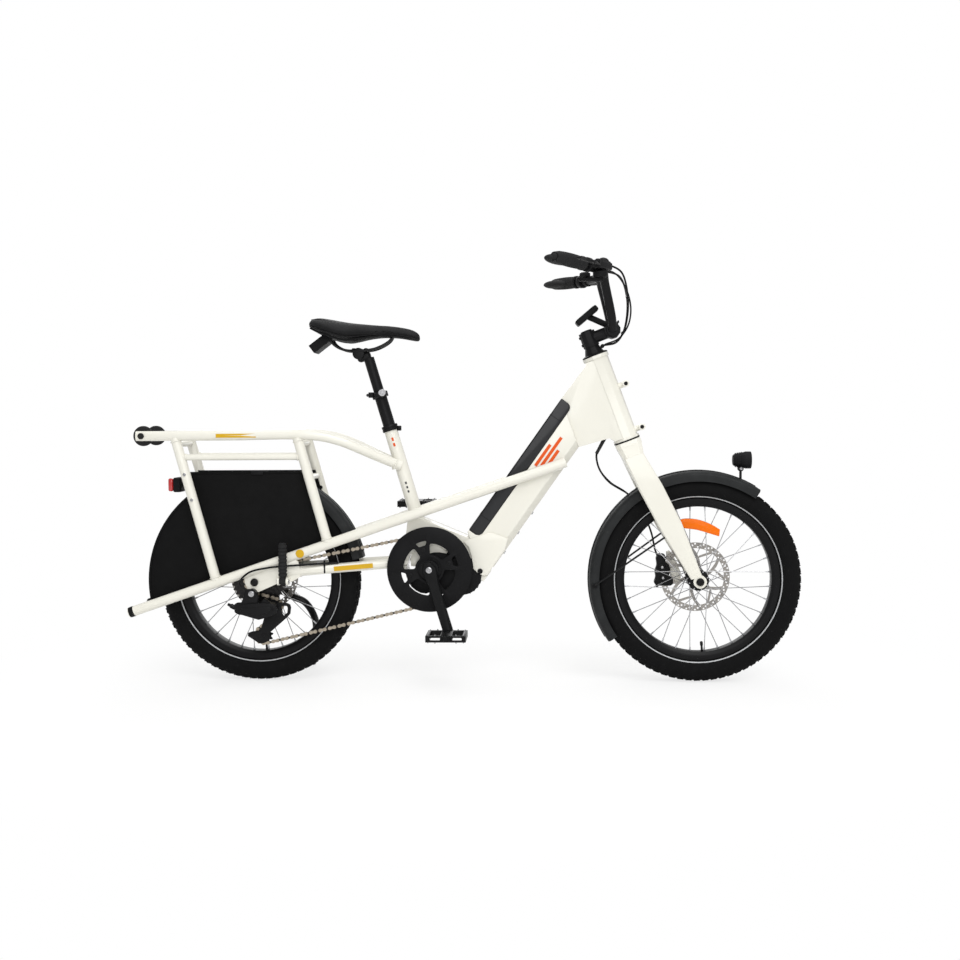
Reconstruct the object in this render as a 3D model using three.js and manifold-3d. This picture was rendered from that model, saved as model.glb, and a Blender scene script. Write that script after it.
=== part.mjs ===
// Longtail cargo bike with a mid drive motor, built tube by tube.
// Millimetres. X runs forward from the rear axle, Y to the rider's left, Z up from the floor.
// The last lines move the whole group, so that the origin is under the middle of the bike.
import * as THREE from 'three';
import { mergeVertices } from 'three/addons/utils/BufferGeometryUtils.js';
import Module from 'manifold-3d';

const wasm = await Module();
wasm.setup();

// Fits shared by all pieces
const GAP = 0.3; // clearance between pieces that touch
const OVERRUN = 5; // how far a cut runs past what it cuts
const WELD = 0.001; // distance under which two corners are one
const RUN_GAP = 1; // clearance of a piece that turns or slides
const ROUND_SIDES = 10; // sides of a frame tube
const SMALL_SIDES = 8; // sides of a thin rod
const TURNED_SIDES = 12; // sides of a hub, cog or bolt head
const BAR_SIDES = 8; // sides of the handlebar
const WHEEL_SIDES = 24; // sides of a tyre, rim or fender circle
const RIGHT = -1; // side of the chain
const LEFT = 1;
const BOTH_SIDES = [['right', RIGHT], ['left', LEFT]];

// Wheels
const WHEELBASE = 1136;
const TYRE_RADIUS = 264;
const TYRE_WIDTH = 62;
const TREAD_FLAT = 24; // width of the band that meets the floor
const RIM_OUTER = 209;
const RIM_INNER = 187;
const RIM_WIDTH = 38;
const SPOKE_RADIUS = 1.2;
const SPOKE_PAIRS = 16;
const FLANGE_RADIUS = 27;
const HUB_RADIUS = 17;
const FRONT_HUB_WIDTH = 110;
const REAR_HUB_WIDTH = 135;
const FRONT_FLANGE_Y = 30;
const REAR_FLANGE_Y = 20.5;
const FLANGE_THICK = 4;
const AXLE_RADIUS = 7.5;
const AXLE_HEAD_RADIUS = 10;
const AXLE_HEAD = 6;
const ROTOR_RADIUS = 90;
const ROTOR_BAND = 15;
const ROTOR_THICK = 2;
const ROTOR_CARRIER = 22;
const ROTOR_ARM = 9;
const ROTOR_ARMS = 6;
const FRONT_ROTOR_Y = 42;
const REAR_ROTOR_Y = 42;

// Drive
const BB_X = 449;
const BB_Z = 295;
const CHAIN_PITCH = 12.7;
const CHAIN_HEIGHT = 8.6;
const CHAIN_WAIST = 6; // height of a link between its pins
const CHAIN_WIDTH = 6.4;
const RING_TEETH = 44;
const COG_TEETH = [11, 13, 15, 18, 21, 24, 28, 34];
const CHAIN_COG = 2; // which cog the chain runs on, counted from the smallest
const COG_PITCH = 4.5;
const COG_THICK = 1.8;
const SMALL_COG_Y = 58;
const PULLEY_TEETH = 11;
const PULLEY_THICK = 2.2;
const GUIDE_X = 43;
const GUIDE_Z = 197;
const CAGE_LENGTH = 78;
const CAGE_LEAN = -20; // degrees of the cage from straight down, as the chain's length is chosen
const GUARD_RADIUS = 109.5;
const GUARD_THICK = 3;
const GUARD_GAP = 5.5;
const GUARD_WINDOW_INNER = 34;
const GUARD_WINDOW_OUTER = 80;
const GUARD_RIB = 15;
const BOLT_CIRCLE = 52;
const RING_BOLT = 5;
const RING_THICK = 2.4;
const RING_BORE = 40;
const SPIDER_ARM = 14;
const CRANK_LENGTH = 165;
const CRANK_LEAN = 17.5; // degrees forward of straight down
const CRANK_ROOT = 19;
const CRANK_TIP = 13;
const CRANK_THICK = 15;
const CRANK_SPREAD = 17; // how far the tip stands further out than the root
const SPINDLE_RADIUS = 10;
const PEDAL_LENGTH = 100;
const PEDAL_WIDTH = 90;
const PEDAL_THICK = 16;
const PEDAL_WALL = 9;
const PEDAL_AXLE = 6;
const PEDAL_OFFSET = 6;

// Main frame
const SEAT_LEAN = 16.5; // degrees back from upright
const SEAT_FOOT_X = 415;
const SEAT_FOOT_Z = 417;
const SEAT_TUBE_RADIUS = 17.5;
const SEAT_TUBE_TOP_Z = 664;
const COLLAR_RADIUS = 21;
const COLLAR_HEIGHT = 15;
const POST_RADIUS = 15.8;
const INNER_POST_RADIUS = 13.6;
const POST_WALL = 1.9;
const QR_RISE = 78; // quick release above the seat tube
const QR_Z = SEAT_TUBE_TOP_Z + QR_RISE;
const LOWER_POST_DEPTH = 159; // lower post inside the seat tube
const LOWER_POST_LIP = 10; // lower post above the quick release
const UPPER_POST_DEPTH = 87; // upper post below the quick release
const UPPER_POST_SHOWN = 96; // upper post above the quick release
const SADDLE_LENGTH = 285;
const SADDLE_HALF = 77;
const SADDLE_BEHIND = 127; // tail of the saddle behind the post's clamp
const HEAD_X = 875; // top of the head tube on the steering axis
const HEAD_Z = 839;
const HEAD_LEAN = 20.5;
const HEAD_LENGTH = 233;
const HEAD_RADIUS = 31;
const HEAD_RING = 34;
const HEAD_RING_HEIGHT = 9;
const DOWN_FOOT_X = 555; // lower rear edge of the down tube
const DOWN_FOOT_Z = 403;
const DOWN_RISE = 54.6; // degrees from level
const DOWN_DEPTH = 108;
const DOWN_WIDTH = 84;
const DOWN_CHAMFER = 16;
const DOWN_UPPER = 400; // length of the rear edge
const DOWN_LOWER = 325; // length of the front edge, measured from the same foot
const BATTERY_LENGTH = 411;
const BATTERY_DEPTH = 34;
const BATTERY_ROUND = 13;
const BATTERY_START = -10;
const MOTOR_RADIUS = 62;
const MOTOR_LOBE_RADIUS = 50;
const MOTOR_LOBE_X = 531;
const MOTOR_LOBE_Z = 277;
const MOTOR_HALF = 42;
const BRACKET_WIDTH = 78;

// Rack
const RAIL_RADIUS = 12.7;
const RACK_HALF = 66; // middle of a top rail from the middle of the bike
const TOP_RAIL_Z = 640;
const TOP_RAIL_TAIL_X = -304;
const TOP_RAIL_BEND_X = 186;
const TOP_RAIL_FALL = 81; // the rail's end on the seat tube, below the rail
const LOWER_RAIL_RADIUS = 13;
const LOWER_TAIL_X = -326;
const LOWER_TAIL_Z = 185.5;
const LOWER_TAIL_HALF = 80;
const LOWER_FRONT_X = 798;
const LOWER_FRONT_Z = 568;
const LOWER_FRONT_HALF = 50;
const REAR_UPRIGHT_X = -204; // where its middle line meets the top rail's
const REAR_UPRIGHT_FOOT_X = -98;
const FRONT_UPRIGHT_X = 112;
const FRONT_UPRIGHT_FOOT_X = 190;
const MID_RAIL_RADIUS = 8;
const MID_RAIL_DROP = 55; // middle rails below the top rails
const CROSS_RADIUS = 8;
const LIGHT_CROSS_Z = 512;
const FENDER_CROSS_Z = 532;
const TAIL_FLAT = 44;
const TAIL_THICK = 15;
const ROLLER_X = -289;
const ROLLER_RADIUS = 26;
const ROLLER_WIDTH = 9;
const ROLLER_AXLE = 4;
const SKIRT_THICK = 3;
const SKIRT_HALF = 51.5;
const SKIRT_RADIUS = 283;
const SKIRT_TOP_Z = 547;

// Frame ends
const STAY_RADIUS = 12.5;
const STAY_REAR_X = 62;
const STAY_REAR_Z = 287;
const STAY_FRONT_X = 392;
const STAY_FRONT_Z = 311;
const STAY_FRONT_HALF = 30;
const DROPOUT_THICK = 8;

// Fork and steering
const CROWN_HEIGHT = 92;
const LEG_INNER = 44;
const LEG_THICK = 22;
const LEG_TIP_THICK = 12;
const DROPOUT_RADIUS = 17;
const STEM_HEIGHT = 45; // stem clamp above the head tube
const STEM_REACH = 63;
const STEM_CLAMP_RADIUS = 21;
const STEM_CLAMP_HALF = 20;
const STEERER_RADIUS = 14.3;
const SPACER_RADIUS = 18;
const SPACER_CONE = 27;
const BAR_CLAMP_RADIUS = 15.9;
const BAR_RADIUS = 11.1;
const BAR_CLAMP_HALF = 30;
const BAR_TOP_X = 888;
const BAR_TOP_Y = 88;
const BAR_TOP_Z = 1043;
const BAR_GRIP_X = 836;
const BAR_GRIP_Y = 205;
const BAR_GRIP_Z = 1050;
const BAR_END_X = 750;
const BAR_END_Y = 332;
const BAR_END_Z = 1056;
const GRIP_RADIUS = 16.5;
const GRIP_LENGTH = 128;
const DISPLAY_LENGTH = 68;
const DISPLAY_WIDTH = 52;
const DISPLAY_THICK = 13;

// Fenders and lamps
const FENDER_RADIUS = 280;
const FENDER_WALL = 2.5;
const FENDER_WIDTH = 72;
const FENDER_SKIRT = 26;
const FRONT_FENDER_FROM = 55.6; // degrees from straight ahead, over the top
const FRONT_FENDER_TO = 215;
const REAR_FENDER_FROM = 12;
const REAR_FENDER_TO = 188;

// Places worked out from the driving dimensions
const radians = THREE.MathUtils.degToRad;
const at = (x, y, z) => new THREE.Vector3(x, y, z);
const HEAD_AXIS = at(-Math.sin(radians(HEAD_LEAN)), 0, Math.cos(radians(HEAD_LEAN)));
const HEAD_FORWARD = at(Math.cos(radians(HEAD_LEAN)), 0, Math.sin(radians(HEAD_LEAN)));
const HEAD_TOP = at(HEAD_X, 0, HEAD_Z);
const HEAD_FOOT = HEAD_TOP.clone().addScaledVector(HEAD_AXIS, -HEAD_LENGTH);
const DOWN_AXIS = at(Math.cos(radians(DOWN_RISE)), 0, Math.sin(radians(DOWN_RISE)));
const DOWN_NORMAL = at(Math.sin(radians(DOWN_RISE)), 0, -Math.cos(radians(DOWN_RISE)));
const DOWN_FOOT = at(DOWN_FOOT_X, 0, DOWN_FOOT_Z);
const BB = at(BB_X, 0, BB_Z);
const REAR_AXLE = at(0, 0, TYRE_RADIUS);
const FRONT_AXLE = at(WHEELBASE, 0, TYRE_RADIUS);

const seatPoint = (z, y = 0) => at(SEAT_FOOT_X - (z - SEAT_FOOT_Z) * Math.tan(radians(SEAT_LEAN)), y, z);
const downPoint = (along, depth, y = 0) => DOWN_FOOT.clone()
  .addScaledVector(DOWN_AXIS, along).addScaledVector(DOWN_NORMAL, depth).setY(y);
const headPoint = (up, forward, y = 0) => HEAD_FOOT.clone()
  .addScaledVector(HEAD_AXIS, up).addScaledVector(HEAD_FORWARD, forward).setY(y);
const between = (a, b, share) => a.clone().lerp(b, share);

// Solids
function signedVolume(corners, faces) {
  let total = 0;
  const [a, b, c] = [at(0, 0, 0), at(0, 0, 0), at(0, 0, 0)];
  for (let face = 0; face < faces.length; face += 3) {
    a.fromArray(corners, 3 * faces[face]);
    b.fromArray(corners, 3 * faces[face + 1]);
    c.fromArray(corners, 3 * faces[face + 2]);
    total += a.dot(b.cross(c));
  }
  return total;
}

function solid(geometry) {
  const bare = geometry.clone();
  bare.deleteAttribute('normal');
  bare.deleteAttribute('uv');
  const merged = mergeVertices(bare, WELD);
  const vertProperties = Float32Array.from(merged.attributes.position.array);
  const index = merged.index.array;
  const kept = [];
  for (let face = 0; face < index.length; face += 3) {
    const [a, b, c] = [index[face], index[face + 1], index[face + 2]];
    if (a !== b && b !== c && c !== a) kept.push(a, b, c);
  }
  if (signedVolume(vertProperties, kept) < 0) kept.reverse();
  return new wasm.Manifold(new wasm.Mesh({ numProp: 3, vertProperties, triVerts: Uint32Array.from(kept) }));
}

const join = (...pieces) => pieces.reduce((whole, piece) => whole.add(piece));
const cut = (whole, ...tools) => tools.reduce((rest, tool) => rest.subtract(tool), whole);

function placed(geometry, origin, xAxis, yAxis, zAxis) {
  const basis = new THREE.Matrix4().makeBasis(xAxis, yAxis, zAxis).setPosition(origin);
  return geometry.applyMatrix4(basis);
}

// A straight rod from a to b, which may taper and may run past both ends
function rod(a, b, radius, { sides = ROUND_SIDES, tip = radius, past = 0 } = {}) {
  const along = b.clone().sub(a).normalize();
  const start = a.clone().addScaledVector(along, -past);
  const end = b.clone().addScaledVector(along, past);
  const turn = new THREE.Quaternion().setFromUnitVectors(at(0, 1, 0), along);
  const geometry = new THREE.CylinderGeometry(tip, radius, start.distanceTo(end), sides);
  geometry.applyQuaternion(turn);
  const middle = between(start, end, 1 / 2);
  return solid(geometry.translate(middle.x, middle.y, middle.z));
}

function polygon(points) {
  return new THREE.Shape(points.map(([x, y]) => new THREE.Vector2(x, y)));
}

const roundOutline = (radius, sides) => polygon(Array.from({ length: sides }, (_, side) => {
  const turn = (side + 1 / 2) * 2 * Math.PI / sides;
  return [radius * Math.cos(turn), radius * Math.sin(turn)];
}));

// A tube bent along a smooth curve through the points
function bentTube(points, radius, { sides = ROUND_SIDES, steps = 6 * points.length } = {}) {
  const extrudePath = new THREE.CatmullRomCurve3(points, false, 'centripetal');
  return solid(new THREE.ExtrudeGeometry(roundOutline(radius, sides),
    { steps, extrudePath, bevelEnabled: false }));
}

// A side view outline with its thickness across the bike
function plate(shape, thick, middleY) {
  const geometry = new THREE.ExtrudeGeometry(shape,
    { depth: thick, bevelEnabled: false, curveSegments: ROUND_SIDES });
  return solid(placed(geometry, at(0, middleY + thick / 2, 0), at(1, 0, 0), at(0, 0, 1), at(0, -1, 0)));
}

const sidePlate = (points, thick, middleY) => plate(polygon(points), thick, middleY);

const sideView = (vectors) => vectors.map((point) => [point.x, point.z]);

// A turned piece about an axis that runs across the bike through centre
function turned(profile, centre, sides = WHEEL_SIDES, start = 0) {
  const points = profile.map(([radius, y]) => new THREE.Vector2(radius, y));
  const geometry = new THREE.LatheGeometry(points, sides, start);
  return solid(geometry.translate(centre.x, centre.y, centre.z));
}

const disc = (centre, radius, y, thick, sides = WHEEL_SIDES) => turned([
  [0, y - thick / 2], [radius, y - thick / 2], [radius, y + thick / 2], [0, y + thick / 2],
], centre, sides);

const band = (centre, inner, outer, y, thick, sides = WHEEL_SIDES) => turned([
  [inner, y - thick / 2], [outer, y - thick / 2], [outer, y + thick / 2], [inner, y + thick / 2],
  [inner, y - thick / 2],
], centre, sides);

// A skin through a list of rings that have the same number of points
function loft(rings) {
  const count = rings[0].length;
  const corners = rings.flat().flatMap((point) => point.toArray());
  const faces = [];
  for (let ring = 0; ring + 1 < rings.length; ring += 1) {
    for (let side = 0; side < count; side += 1) {
      const next = (side + 1) % count;
      const [a, b] = [ring * count + side, ring * count + next];
      faces.push(a, b, a + count, b, b + count, a + count);
    }
  }
  const last = (rings.length - 1) * count;
  for (let side = 1; side + 1 < count; side += 1) {
    faces.push(0, side + 1, side, last, last + side, last + side + 1);
  }
  const geometry = new THREE.BufferGeometry();
  geometry.setAttribute('position', new THREE.Float32BufferAttribute(corners, 3));
  geometry.setIndex(faces);
  return solid(geometry);
}

// A ring of points with cut corners, across the directions u and v
function softRectangle(centre, u, v, halfU, halfV, cornerShare = 1 / 3) {
  const corner = Math.min(halfU, halfV) * cornerShare;
  const offsets = [
    [halfU, halfV - corner], [halfU - corner, halfV], [corner - halfU, halfV], [-halfU, halfV - corner],
    [-halfU, corner - halfV], [corner - halfU, -halfV], [halfU - corner, -halfV], [halfU, corner - halfV],
  ];
  return offsets.map(([a, b]) => centre.clone().addScaledVector(u, a).addScaledVector(v, b));
}

function ellipseRing(centre, u, v, radiusU, radiusV, sides) {
  return Array.from({ length: sides }, (_, side) => {
    const turn = (side + 1 / 2) * 2 * Math.PI / sides;
    return centre.clone().addScaledVector(u, radiusU * Math.cos(turn)).addScaledVector(v,
      radiusV * Math.sin(turn));
  });
}

// Finishes, as seen on the bike
const finish = (color, roughness, metalness = 0) => new THREE.MeshStandardMaterial({ color, roughness,
  metalness });
const CREAM = finish(0xece9dc, 0.35);
const BLACK = finish(0x1b1b1d, 0.5);
const SATIN_BLACK = finish(0x161617, 0.35, 0.4);
const RUBBER = finish(0x1a1a1a, 0.9);
const STEEL = finish(0xb9bcc0, 0.3, 1);
const CHAIN_STEEL = finish(0x9c9488, 0.4, 1);
const RED_LENS = finish(0xa01015, 0.2);
const SKIRT_BLACK = finish(0x0f0f10, 0.7);
const LEATHERETTE = finish(0x17171a, 0.75);

const bike = new THREE.Group();

function piece(name, body, material) {
  const { vertProperties, triVerts } = body.getMesh();
  const geometry = new THREE.BufferGeometry();
  geometry.setAttribute('position', new THREE.BufferAttribute(Float32Array.from(vertProperties), 3));
  geometry.setIndex(new THREE.BufferAttribute(Uint32Array.from(triVerts), 1));
  const mesh = new THREE.Mesh(geometry, material);
  mesh.name = name;
  bike.add(mesh);
}

// Tyres, rims with their spokes and hubs, rotors
const HALF_STEP = Math.PI / WHEEL_SIDES; // turns a wheel so that a flat faces the floor
const TREAD_RADIUS = TYRE_RADIUS / Math.cos(HALF_STEP);
const RIM_LIP = 6;
const RIM_LIP_WALL = 2.6;
const RIM_BED_HALF_SHARE = 0.62;
const RIM_SEAT = RIM_OUTER - RIM_LIP;
const TYRE_SEAT_HALF = RIM_WIDTH / 2 - RIM_LIP_WALL - GAP;
const HUB_CAP_RADIUS = 12;
const HUB_BORE = AXLE_RADIUS + RUN_GAP;
// Half of the tyre section, as shares of its height above the rim seat and of its half width
const TYRE_SECTION_SHARES = [[0.26, 0.86], [0.52, 1], [0.86, 0.8]];

function tyre(centre) {
  const height = TREAD_RADIUS - RIM_SEAT;
  const half = TYRE_WIDTH / 2;
  const flank = [
    [RIM_SEAT + GAP, TYRE_SEAT_HALF], [RIM_OUTER + GAP, TYRE_SEAT_HALF],
    ...TYRE_SECTION_SHARES.map(([up, out]) => [RIM_SEAT + height * up, half * out]),
    [TREAD_RADIUS, TREAD_FLAT / 2],
  ];
  const otherFlank = flank.map(([radius, y]) => [radius, -y]).reverse();
  return turned([...flank, ...otherFlank, flank[0]], centre, WHEEL_SIDES, HALF_STEP);
}

function rim(centre) {
  const half = RIM_WIDTH / 2;
  const section = [
    [RIM_INNER, half * RIM_BED_HALF_SHARE], [RIM_SEAT - RIM_LIP, half], [RIM_OUTER, half],
    [RIM_OUTER, half - RIM_LIP_WALL], [RIM_SEAT, half - RIM_LIP_WALL],
  ];
  const mirrored = section.map(([radius, y]) => [radius, -y]).reverse();
  return turned([...section, ...mirrored, section[0]], centre, WHEEL_SIDES, HALF_STEP);
}

// Each flange holds spokes that lean one way and the other in turn, and cross on the way to the rim
const SPOKE_HOLE_INSET = 3;
const SPOKE_CROSS = 67; // degrees between a spoke's two ends
const SPOKE_RIM_Y = 4;
const SPOKE_SEAT = 4; // how far a spoke reaches into the rim

function wheelPoint(centre, radius, turn, y) {
  return at(centre.x + radius * Math.sin(turn), centre.y + y, centre.z + radius * Math.cos(turn));
}

function spokes(centre, flangeY, reach) {
  const all = [];
  for (let pair = 0; pair < SPOKE_PAIRS; pair += 1) {
    const side = pair % 2 === 0 ? RIGHT : LEFT;
    for (const lean of [-1, 1]) {
      const rimTurn = (pair + lean / 4) * 2 * Math.PI / SPOKE_PAIRS;
      const hubTurn = rimTurn + lean * radians(SPOKE_CROSS);
      const hubEnd = wheelPoint(centre, FLANGE_RADIUS - SPOKE_HOLE_INSET, hubTurn, side * (flangeY + lean));
      const rimEnd = wheelPoint(centre, reach, rimTurn, side * SPOKE_RIM_Y * (1 + lean / 2));
      all.push(rod(hubEnd, rimEnd, SPOKE_RADIUS, { sides: 3 }));
    }
  }
  return wasm.Manifold.union(all);
}

function hub(centre, flangeY, [rightEnd, rightSeat, leftSeat, leftEnd]) {
  const half = FLANGE_THICK / 2;
  const profile = [
    [HUB_BORE, -rightEnd], [HUB_CAP_RADIUS, -rightEnd], [HUB_CAP_RADIUS, -rightSeat],
      [ROTOR_CARRIER, -rightSeat],
    [ROTOR_CARRIER, -flangeY - half], [FLANGE_RADIUS, -flangeY - half], [FLANGE_RADIUS, half - flangeY],
    [HUB_RADIUS, FLANGE_THICK - flangeY], [HUB_RADIUS, flangeY - FLANGE_THICK],
    [FLANGE_RADIUS, flangeY - half], [FLANGE_RADIUS, flangeY + half], [ROTOR_CARRIER, flangeY + half],
    [ROTOR_CARRIER, leftSeat], [HUB_CAP_RADIUS, leftSeat], [HUB_CAP_RADIUS, leftEnd], [HUB_BORE, leftEnd],
    [HUB_BORE, -rightEnd],
  ];
  return turned(profile, centre, TURNED_SIDES);
}

// A flat bar in a plane across the bike's width
function bladeBetween(a, b, wide, thick, y) {
  const along = b.clone().sub(a).normalize();
  const across = at(-along.z, 0, along.x).multiplyScalar(wide / 2);
  const corners = [a.clone().add(across), b.clone().add(across), b.clone().sub(across),
    a.clone().sub(across)];
  return sidePlate(sideView(corners), thick, y);
}

function rotor(centre, y) {
  const ring = band(centre, ROTOR_RADIUS - ROTOR_BAND, ROTOR_RADIUS, y, ROTOR_THICK);
  const middle = band(centre, HUB_CAP_RADIUS + GAP, ROTOR_CARRIER, y, ROTOR_THICK, TURNED_SIDES);
  const arms = Array.from({ length: ROTOR_ARMS }, (_, arm) => {
    const turn = arm * 2 * Math.PI / ROTOR_ARMS;
    const root = wheelPoint(centre, ROTOR_CARRIER - ROTOR_ARM / 2, turn, y);
    const tip = wheelPoint(centre, ROTOR_RADIUS - ROTOR_BAND / 2, turn + Math.PI / ROTOR_ARMS, y);
    return bladeBetween(root, tip, ROTOR_ARM, ROTOR_THICK, y);
  });
  return join(ring, middle, ...arms);
}

const axle = (centre, reach, headSide) => join(
  rod(at(centre.x, -reach, centre.z), at(centre.x, reach, centre.z), AXLE_RADIUS),
  disc(centre, AXLE_HEAD_RADIUS, headSide * (reach + AXLE_HEAD / 2), AXLE_HEAD, ROUND_SIDES),
);

const hubEnd = (width) => width / 2 - GAP;
const flangeOuter = (flangeY) => flangeY + FLANGE_THICK;
const rotorSeat = (rotorY) => rotorY - ROTOR_THICK / 2 - GAP;
const frontHub = hub(FRONT_AXLE, FRONT_FLANGE_Y, [
  hubEnd(FRONT_HUB_WIDTH), flangeOuter(FRONT_FLANGE_Y), rotorSeat(FRONT_ROTOR_Y), hubEnd(FRONT_HUB_WIDTH),
]);
// The freehub takes the rest of the rear hub's width on the right
const REAR_HUB_LIP = 1;
const rearHubRight = flangeOuter(REAR_FLANGE_Y) + REAR_HUB_LIP;
const rearHub = hub(REAR_AXLE, REAR_FLANGE_Y, [
  rearHubRight, flangeOuter(REAR_FLANGE_Y), rotorSeat(REAR_ROTOR_Y), hubEnd(REAR_HUB_WIDTH),
]);
const SPOKE_END = RIM_INNER * Math.cos(HALF_STEP) - GAP; // clear of the flats inside the rim

piece('front_tyre', tyre(FRONT_AXLE), RUBBER);
piece('front_rim', join(rim(FRONT_AXLE), frontHub,
  spokes(FRONT_AXLE, FRONT_FLANGE_Y, RIM_INNER + SPOKE_SEAT)), SATIN_BLACK);
piece('front_rotor', rotor(FRONT_AXLE, FRONT_ROTOR_Y), STEEL);
piece('rear_tyre', tyre(REAR_AXLE), RUBBER);
piece('rear_rim', rim(REAR_AXLE), SATIN_BLACK);
piece('rear_hub', join(rearHub, spokes(REAR_AXLE, REAR_FLANGE_Y, SPOKE_END)), SATIN_BLACK);
piece('rear_rotor', rotor(REAR_AXLE, REAR_ROTOR_Y), STEEL);

// Chain drive, laid out in the plane of the chain
const pitchRadius = (teeth) => teeth * CHAIN_PITCH / (2 * Math.PI);
const CHAIN_Y = RIGHT * (SMALL_COG_Y - CHAIN_COG * COG_PITCH);
const CHAIN_CLEAR = CHAIN_HEIGHT / 2 + RUN_GAP;

function tangentDirection(from, to) {
  const gap = { x: to.x - from.x, z: to.z - from.z };
  const distance = Math.hypot(gap.x, gap.z);
  const lean = Math.asin((from.turn * from.radius - to.turn * to.radius) / distance);
  return Math.atan2(gap.z, gap.x) + lean;
}

const touchPoint = (wheel, heading) => [
  wheel.x + wheel.turn * wheel.radius * Math.sin(heading),
  wheel.z - wheel.turn * wheel.radius * Math.cos(heading),
];

// The closed path of the chain round wheels that are each passed clockwise (-1) or the other way (1)
function chainPath(wheels, arcStep) {
  const headings = wheels.map((wheel, place) => tangentDirection(wheel, wheels[(place + 1) % wheels.length]));
  const points = [];
  let total = 0;
  wheels.forEach((wheel, place) => {
    const arriving = headings[(place + wheels.length - 1) % wheels.length];
    const leaving = headings[place];
    const sweep = ((wheel.turn * (leaving - arriving)) % (2 * Math.PI) + 2 * Math.PI) % (2 * Math.PI);
    const steps = Math.max(1, Math.round(sweep / arcStep));
    for (let step = 0; step <= steps; step += 1) {
      points.push(touchPoint(wheel, arriving + wheel.turn * sweep * step / steps));
    }
    const [startX, startZ] = touchPoint(wheel, leaving);
    const [endX, endZ] = touchPoint(wheels[(place + 1) % wheels.length], leaving);
    total += wheel.radius * sweep + Math.hypot(endX - startX, endZ - startZ);
  });
  return { points, total };
}

function chainWheels(cageTurn) {
  return [
    { x: 0, z: TYRE_RADIUS, radius: pitchRadius(COG_TEETH[CHAIN_COG]), turn: -1 },
    { x: BB_X, z: BB_Z, radius: pitchRadius(RING_TEETH), turn: -1 },
    {
      x: GUIDE_X + CAGE_LENGTH * Math.sin(cageTurn),
      z: GUIDE_Z - CAGE_LENGTH * Math.cos(cageTurn),
      radius: pitchRadius(PULLEY_TEETH),
      turn: -1,
    },
    { x: GUIDE_X, z: GUIDE_Z, radius: pitchRadius(PULLEY_TEETH), turn: 1 },
  ];
}

// The sprung cage takes up the slack, so that the chain closes on whole links
function cageTurnFor(length) {
  let [low, high] = [-Math.PI / 2, Math.PI / 4];
  for (let round = 0; round < 40; round += 1) {
    const middle = (low + high) / 2;
    if (chainPath(chainWheels(middle), Math.PI / 8).total > length) low = middle;
    else high = middle;
  }
  return (low + high) / 2;
}

// A chain has an even number of links, as near as can be to its path with the cage at its usual lean
const CHAIN_LINKS = 2 * Math.round(chainPath(chainWheels(radians(CAGE_LEAN)),
  Math.PI / 8).total / (2 * CHAIN_PITCH));
const CAGE_TURN = cageTurnFor(CHAIN_LINKS * CHAIN_PITCH);
const CHAIN_WHEELS = chainWheels(CAGE_TURN);
const TENSION = at(CHAIN_WHEELS[2].x, 0, CHAIN_WHEELS[2].z);
const GUIDE = at(GUIDE_X, 0, GUIDE_Z);

// The pins stand one pitch apart along the path
function chainPins() {
  const { points } = chainPath(CHAIN_WHEELS, Math.PI / 36);
  const closed = [...points, points[0]].map(([x, z]) => at(x, 0, z));
  const runs = closed.slice(1).map((point, place) => point.distanceTo(closed[place]));
  const pitch = runs.reduce((sum, run) => sum + run, 0) / CHAIN_LINKS;
  const pins = [];
  let walked = 0;
  runs.forEach((run, place) => {
    while (pins.length * pitch < walked + run && pins.length < CHAIN_LINKS) {
      pins.push(between(closed[place], closed[place + 1], (pins.length * pitch - walked) / run));
    }
    walked += run;
  });
  return pins;
}

// Links with a waist between their pins
function chainOfLinks() {
  const pins = chainPins();
  const edge = (way) => pins.flatMap((pin, place) => {
    const next = pins[(place + 1) % pins.length];
    const before = pins[(place + pins.length - 1) % pins.length];
    const across = (from, to) => at(from.z - to.z, 0, to.x - from.x).normalize();
    return [
      pin.clone().addScaledVector(across(before, next), way * CHAIN_HEIGHT / 2),
      between(pin, next, 1 / 2).addScaledVector(across(pin, next), way * CHAIN_WAIST / 2),
    ];
  });
  return cut(
    sidePlate(sideView(edge(1)), CHAIN_WIDTH, CHAIN_Y),
    sidePlate(sideView(edge(-1)), CHAIN_WIDTH + OVERRUN, CHAIN_Y),
  );
}

piece('chain', chainOfLinks(), CHAIN_STEEL);

const COG_CORE = 19;
const TOOTH_RISE = 2.5; // tip of a tooth above the pitch circle
const TOOTH_ROOT = 3.2; // foot of a tooth below it
const FREEHUB_BORE = HUB_CAP_RADIUS + RUN_GAP;

function toothedWheel(centre, teeth, thick, y) {
  const outline = Array.from({ length: 2 * teeth }, (_, corner) => {
    const radius = pitchRadius(teeth) + (corner % 2 === 0 ? TOOTH_RISE : -TOOTH_ROOT);
    return wheelPoint(centre, radius, corner * Math.PI / teeth, 0);
  });
  return sidePlate(sideView(outline), thick, y);
}

// The cog under the chain is cut down to run inside its links
const cogs = COG_TEETH.map((teeth, place) => {
  const y = RIGHT * (SMALL_COG_Y - place * COG_PITCH);
  if (place === CHAIN_COG) return disc(REAR_AXLE, pitchRadius(teeth) - CHAIN_CLEAR, y, COG_THICK,
    TURNED_SIDES);
  return toothedWheel(REAR_AXLE, teeth, COG_THICK, y);
});
const cogStack = COG_PITCH * (COG_TEETH.length - 1);
const cogCore = disc(REAR_AXLE, COG_CORE, RIGHT * (SMALL_COG_Y - cogStack / 2), cogStack + COG_THICK / 2,
  TURNED_SIDES);
const freehubBore = rod(
  REAR_AXLE.clone().setY(-SMALL_COG_Y), REAR_AXLE.clone().setY(0), FREEHUB_BORE,
    { sides: TURNED_SIDES, past: OVERRUN },
);
piece('cassette', cut(join(cogCore, ...cogs), freehubBore), STEEL);

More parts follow.
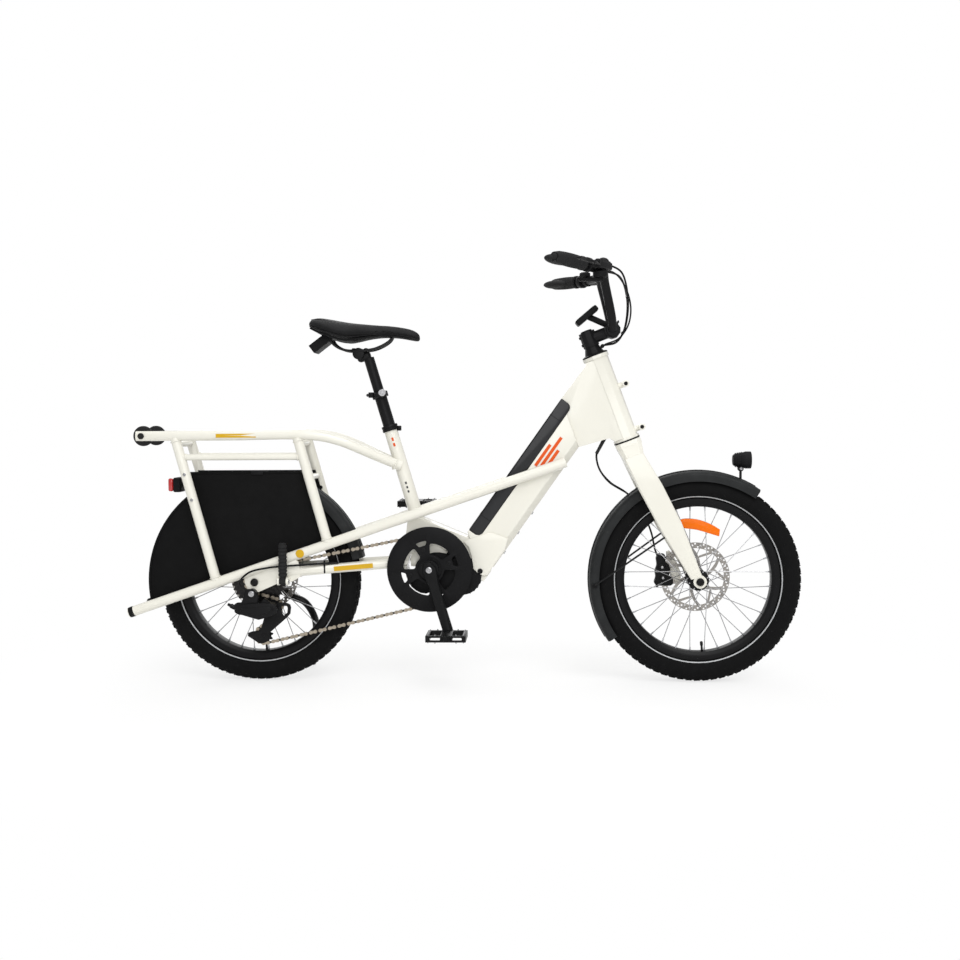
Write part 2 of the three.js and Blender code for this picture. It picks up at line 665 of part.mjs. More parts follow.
// Chainring with its guard, held by four bolts through the spider
const GUARD_Y = CHAIN_Y + RIGHT * (RING_THICK / 2 + GUARD_GAP + GUARD_THICK / 2);
const BOLT_TURNS = [0, 1, 2, 3].map((bolt) => radians(180 - CRANK_LEAN) + (bolt + 1 / 2) * Math.PI / 2);
const boltPlace = (turn, y) => wheelPoint(BB, BOLT_CIRCLE, turn, y);
const WINDOW_STEPS = 4;

function guardWindow(turn) {
  const middle = (GUARD_WINDOW_INNER + GUARD_WINDOW_OUTER) / 2;
  const spread = Math.PI / 4 - GUARD_RIB / middle / 2;
  const arc = (radius, reach, steps) => Array.from({ length: steps + 1 }, (_, step) => (
    wheelPoint(BB, radius, turn - reach + 2 * reach * step / steps, 0)
  ));
  const outside = arc(GUARD_WINDOW_OUTER, spread, WINDOW_STEPS);
  const inside = arc(GUARD_WINDOW_INNER + GUARD_RIB / 2, spread / 2, WINDOW_STEPS / 2).reverse();
  return sidePlate(sideView([...outside, ...inside]), GUARD_THICK + OVERRUN, GUARD_Y);
}

const guard = cut(
  band(BB, GUARD_WINDOW_INNER, GUARD_RADIUS, GUARD_Y, GUARD_THICK),
  ...BOLT_TURNS.map((turn) => guardWindow(turn + Math.PI / 4)),
);
const ringBolts = BOLT_TURNS.map((turn) => rod(boltPlace(turn, CHAIN_Y), boltPlace(turn, GUARD_Y), RING_BOLT,
  { sides: SMALL_SIDES }));
const ringPlate = band(BB, RING_BORE, pitchRadius(RING_TEETH) - CHAIN_CLEAR, CHAIN_Y, RING_THICK);
piece('chainring', join(guard, ringPlate, ...ringBolts), SATIN_BLACK);

// Cranks and pedals
const SPIDER_THICK = 4;
const SPIDER_Y = CHAIN_Y + RIGHT * (RING_THICK / 2 + GAP + SPIDER_THICK / 2);
const SPIDER_HUB = 24;
const CRANK_ROOT_Y = Math.abs(GUARD_Y) + GUARD_THICK / 2 + RUN_GAP + CRANK_THICK / 2;
const CRANK_TIP_Y = CRANK_ROOT_Y + CRANK_SPREAD;
const CRANK_DIRECTION = at(Math.sin(radians(CRANK_LEAN)), 0, -Math.cos(radians(CRANK_LEAN)));
const CRANK_ACROSS = at(CRANK_DIRECTION.z, 0, -CRANK_DIRECTION.x);
const CROSSWAYS = at(0, 1, 0);
const CRANK_TIP_THICK_SHARE = 0.85;

const crankTip = (side) => BB.clone().addScaledVector(CRANK_DIRECTION, -side * CRANK_LENGTH);

function crankArm(side) {
  const outward = CRANK_DIRECTION.clone().multiplyScalar(-side);
  const root = BB.clone().setY(side * CRANK_ROOT_Y);
  const tip = crankTip(side).setY(side * CRANK_TIP_Y);
  const tipThick = CRANK_THICK * CRANK_TIP_THICK_SHARE;
  const stations = [
    [root.clone().addScaledVector(outward, -CRANK_ROOT), CRANK_ROOT / 2, CRANK_THICK],
    [root, CRANK_ROOT, CRANK_THICK],
    [between(root, tip, 1 / 4), CRANK_TIP, CRANK_THICK],
    [tip, CRANK_TIP, tipThick],
    [tip.clone().addScaledVector(outward, CRANK_TIP), CRANK_TIP / 2, tipThick],
  ];
  const rings = stations.map(([centre, half, thick]) => (
    softRectangle(centre, CRANK_ACROSS, CROSSWAYS, half, thick / 2)
  ));
  const axleEnd = tip.clone().setY(side * (CRANK_TIP_Y + CRANK_THICK / 2 + PEDAL_OFFSET + PEDAL_WIDTH
    - PEDAL_WALL / 2));
  return join(loft(rings), rod(tip, axleEnd, PEDAL_AXLE, { sides: SMALL_SIDES }));
}

const spindleReach = CRANK_ROOT_Y - CRANK_THICK / 2 - GAP;
const spindle = rod(BB.clone().setY(-spindleReach), BB.clone().setY(CRANK_ROOT_Y), SPINDLE_RADIUS);
const spindleSocket = rod(BB.clone().setY(-spindleReach - GAP), BB.clone().setY(0), SPINDLE_RADIUS + GAP);
const spiderInner = Math.abs(SPIDER_Y) - SPIDER_THICK / 2;
const spiderHub = disc(BB, SPIDER_HUB, RIGHT * (CRANK_ROOT_Y + spiderInner) / 2,
  CRANK_ROOT_Y - spiderInner, TURNED_SIDES);
const spiderArms = BOLT_TURNS.map((turn) => join(
  bladeBetween(BB, boltPlace(turn, 0), SPIDER_ARM, SPIDER_THICK, SPIDER_Y),
  disc(boltPlace(turn, 0), SPIDER_ARM / 2 + RUN_GAP, SPIDER_Y, SPIDER_THICK, SMALL_SIDES),
));
const boltHoles = BOLT_TURNS.map((turn) => rod(boltPlace(turn, CHAIN_Y + OVERRUN),
  boltPlace(turn, GUARD_Y - OVERRUN),
  RING_BOLT + GAP, { sides: SMALL_SIDES }));
const spider = cut(join(spiderHub, ...spiderArms), ...boltHoles);
piece('crank_right', cut(join(crankArm(RIGHT), spider), spindleSocket), BLACK);
piece('crank_left', join(crankArm(LEFT), spindle), BLACK);

function slab(centre, lengthX, widthY, heightZ) {
  return solid(new THREE.BoxGeometry(lengthX, widthY, heightZ).translate(centre.x, centre.y, centre.z));
}

function pedal(side) {
  const inner = CRANK_TIP_Y + CRANK_THICK / 2 + PEDAL_OFFSET;
  const centre = crankTip(side).setY(side * (inner + PEDAL_WIDTH / 2));
  const windowLength = PEDAL_LENGTH / 2 - 2 * PEDAL_WALL - PEDAL_AXLE;
  const shift = PEDAL_LENGTH / 2 - PEDAL_WALL - windowLength / 2;
  const windows = [-1, 1].map((end) => slab(centre.clone().add(at(end * shift, 0, 0)), windowLength,
    PEDAL_WIDTH - 2 * PEDAL_WALL, PEDAL_THICK + OVERRUN));
  const bore = rod(centre.clone().setY(0), centre.clone().setY(side * (inner + PEDAL_WIDTH - PEDAL_WALL / 3)),
    PEDAL_AXLE + RUN_GAP, { sides: SMALL_SIDES });
  return cut(slab(centre, PEDAL_LENGTH, PEDAL_WIDTH, PEDAL_THICK), ...windows, bore);
}

for (const [name, side] of BOTH_SIDES) piece(`pedal_${name}`, pedal(side), BLACK);

// Down tube with the motor bracket at its foot
const motorOutline = (grow) => join(
  disc(BB, MOTOR_RADIUS + grow, 0, 2 * MOTOR_HALF, TURNED_SIDES),
  disc(at(MOTOR_LOBE_X, 0, MOTOR_LOBE_Z), MOTOR_LOBE_RADIUS + grow, 0, 2 * MOTOR_HALF, TURNED_SIDES),
  sidePlate([
    [BB_X, BB_Z + MOTOR_RADIUS + grow], [MOTOR_LOBE_X, MOTOR_LOBE_Z + MOTOR_LOBE_RADIUS + grow],
    [MOTOR_LOBE_X, MOTOR_LOBE_Z - MOTOR_LOBE_RADIUS - grow], [BB_X, BB_Z - MOTOR_RADIUS - grow],
  ], 2 * MOTOR_HALF, 0),
);

// A prism along the down tube, with its chamfered corners
function downSection(wide) {
  const half = wide / 2;
  const section = polygon([
    [half, 0], [half, DOWN_DEPTH - DOWN_CHAMFER], [half - DOWN_CHAMFER, DOWN_DEPTH],
    [DOWN_CHAMFER - half, DOWN_DEPTH], [-half, DOWN_DEPTH - DOWN_CHAMFER], [-half, 0],
  ]);
  const reach = DOWN_UPPER + DOWN_DEPTH;
  const geometry = new THREE.ExtrudeGeometry(section, { depth: 2 * reach, bevelEnabled: false });
  const start = downPoint(-reach / 2, 0);
  return solid(placed(geometry, start, at(0, -1, 0), DOWN_NORMAL, DOWN_AXIS));
}

function battery(grow) {
  const start = BATTERY_START - grow;
  const end = BATTERY_START + BATTERY_LENGTH + grow;
  const deep = BATTERY_DEPTH + grow;
  const top = grow > 0 ? -OVERRUN : 0;
  const round = BATTERY_ROUND;
  const corner = (along, depth) => downPoint(along, depth);
  const outline = [
    corner(start, top), corner(start, deep - round), corner(start + round / 3, deep - round / 3),
    corner(start + round, deep), corner(end - round, deep), corner(end - round / 3, deep - round / 3),
    corner(end, deep - round), corner(end, top),
  ];
  return sidePlate(sideView(outline), DOWN_WIDTH + (grow > 0 ? OVERRUN : -2 * RUN_GAP), 0);
}

// The bracket wraps over the motor, from the seat tube's foot to the down tube; shares of the motor's radius
const BRACKET_OUTLINE_SHARES = [
  [-0.9, 2.2], [-0.35, 2.08], [1.55, 1.3], [1.75, 1.75], [2.7, 1.2], [2.52, -0.13], [2.2, -0.55], [1.8, -0.2],
  [0, 0.8], [-0.75, -0.2], [-1.12, -0.12], [-1.12, 0.5],
];
const bracketShape = (grow) => sidePlate(BRACKET_OUTLINE_SHARES.map(([x, z]) => [
  BB_X + x * (MOTOR_RADIUS + grow), BB_Z + z * (MOTOR_RADIUS + grow),
]), BRACKET_WIDTH + 2 * grow, 0);

const downSide = (grow) => sidePlate(sideView([
  downPoint(-DOWN_CHAMFER, 0), downPoint(DOWN_UPPER, 0), downPoint(DOWN_LOWER, DOWN_DEPTH),
  downPoint(-DOWN_DEPTH / 2, DOWN_DEPTH), downPoint(-DOWN_DEPTH / 2, DOWN_DEPTH / 2),
]), DOWN_WIDTH + 2 * grow, 0);
const downTube = cut(join(downSide(0).intersect(downSection(DOWN_WIDTH)), bracketShape(0)), battery(GAP),
  motorOutline(GAP));
const motorBore = rod(BB.clone().setY(-DOWN_WIDTH), BB.clone().setY(DOWN_WIDTH), SPINDLE_RADIUS + RUN_GAP);
piece('down_tube', downTube, CREAM);
piece('battery_pack', battery(0), BLACK);
piece('motor_housing', cut(motorOutline(0), motorBore), BLACK);

// Head tube, its gusset and the bosses for a front rack
const HEAD_BOSS_FORWARD = 47;
const HEAD_BOSS_UPS = [21, 139];
const HEAD_BOSS_RADIUS = 9;
const HEAD_BOSS_HALF = 24;
const GUSSET_HALF_AT_HEAD = 28;
const steererHole = rod(headPoint(-OVERRUN, 0), headPoint(HEAD_LENGTH + OVERRUN, 0),
  STEERER_RADIUS + RUN_GAP);
const gussetSide = (grow) => sidePlate(sideView([
  downPoint(DOWN_UPPER, 0).addScaledVector(DOWN_AXIS, GAP),
    headPoint(HEAD_LENGTH - 2 * HEAD_RING_HEIGHT, -HEAD_RADIUS - OVERRUN),
  headPoint(HEAD_LENGTH - HEAD_RING_HEIGHT - RUN_GAP, -HEAD_RADIUS),
    headPoint(HEAD_LENGTH - HEAD_RING_HEIGHT - RUN_GAP, 0),
  headPoint(HEAD_RING_HEIGHT + RUN_GAP, 0), headPoint(HEAD_RING_HEIGHT + RUN_GAP, -HEAD_RADIUS),
  headPoint(2 * HEAD_RING_HEIGHT + OVERRUN, -HEAD_RADIUS - 2 * OVERRUN),
  downPoint(DOWN_LOWER, DOWN_DEPTH).addScaledVector(DOWN_AXIS, GAP),
]), DOWN_WIDTH + 2 * grow, 0);
const gussetPlan = (() => {
  const rear = downPoint(DOWN_LOWER, 0).x;
  const shape = polygon([
    [rear - DOWN_WIDTH, -DOWN_WIDTH / 2], [rear, -DOWN_WIDTH / 2], [HEAD_X, -GUSSET_HALF_AT_HEAD],
    [HEAD_X + DOWN_WIDTH, -GUSSET_HALF_AT_HEAD], [HEAD_X + DOWN_WIDTH, GUSSET_HALF_AT_HEAD],
    [HEAD_X, GUSSET_HALF_AT_HEAD], [rear, DOWN_WIDTH / 2], [rear - DOWN_WIDTH, DOWN_WIDTH / 2],
  ]);
  return solid(new THREE.ExtrudeGeometry(shape, { depth: 2 * HEAD_Z, bevelEnabled: false }));
})();
const headBosses = HEAD_BOSS_UPS.map((up) => join(
  rod(headPoint(up, HEAD_BOSS_FORWARD, -HEAD_BOSS_HALF), headPoint(up, HEAD_BOSS_FORWARD, HEAD_BOSS_HALF),
    HEAD_BOSS_RADIUS,
    { sides: SMALL_SIDES }),
  rod(headPoint(up, HEAD_RADIUS - OVERRUN), headPoint(up, HEAD_BOSS_FORWARD), HEAD_BOSS_RADIUS - RUN_GAP,
    { sides: SMALL_SIDES }),
));
const headTube = cut(join(
  rod(headPoint(OVERRUN, 0), headPoint(HEAD_LENGTH - OVERRUN, 0), HEAD_RADIUS),
  rod(headPoint(0, 0), headPoint(HEAD_RING_HEIGHT, 0), HEAD_RING),
  rod(headPoint(HEAD_LENGTH - HEAD_RING_HEIGHT, 0), headPoint(HEAD_LENGTH, 0), HEAD_RING),
  gussetSide(0).intersect(gussetPlan),
  ...headBosses,
), steererHole, battery(GAP));
piece('head_tube', headTube, CREAM);

// Seat tube with its collar, the two posts and the quick release
const SEAT_BORE_FOOT_Z = 440;
const SEAT_TUBE_FOOT_Z = 395;
const LOWER_POST_FOOT_Z = SEAT_TUBE_TOP_Z - LOWER_POST_DEPTH;
const LOWER_POST_TOP_Z = QR_Z + LOWER_POST_LIP;
const UPPER_POST_FOOT_Z = QR_Z - UPPER_POST_DEPTH;
const UPPER_POST_TOP_Z = QR_Z + UPPER_POST_SHOWN;
const seatTube = cut(join(
  rod(seatPoint(SEAT_TUBE_FOOT_Z), seatPoint(SEAT_TUBE_TOP_Z), SEAT_TUBE_RADIUS),
  rod(seatPoint(SEAT_TUBE_TOP_Z - COLLAR_HEIGHT), seatPoint(SEAT_TUBE_TOP_Z), COLLAR_RADIUS),
), rod(seatPoint(SEAT_BORE_FOOT_Z), seatPoint(SEAT_TUBE_TOP_Z), POST_RADIUS + GAP, { past: OVERRUN }),
  bracketShape(GAP));
piece('seat_tube', seatTube, CREAM);

const QR_SIDE = RIGHT;
const QR_HALF = 7;
const QR_BOLT_RADIUS = 3;
const QR_BOLT_REACH = 20;
const qrCentre = seatPoint(QR_Z);
const qrOut = QR_SIDE * (COLLAR_RADIUS + QR_BOLT_RADIUS);
const qrPivot = at(qrCentre.x - QR_BOLT_REACH, qrOut, QR_Z);
const lowerPost = cut(join(
  rod(seatPoint(LOWER_POST_FOOT_Z), seatPoint(LOWER_POST_TOP_Z), POST_RADIUS),
  rod(seatPoint(QR_Z - QR_HALF), seatPoint(QR_Z + QR_HALF), COLLAR_RADIUS),
  slab(at(qrCentre.x, qrOut, QR_Z), QR_BOLT_REACH, 3 * QR_BOLT_RADIUS, QR_HALF * 2),
  rod(qrPivot.clone().add(at(QR_HALF + GAP, 0, 0)), at(qrCentre.x + QR_BOLT_REACH, qrOut, QR_Z),
    QR_BOLT_RADIUS, { sides: SMALL_SIDES }),
), rod(seatPoint(LOWER_POST_FOOT_Z), seatPoint(LOWER_POST_TOP_Z), POST_RADIUS - POST_WALL,
  { past: OVERRUN }));
piece('seatpost_lower', lowerPost, SATIN_BLACK);

const CLAMP_SETBACK = 24.3;
const CLAMP_RISE = 11;
const CLAMP_RADIUS = 15;
const CLAMP_HALF = 24;
const SEAT_RAIL_RADIUS = 3.5;
const clamp = seatPoint(UPPER_POST_TOP_Z).add(at(-CLAMP_SETBACK, 0, CLAMP_RISE));

// A place on the saddle: shares of its length from the tail and above the clamp, and of its half width
const saddlePoint = (forward, up, out) => at(
  clamp.x - SADDLE_BEHIND + forward * SADDLE_LENGTH, out * SADDLE_HALF, clamp.z + up * SADDLE_LENGTH,
);
const SEAT_RAIL_SHARES = [
  [0.172, 0.168, 0.364], [0.228, 0.081, 0.338], [0.326, 0.032, 0.273], [0.46, 0.028, 0.273],
    [0.593, 0.042, 0.26],
  [0.723, 0.109, 0.182], [0.761, 0.165, 0.117],
];
const seatRail = (side, radius) => bentTube(
  SEAT_RAIL_SHARES.map(([forward, up, out]) => saddlePoint(forward, up, side * out)), radius,
  { sides: SMALL_SIDES - 2, steps: 10 },
);
const upperPost = join(
  rod(seatPoint(UPPER_POST_FOOT_Z), seatPoint(UPPER_POST_TOP_Z), INNER_POST_RADIUS),
  rod(clamp.clone().setY(-CLAMP_HALF), clamp.clone().setY(CLAMP_HALF), CLAMP_RADIUS),
  rod(seatPoint(UPPER_POST_TOP_Z - INNER_POST_RADIUS), clamp, INNER_POST_RADIUS),
  seatRail(RIGHT, SEAT_RAIL_RADIUS),
  seatRail(LEFT, SEAT_RAIL_RADIUS),
);
piece('seatpost_upper', upperPost, SATIN_BLACK);

// Saddle: each station is forward, top, bottom and half width, as shares of the saddle's sizes
const SADDLE_STATION_SHARES = [
  [0, 0.284, 0.239, 0.39], [0.028, 0.319, 0.207, 0.7], [0.095, 0.33, 0.165, 0.91], [0.2, 0.312, 0.123, 1],
  [0.326, 0.288, 0.081, 0.96], [0.432, 0.274, 0.095, 0.753], [0.537, 0.267, 0.119, 0.52],
    [0.67, 0.256, 0.137, 0.377],
  [0.818, 0.239, 0.13, 0.312], [0.923, 0.218, 0.109, 0.247], [0.979, 0.189, 0.098, 0.169],
    [1, 0.158, 0.109, 0.078],
];
const HANDLE_SHARES = [[0.039, 0.207, 0.442], [0.025, 0.109, 0.416], [0.067, 0.032, 0.286]];
const HANDLE_BACK_SHARES = [0.088, 0.018, 0];
const HANDLE_RADIUS = 6;
const saddleRings = SADDLE_STATION_SHARES.map(([forward, top, bottom, half]) => ellipseRing(
  saddlePoint(forward, (top + bottom) / 2, 0), at(0, 1, 0), at(0, 0, 1),
  half * SADDLE_HALF, (top - bottom) * SADDLE_LENGTH / 2, TURNED_SIDES,
));
const handleEnd = (side) => HANDLE_SHARES.map(([forward, up, out]) => saddlePoint(forward, up, side * out));
const saddleHandle = bentTube([...handleEnd(LEFT), saddlePoint(...HANDLE_BACK_SHARES),
  ...handleEnd(RIGHT).reverse()],
  HANDLE_RADIUS, { sides: SMALL_SIDES, steps: 16 });
const railsOfSaddle = [RIGHT, LEFT].map((side) => seatRail(side, SEAT_RAIL_RADIUS + GAP));
piece('saddle', cut(join(loft(saddleRings), saddleHandle), ...railsOfSaddle), LEATHERETTE);

const QR_LEVER_LENGTH = 56;
const QR_LEVER_SHARES = [[0, 0], [-0.107, 0.179], [-0.161, 0.429], [-0.125, 0.75], [0, 1]];
const QR_LEVER_RADIUS = 4;
const upBy = (rise) => at(0, 0, rise);
const qrEar = rod(qrPivot.clone().add(upBy(-QR_HALF)), qrPivot.clone().add(upBy(QR_HALF)), QR_HALF,
  { sides: SMALL_SIDES });
const qrLeverRoute = QR_LEVER_SHARES.map(([back, across]) => (
  qrPivot.clone().add(at(back * QR_LEVER_LENGTH - QR_HALF / 2, across * QR_LEVER_LENGTH, 0))
));
const qrLever = cut(
  join(qrEar, bentTube(qrLeverRoute, QR_LEVER_RADIUS, { sides: SMALL_SIDES, steps: 10 })),
  rod(seatPoint(QR_Z - 2 * QR_HALF), seatPoint(QR_Z + 2 * QR_HALF), COLLAR_RADIUS + RUN_GAP),
  slab(at(qrCentre.x, qrOut, QR_Z), QR_BOLT_REACH + 2 * GAP, 3 * QR_BOLT_RADIUS + 2 * GAP,
    2 * QR_HALF + 2 * GAP),
);
piece('qr_lever', qrLever, SATIN_BLACK);

// Rack rails
const topRailPoint = (x, side) => at(x, side * RACK_HALF, TOP_RAIL_Z);
const lowerRailAt = (x, side) => {
  const share = (x - LOWER_TAIL_X) / (LOWER_FRONT_X - LOWER_TAIL_X);
  return at(x, side * THREE.MathUtils.lerp(LOWER_TAIL_HALF, LOWER_FRONT_HALF, share),
    THREE.MathUtils.lerp(LOWER_TAIL_Z, LOWER_FRONT_Z, share));
};
const lowerRail = (side, radius) => rod(lowerRailAt(LOWER_TAIL_X, side), lowerRailAt(LOWER_FRONT_X, side),
  radius);
const TOP_RAIL_TURN = 70; // run over which the rail bends
const TOP_RAIL_END_HALF = 16;
function topRail(side, radius) {
  const end = seatPoint(TOP_RAIL_Z - TOP_RAIL_FALL, side * TOP_RAIL_END_HALF);
  const bend = topRailPoint(TOP_RAIL_BEND_X, side);
  const away = end.clone().sub(bend).normalize();
  const straight = bend.clone().add(at(-TOP_RAIL_TURN / 2, 0, 0));
  return bentTube([
    topRailPoint(TOP_RAIL_TAIL_X, side), between(topRailPoint(TOP_RAIL_TAIL_X, side), straight, 1 / 2),
      straight,
    bend.clone().addScaledVector(away, TOP_RAIL_TURN / 2), between(bend, end, 2 / 3), end,
  ], radius, { steps: 10 });
}
const rollerBolt = (radius) => rod(at(ROLLER_X, -RACK_HALF - TAIL_THICK, TOP_RAIL_Z),
  at(ROLLER_X, RACK_HALF + TAIL_THICK, TOP_RAIL_Z),
  radius, { sides: SMALL_SIDES });
const seatTubeClear = rod(seatPoint(SEAT_TUBE_FOOT_Z), seatPoint(SEAT_TUBE_TOP_Z), SEAT_TUBE_RADIUS + GAP);
for (const [name, side] of BOTH_SIDES) {
  const cheek = (edge) => slab(at(TOP_RAIL_TAIL_X,
    side * RACK_HALF + edge * (TAIL_THICK + RAIL_RADIUS) / 2, TOP_RAIL_Z),
    2 * TAIL_FLAT, RAIL_RADIUS, 4 * RAIL_RADIUS);
  piece(`top_rail_${name}`, cut(topRail(side, RAIL_RADIUS), cheek(-1), cheek(1),
    rollerBolt(ROLLER_AXLE + RUN_GAP),
    seatTubeClear), CREAM);
  piece(`lower_rail_${name}`, cut(lowerRail(side, LOWER_RAIL_RADIUS), downSide(GAP), bracketShape(GAP),
    gussetSide(GAP)), CREAM);
}
const rollers = join(
  rollerBolt(ROLLER_AXLE),
  ...[RIGHT, LEFT].map((side) => disc(at(ROLLER_X, 0, TOP_RAIL_Z), ROLLER_RADIUS,
    side * (RACK_HALF - TAIL_THICK / 2 - RUN_GAP - ROLLER_WIDTH / 2), ROLLER_WIDTH, TURNED_SIDES)),
  ...[RIGHT, LEFT].map((side) => disc(at(ROLLER_X, 0, TOP_RAIL_Z), 2 * ROLLER_AXLE,
    side * (RACK_HALF + TAIL_THICK / 2 + RUN_GAP + ROLLER_AXLE / 2), ROLLER_AXLE, SMALL_SIDES)),
);
piece('parking_rollers', rollers, RUBBER);

// Two hoops stand on the lower rails and carry the top rails; the middle rails run between them
const uprightTop = (x, side) => at(x, side * RACK_HALF, TOP_RAIL_Z);
const uprightAt = (topX, footX, z, side) => {
  const foot = lowerRailAt(footX, side);
  return between(uprightTop(topX, side), foot, (TOP_RAIL_Z - z) / (TOP_RAIL_Z - foot.z));
};
const upright = (topX, footX, side, radius) => rod(uprightTop(topX, side), lowerRailAt(footX, side), radius);
const crossTube = (topX, footX, z, radius = CROSS_RADIUS) => rod(uprightAt(topX, footX, z, RIGHT),
  uprightAt(topX, footX, z, LEFT), radius, { sides: SMALL_SIDES });
const railsClear = [RIGHT, LEFT].flatMap((side) => [topRail(side, RAIL_RADIUS + GAP),
  lowerRail(side, LOWER_RAIL_RADIUS + GAP)]);
const TOP_CROSS_Z = TOP_RAIL_Z - RAIL_RADIUS - CROSS_RADIUS;
const rearHoop = (radius) => join(...[RIGHT,
  LEFT].map((side) => upright(REAR_UPRIGHT_X, REAR_UPRIGHT_FOOT_X, side, radius)));
const MID_RAIL_Z = TOP_RAIL_Z - MID_RAIL_DROP;
const middleRail = (side) => rod(
  uprightAt(REAR_UPRIGHT_X, REAR_UPRIGHT_FOOT_X, MID_RAIL_Z, side),
  uprightAt(FRONT_UPRIGHT_X, FRONT_UPRIGHT_FOOT_X, MID_RAIL_Z, side),
  MID_RAIL_RADIUS,
  { sides: SMALL_SIDES },
);
const frontHoop = [RIGHT, LEFT].map((side) => upright(FRONT_UPRIGHT_X, FRONT_UPRIGHT_FOOT_X, side,
  RAIL_RADIUS));
piece('rack_hoops', cut(join(
  rearHoop(RAIL_RADIUS),
  crossTube(REAR_UPRIGHT_X, REAR_UPRIGHT_FOOT_X, TOP_CROSS_Z),
  crossTube(REAR_UPRIGHT_X, REAR_UPRIGHT_FOOT_X, LIGHT_CROSS_Z),
  ...frontHoop,
  crossTube(FRONT_UPRIGHT_X, FRONT_UPRIGHT_FOOT_X, TOP_CROSS_Z),
  crossTube(FRONT_UPRIGHT_X, FRONT_UPRIGHT_FOOT_X, FENDER_CROSS_Z),
  middleRail(RIGHT),
  middleRail(LEFT),
), ...railsClear), CREAM);

// Chainstays with their dropout plates, the footpeg ears and the derailleur hanger
const DROPOUT_Y = REAR_HUB_WIDTH / 2 + GAP + DROPOUT_THICK / 2;
const DROPOUT_OUTER = DROPOUT_Y + DROPOUT_THICK / 2;
// Outline about the axle, as shares of the tyre's radius
const DROPOUT_OUTLINE_SHARES = [
  [-0.1, 0.09], [-0.095, -0.01], [-0.06, -0.08], [0.04, -0.095], [0.22, -0.015], [0.38, 0.01], [0.45, 0.055],
  [0.43, 0.2], [0.36, 0.25], [0, 0.13],
];
const HANGER_BACK = 5;
const HANGER_DROP = 28;
const HANGER_RADIUS = 12;
const KNUCKLE_RADIUS = 11;
const KNUCKLE_LENGTH = 15;
const PEG_X = 78;
const PEG_Z = 269;
const PEG_OUT = 21; // hinge of the footpeg outside the dropout plate
const PEG_EAR = 5;
const PEG_GAP = 18;
const PEG_PIN = 3;
const PEG_EAR_RADIUS = 10;
const STAND_PIVOT_X = 22;
const STAND_PIVOT_Z = 246;
const STAND_PIN = 5;
const HANGER = at(-HANGER_BACK, 0, TYRE_RADIUS - HANGER_DROP);
const pegHinge = (side) => at(PEG_X, side * (DROPOUT_OUTER + PEG_OUT), PEG_Z);

function pegEars(side) {
  const hinge = pegHinge(side);
  const root = hinge.clone().setY(side * DROPOUT_Y);
  const ears = [-1, 1].map((end) => {
    const middle = end * (PEG_GAP + PEG_EAR) / 2;
    const outer = hinge.clone().add(at(middle, 0, 0));
    const ear = slab(between(root, hinge, 1 / 2).add(at(middle, 0, 0)), PEG_EAR,
      PEG_OUT + DROPOUT_THICK / 2, PEG_EAR_RADIUS * 2);
    const half = at(PEG_EAR / 2, 0, 0);
    const round = rod(outer.clone().sub(half), outer.clone().add(half), PEG_EAR_RADIUS);
    return join(ear, round);
  });
  return cut(join(...ears), pegPin(side, PEG_PIN + GAP, OVERRUN));
}

function pegPin(side, radius, past) {
  const half = at(PEG_GAP / 2 + PEG_EAR, 0, 0);
  return rod(pegHinge(side).sub(half), pegHinge(side).add(half), radius, { sides: SMALL_SIDES, past });
}

function chainstay(side) {
  const plateShape = sidePlate(DROPOUT_OUTLINE_SHARES.map(([x, z]) => [x * TYRE_RADIUS,
    TYRE_RADIUS * (1 + z)]),
    DROPOUT_THICK, side * DROPOUT_Y);
  const tube = rod(at(STAY_REAR_X, side * DROPOUT_Y, STAY_REAR_Z),
    at(STAY_FRONT_X, side * STAY_FRONT_HALF, STAY_FRONT_Z), STAY_RADIUS);
  const extras = side === RIGHT
    ? [disc(HANGER, HANGER_RADIUS, side * DROPOUT_Y, DROPOUT_THICK, ROUND_SIDES),
      disc(HANGER, KNUCKLE_RADIUS, side * (DROPOUT_OUTER + KNUCKLE_LENGTH / 2 - GAP), KNUCKLE_LENGTH,
        ROUND_SIDES)]
    : [];
  const standHole = side === LEFT
    ? [rod(at(STAND_PIVOT_X, 0, STAND_PIVOT_Z), at(STAND_PIVOT_X, 2 * DROPOUT_OUTER, STAND_PIVOT_Z),
      STAND_PIN + RUN_GAP, { sides: SMALL_SIDES })]
    : [];
  return cut(join(plateShape, tube, pegEars(side), ...extras), lowerRail(side, LOWER_RAIL_RADIUS + GAP),
    bracketShape(GAP),
    motorOutline(GAP), rod(at(0, -DROPOUT_OUTER, TYRE_RADIUS), at(0, DROPOUT_OUTER, TYRE_RADIUS),
      AXLE_RADIUS + GAP, { past: OVERRUN }),
    ...standHole);
}

// Folding footpegs, standing up against the frame
const PEG_LENGTH = 98;
const PEG_RADIUS = 11;
const PEG_ROOT_RADIUS = 8;
for (const [name, side] of BOTH_SIDES) {
  piece(`chainstay_${name}`, chainstay(side), CREAM);
  const hinge = pegHinge(side);
  const half = at(PEG_GAP / 2 - GAP, 0, 0);
  piece(`footpeg_${name}`, join(
    rod(hinge.clone().sub(half), hinge.clone().add(half), PEG_ROOT_RADIUS, { sides: SMALL_SIDES }),
    rod(hinge, hinge.clone().add(at(0, 0, PEG_LENGTH)), PEG_ROOT_RADIUS, { sides: SMALL_SIDES }),
    rod(hinge.clone().add(at(0, 0, PEG_EAR_RADIUS + RUN_GAP)), hinge.clone().add(at(0, 0, PEG_LENGTH)),
      PEG_RADIUS),
    pegPin(side, PEG_PIN, 0),
  ), RUBBER);
}

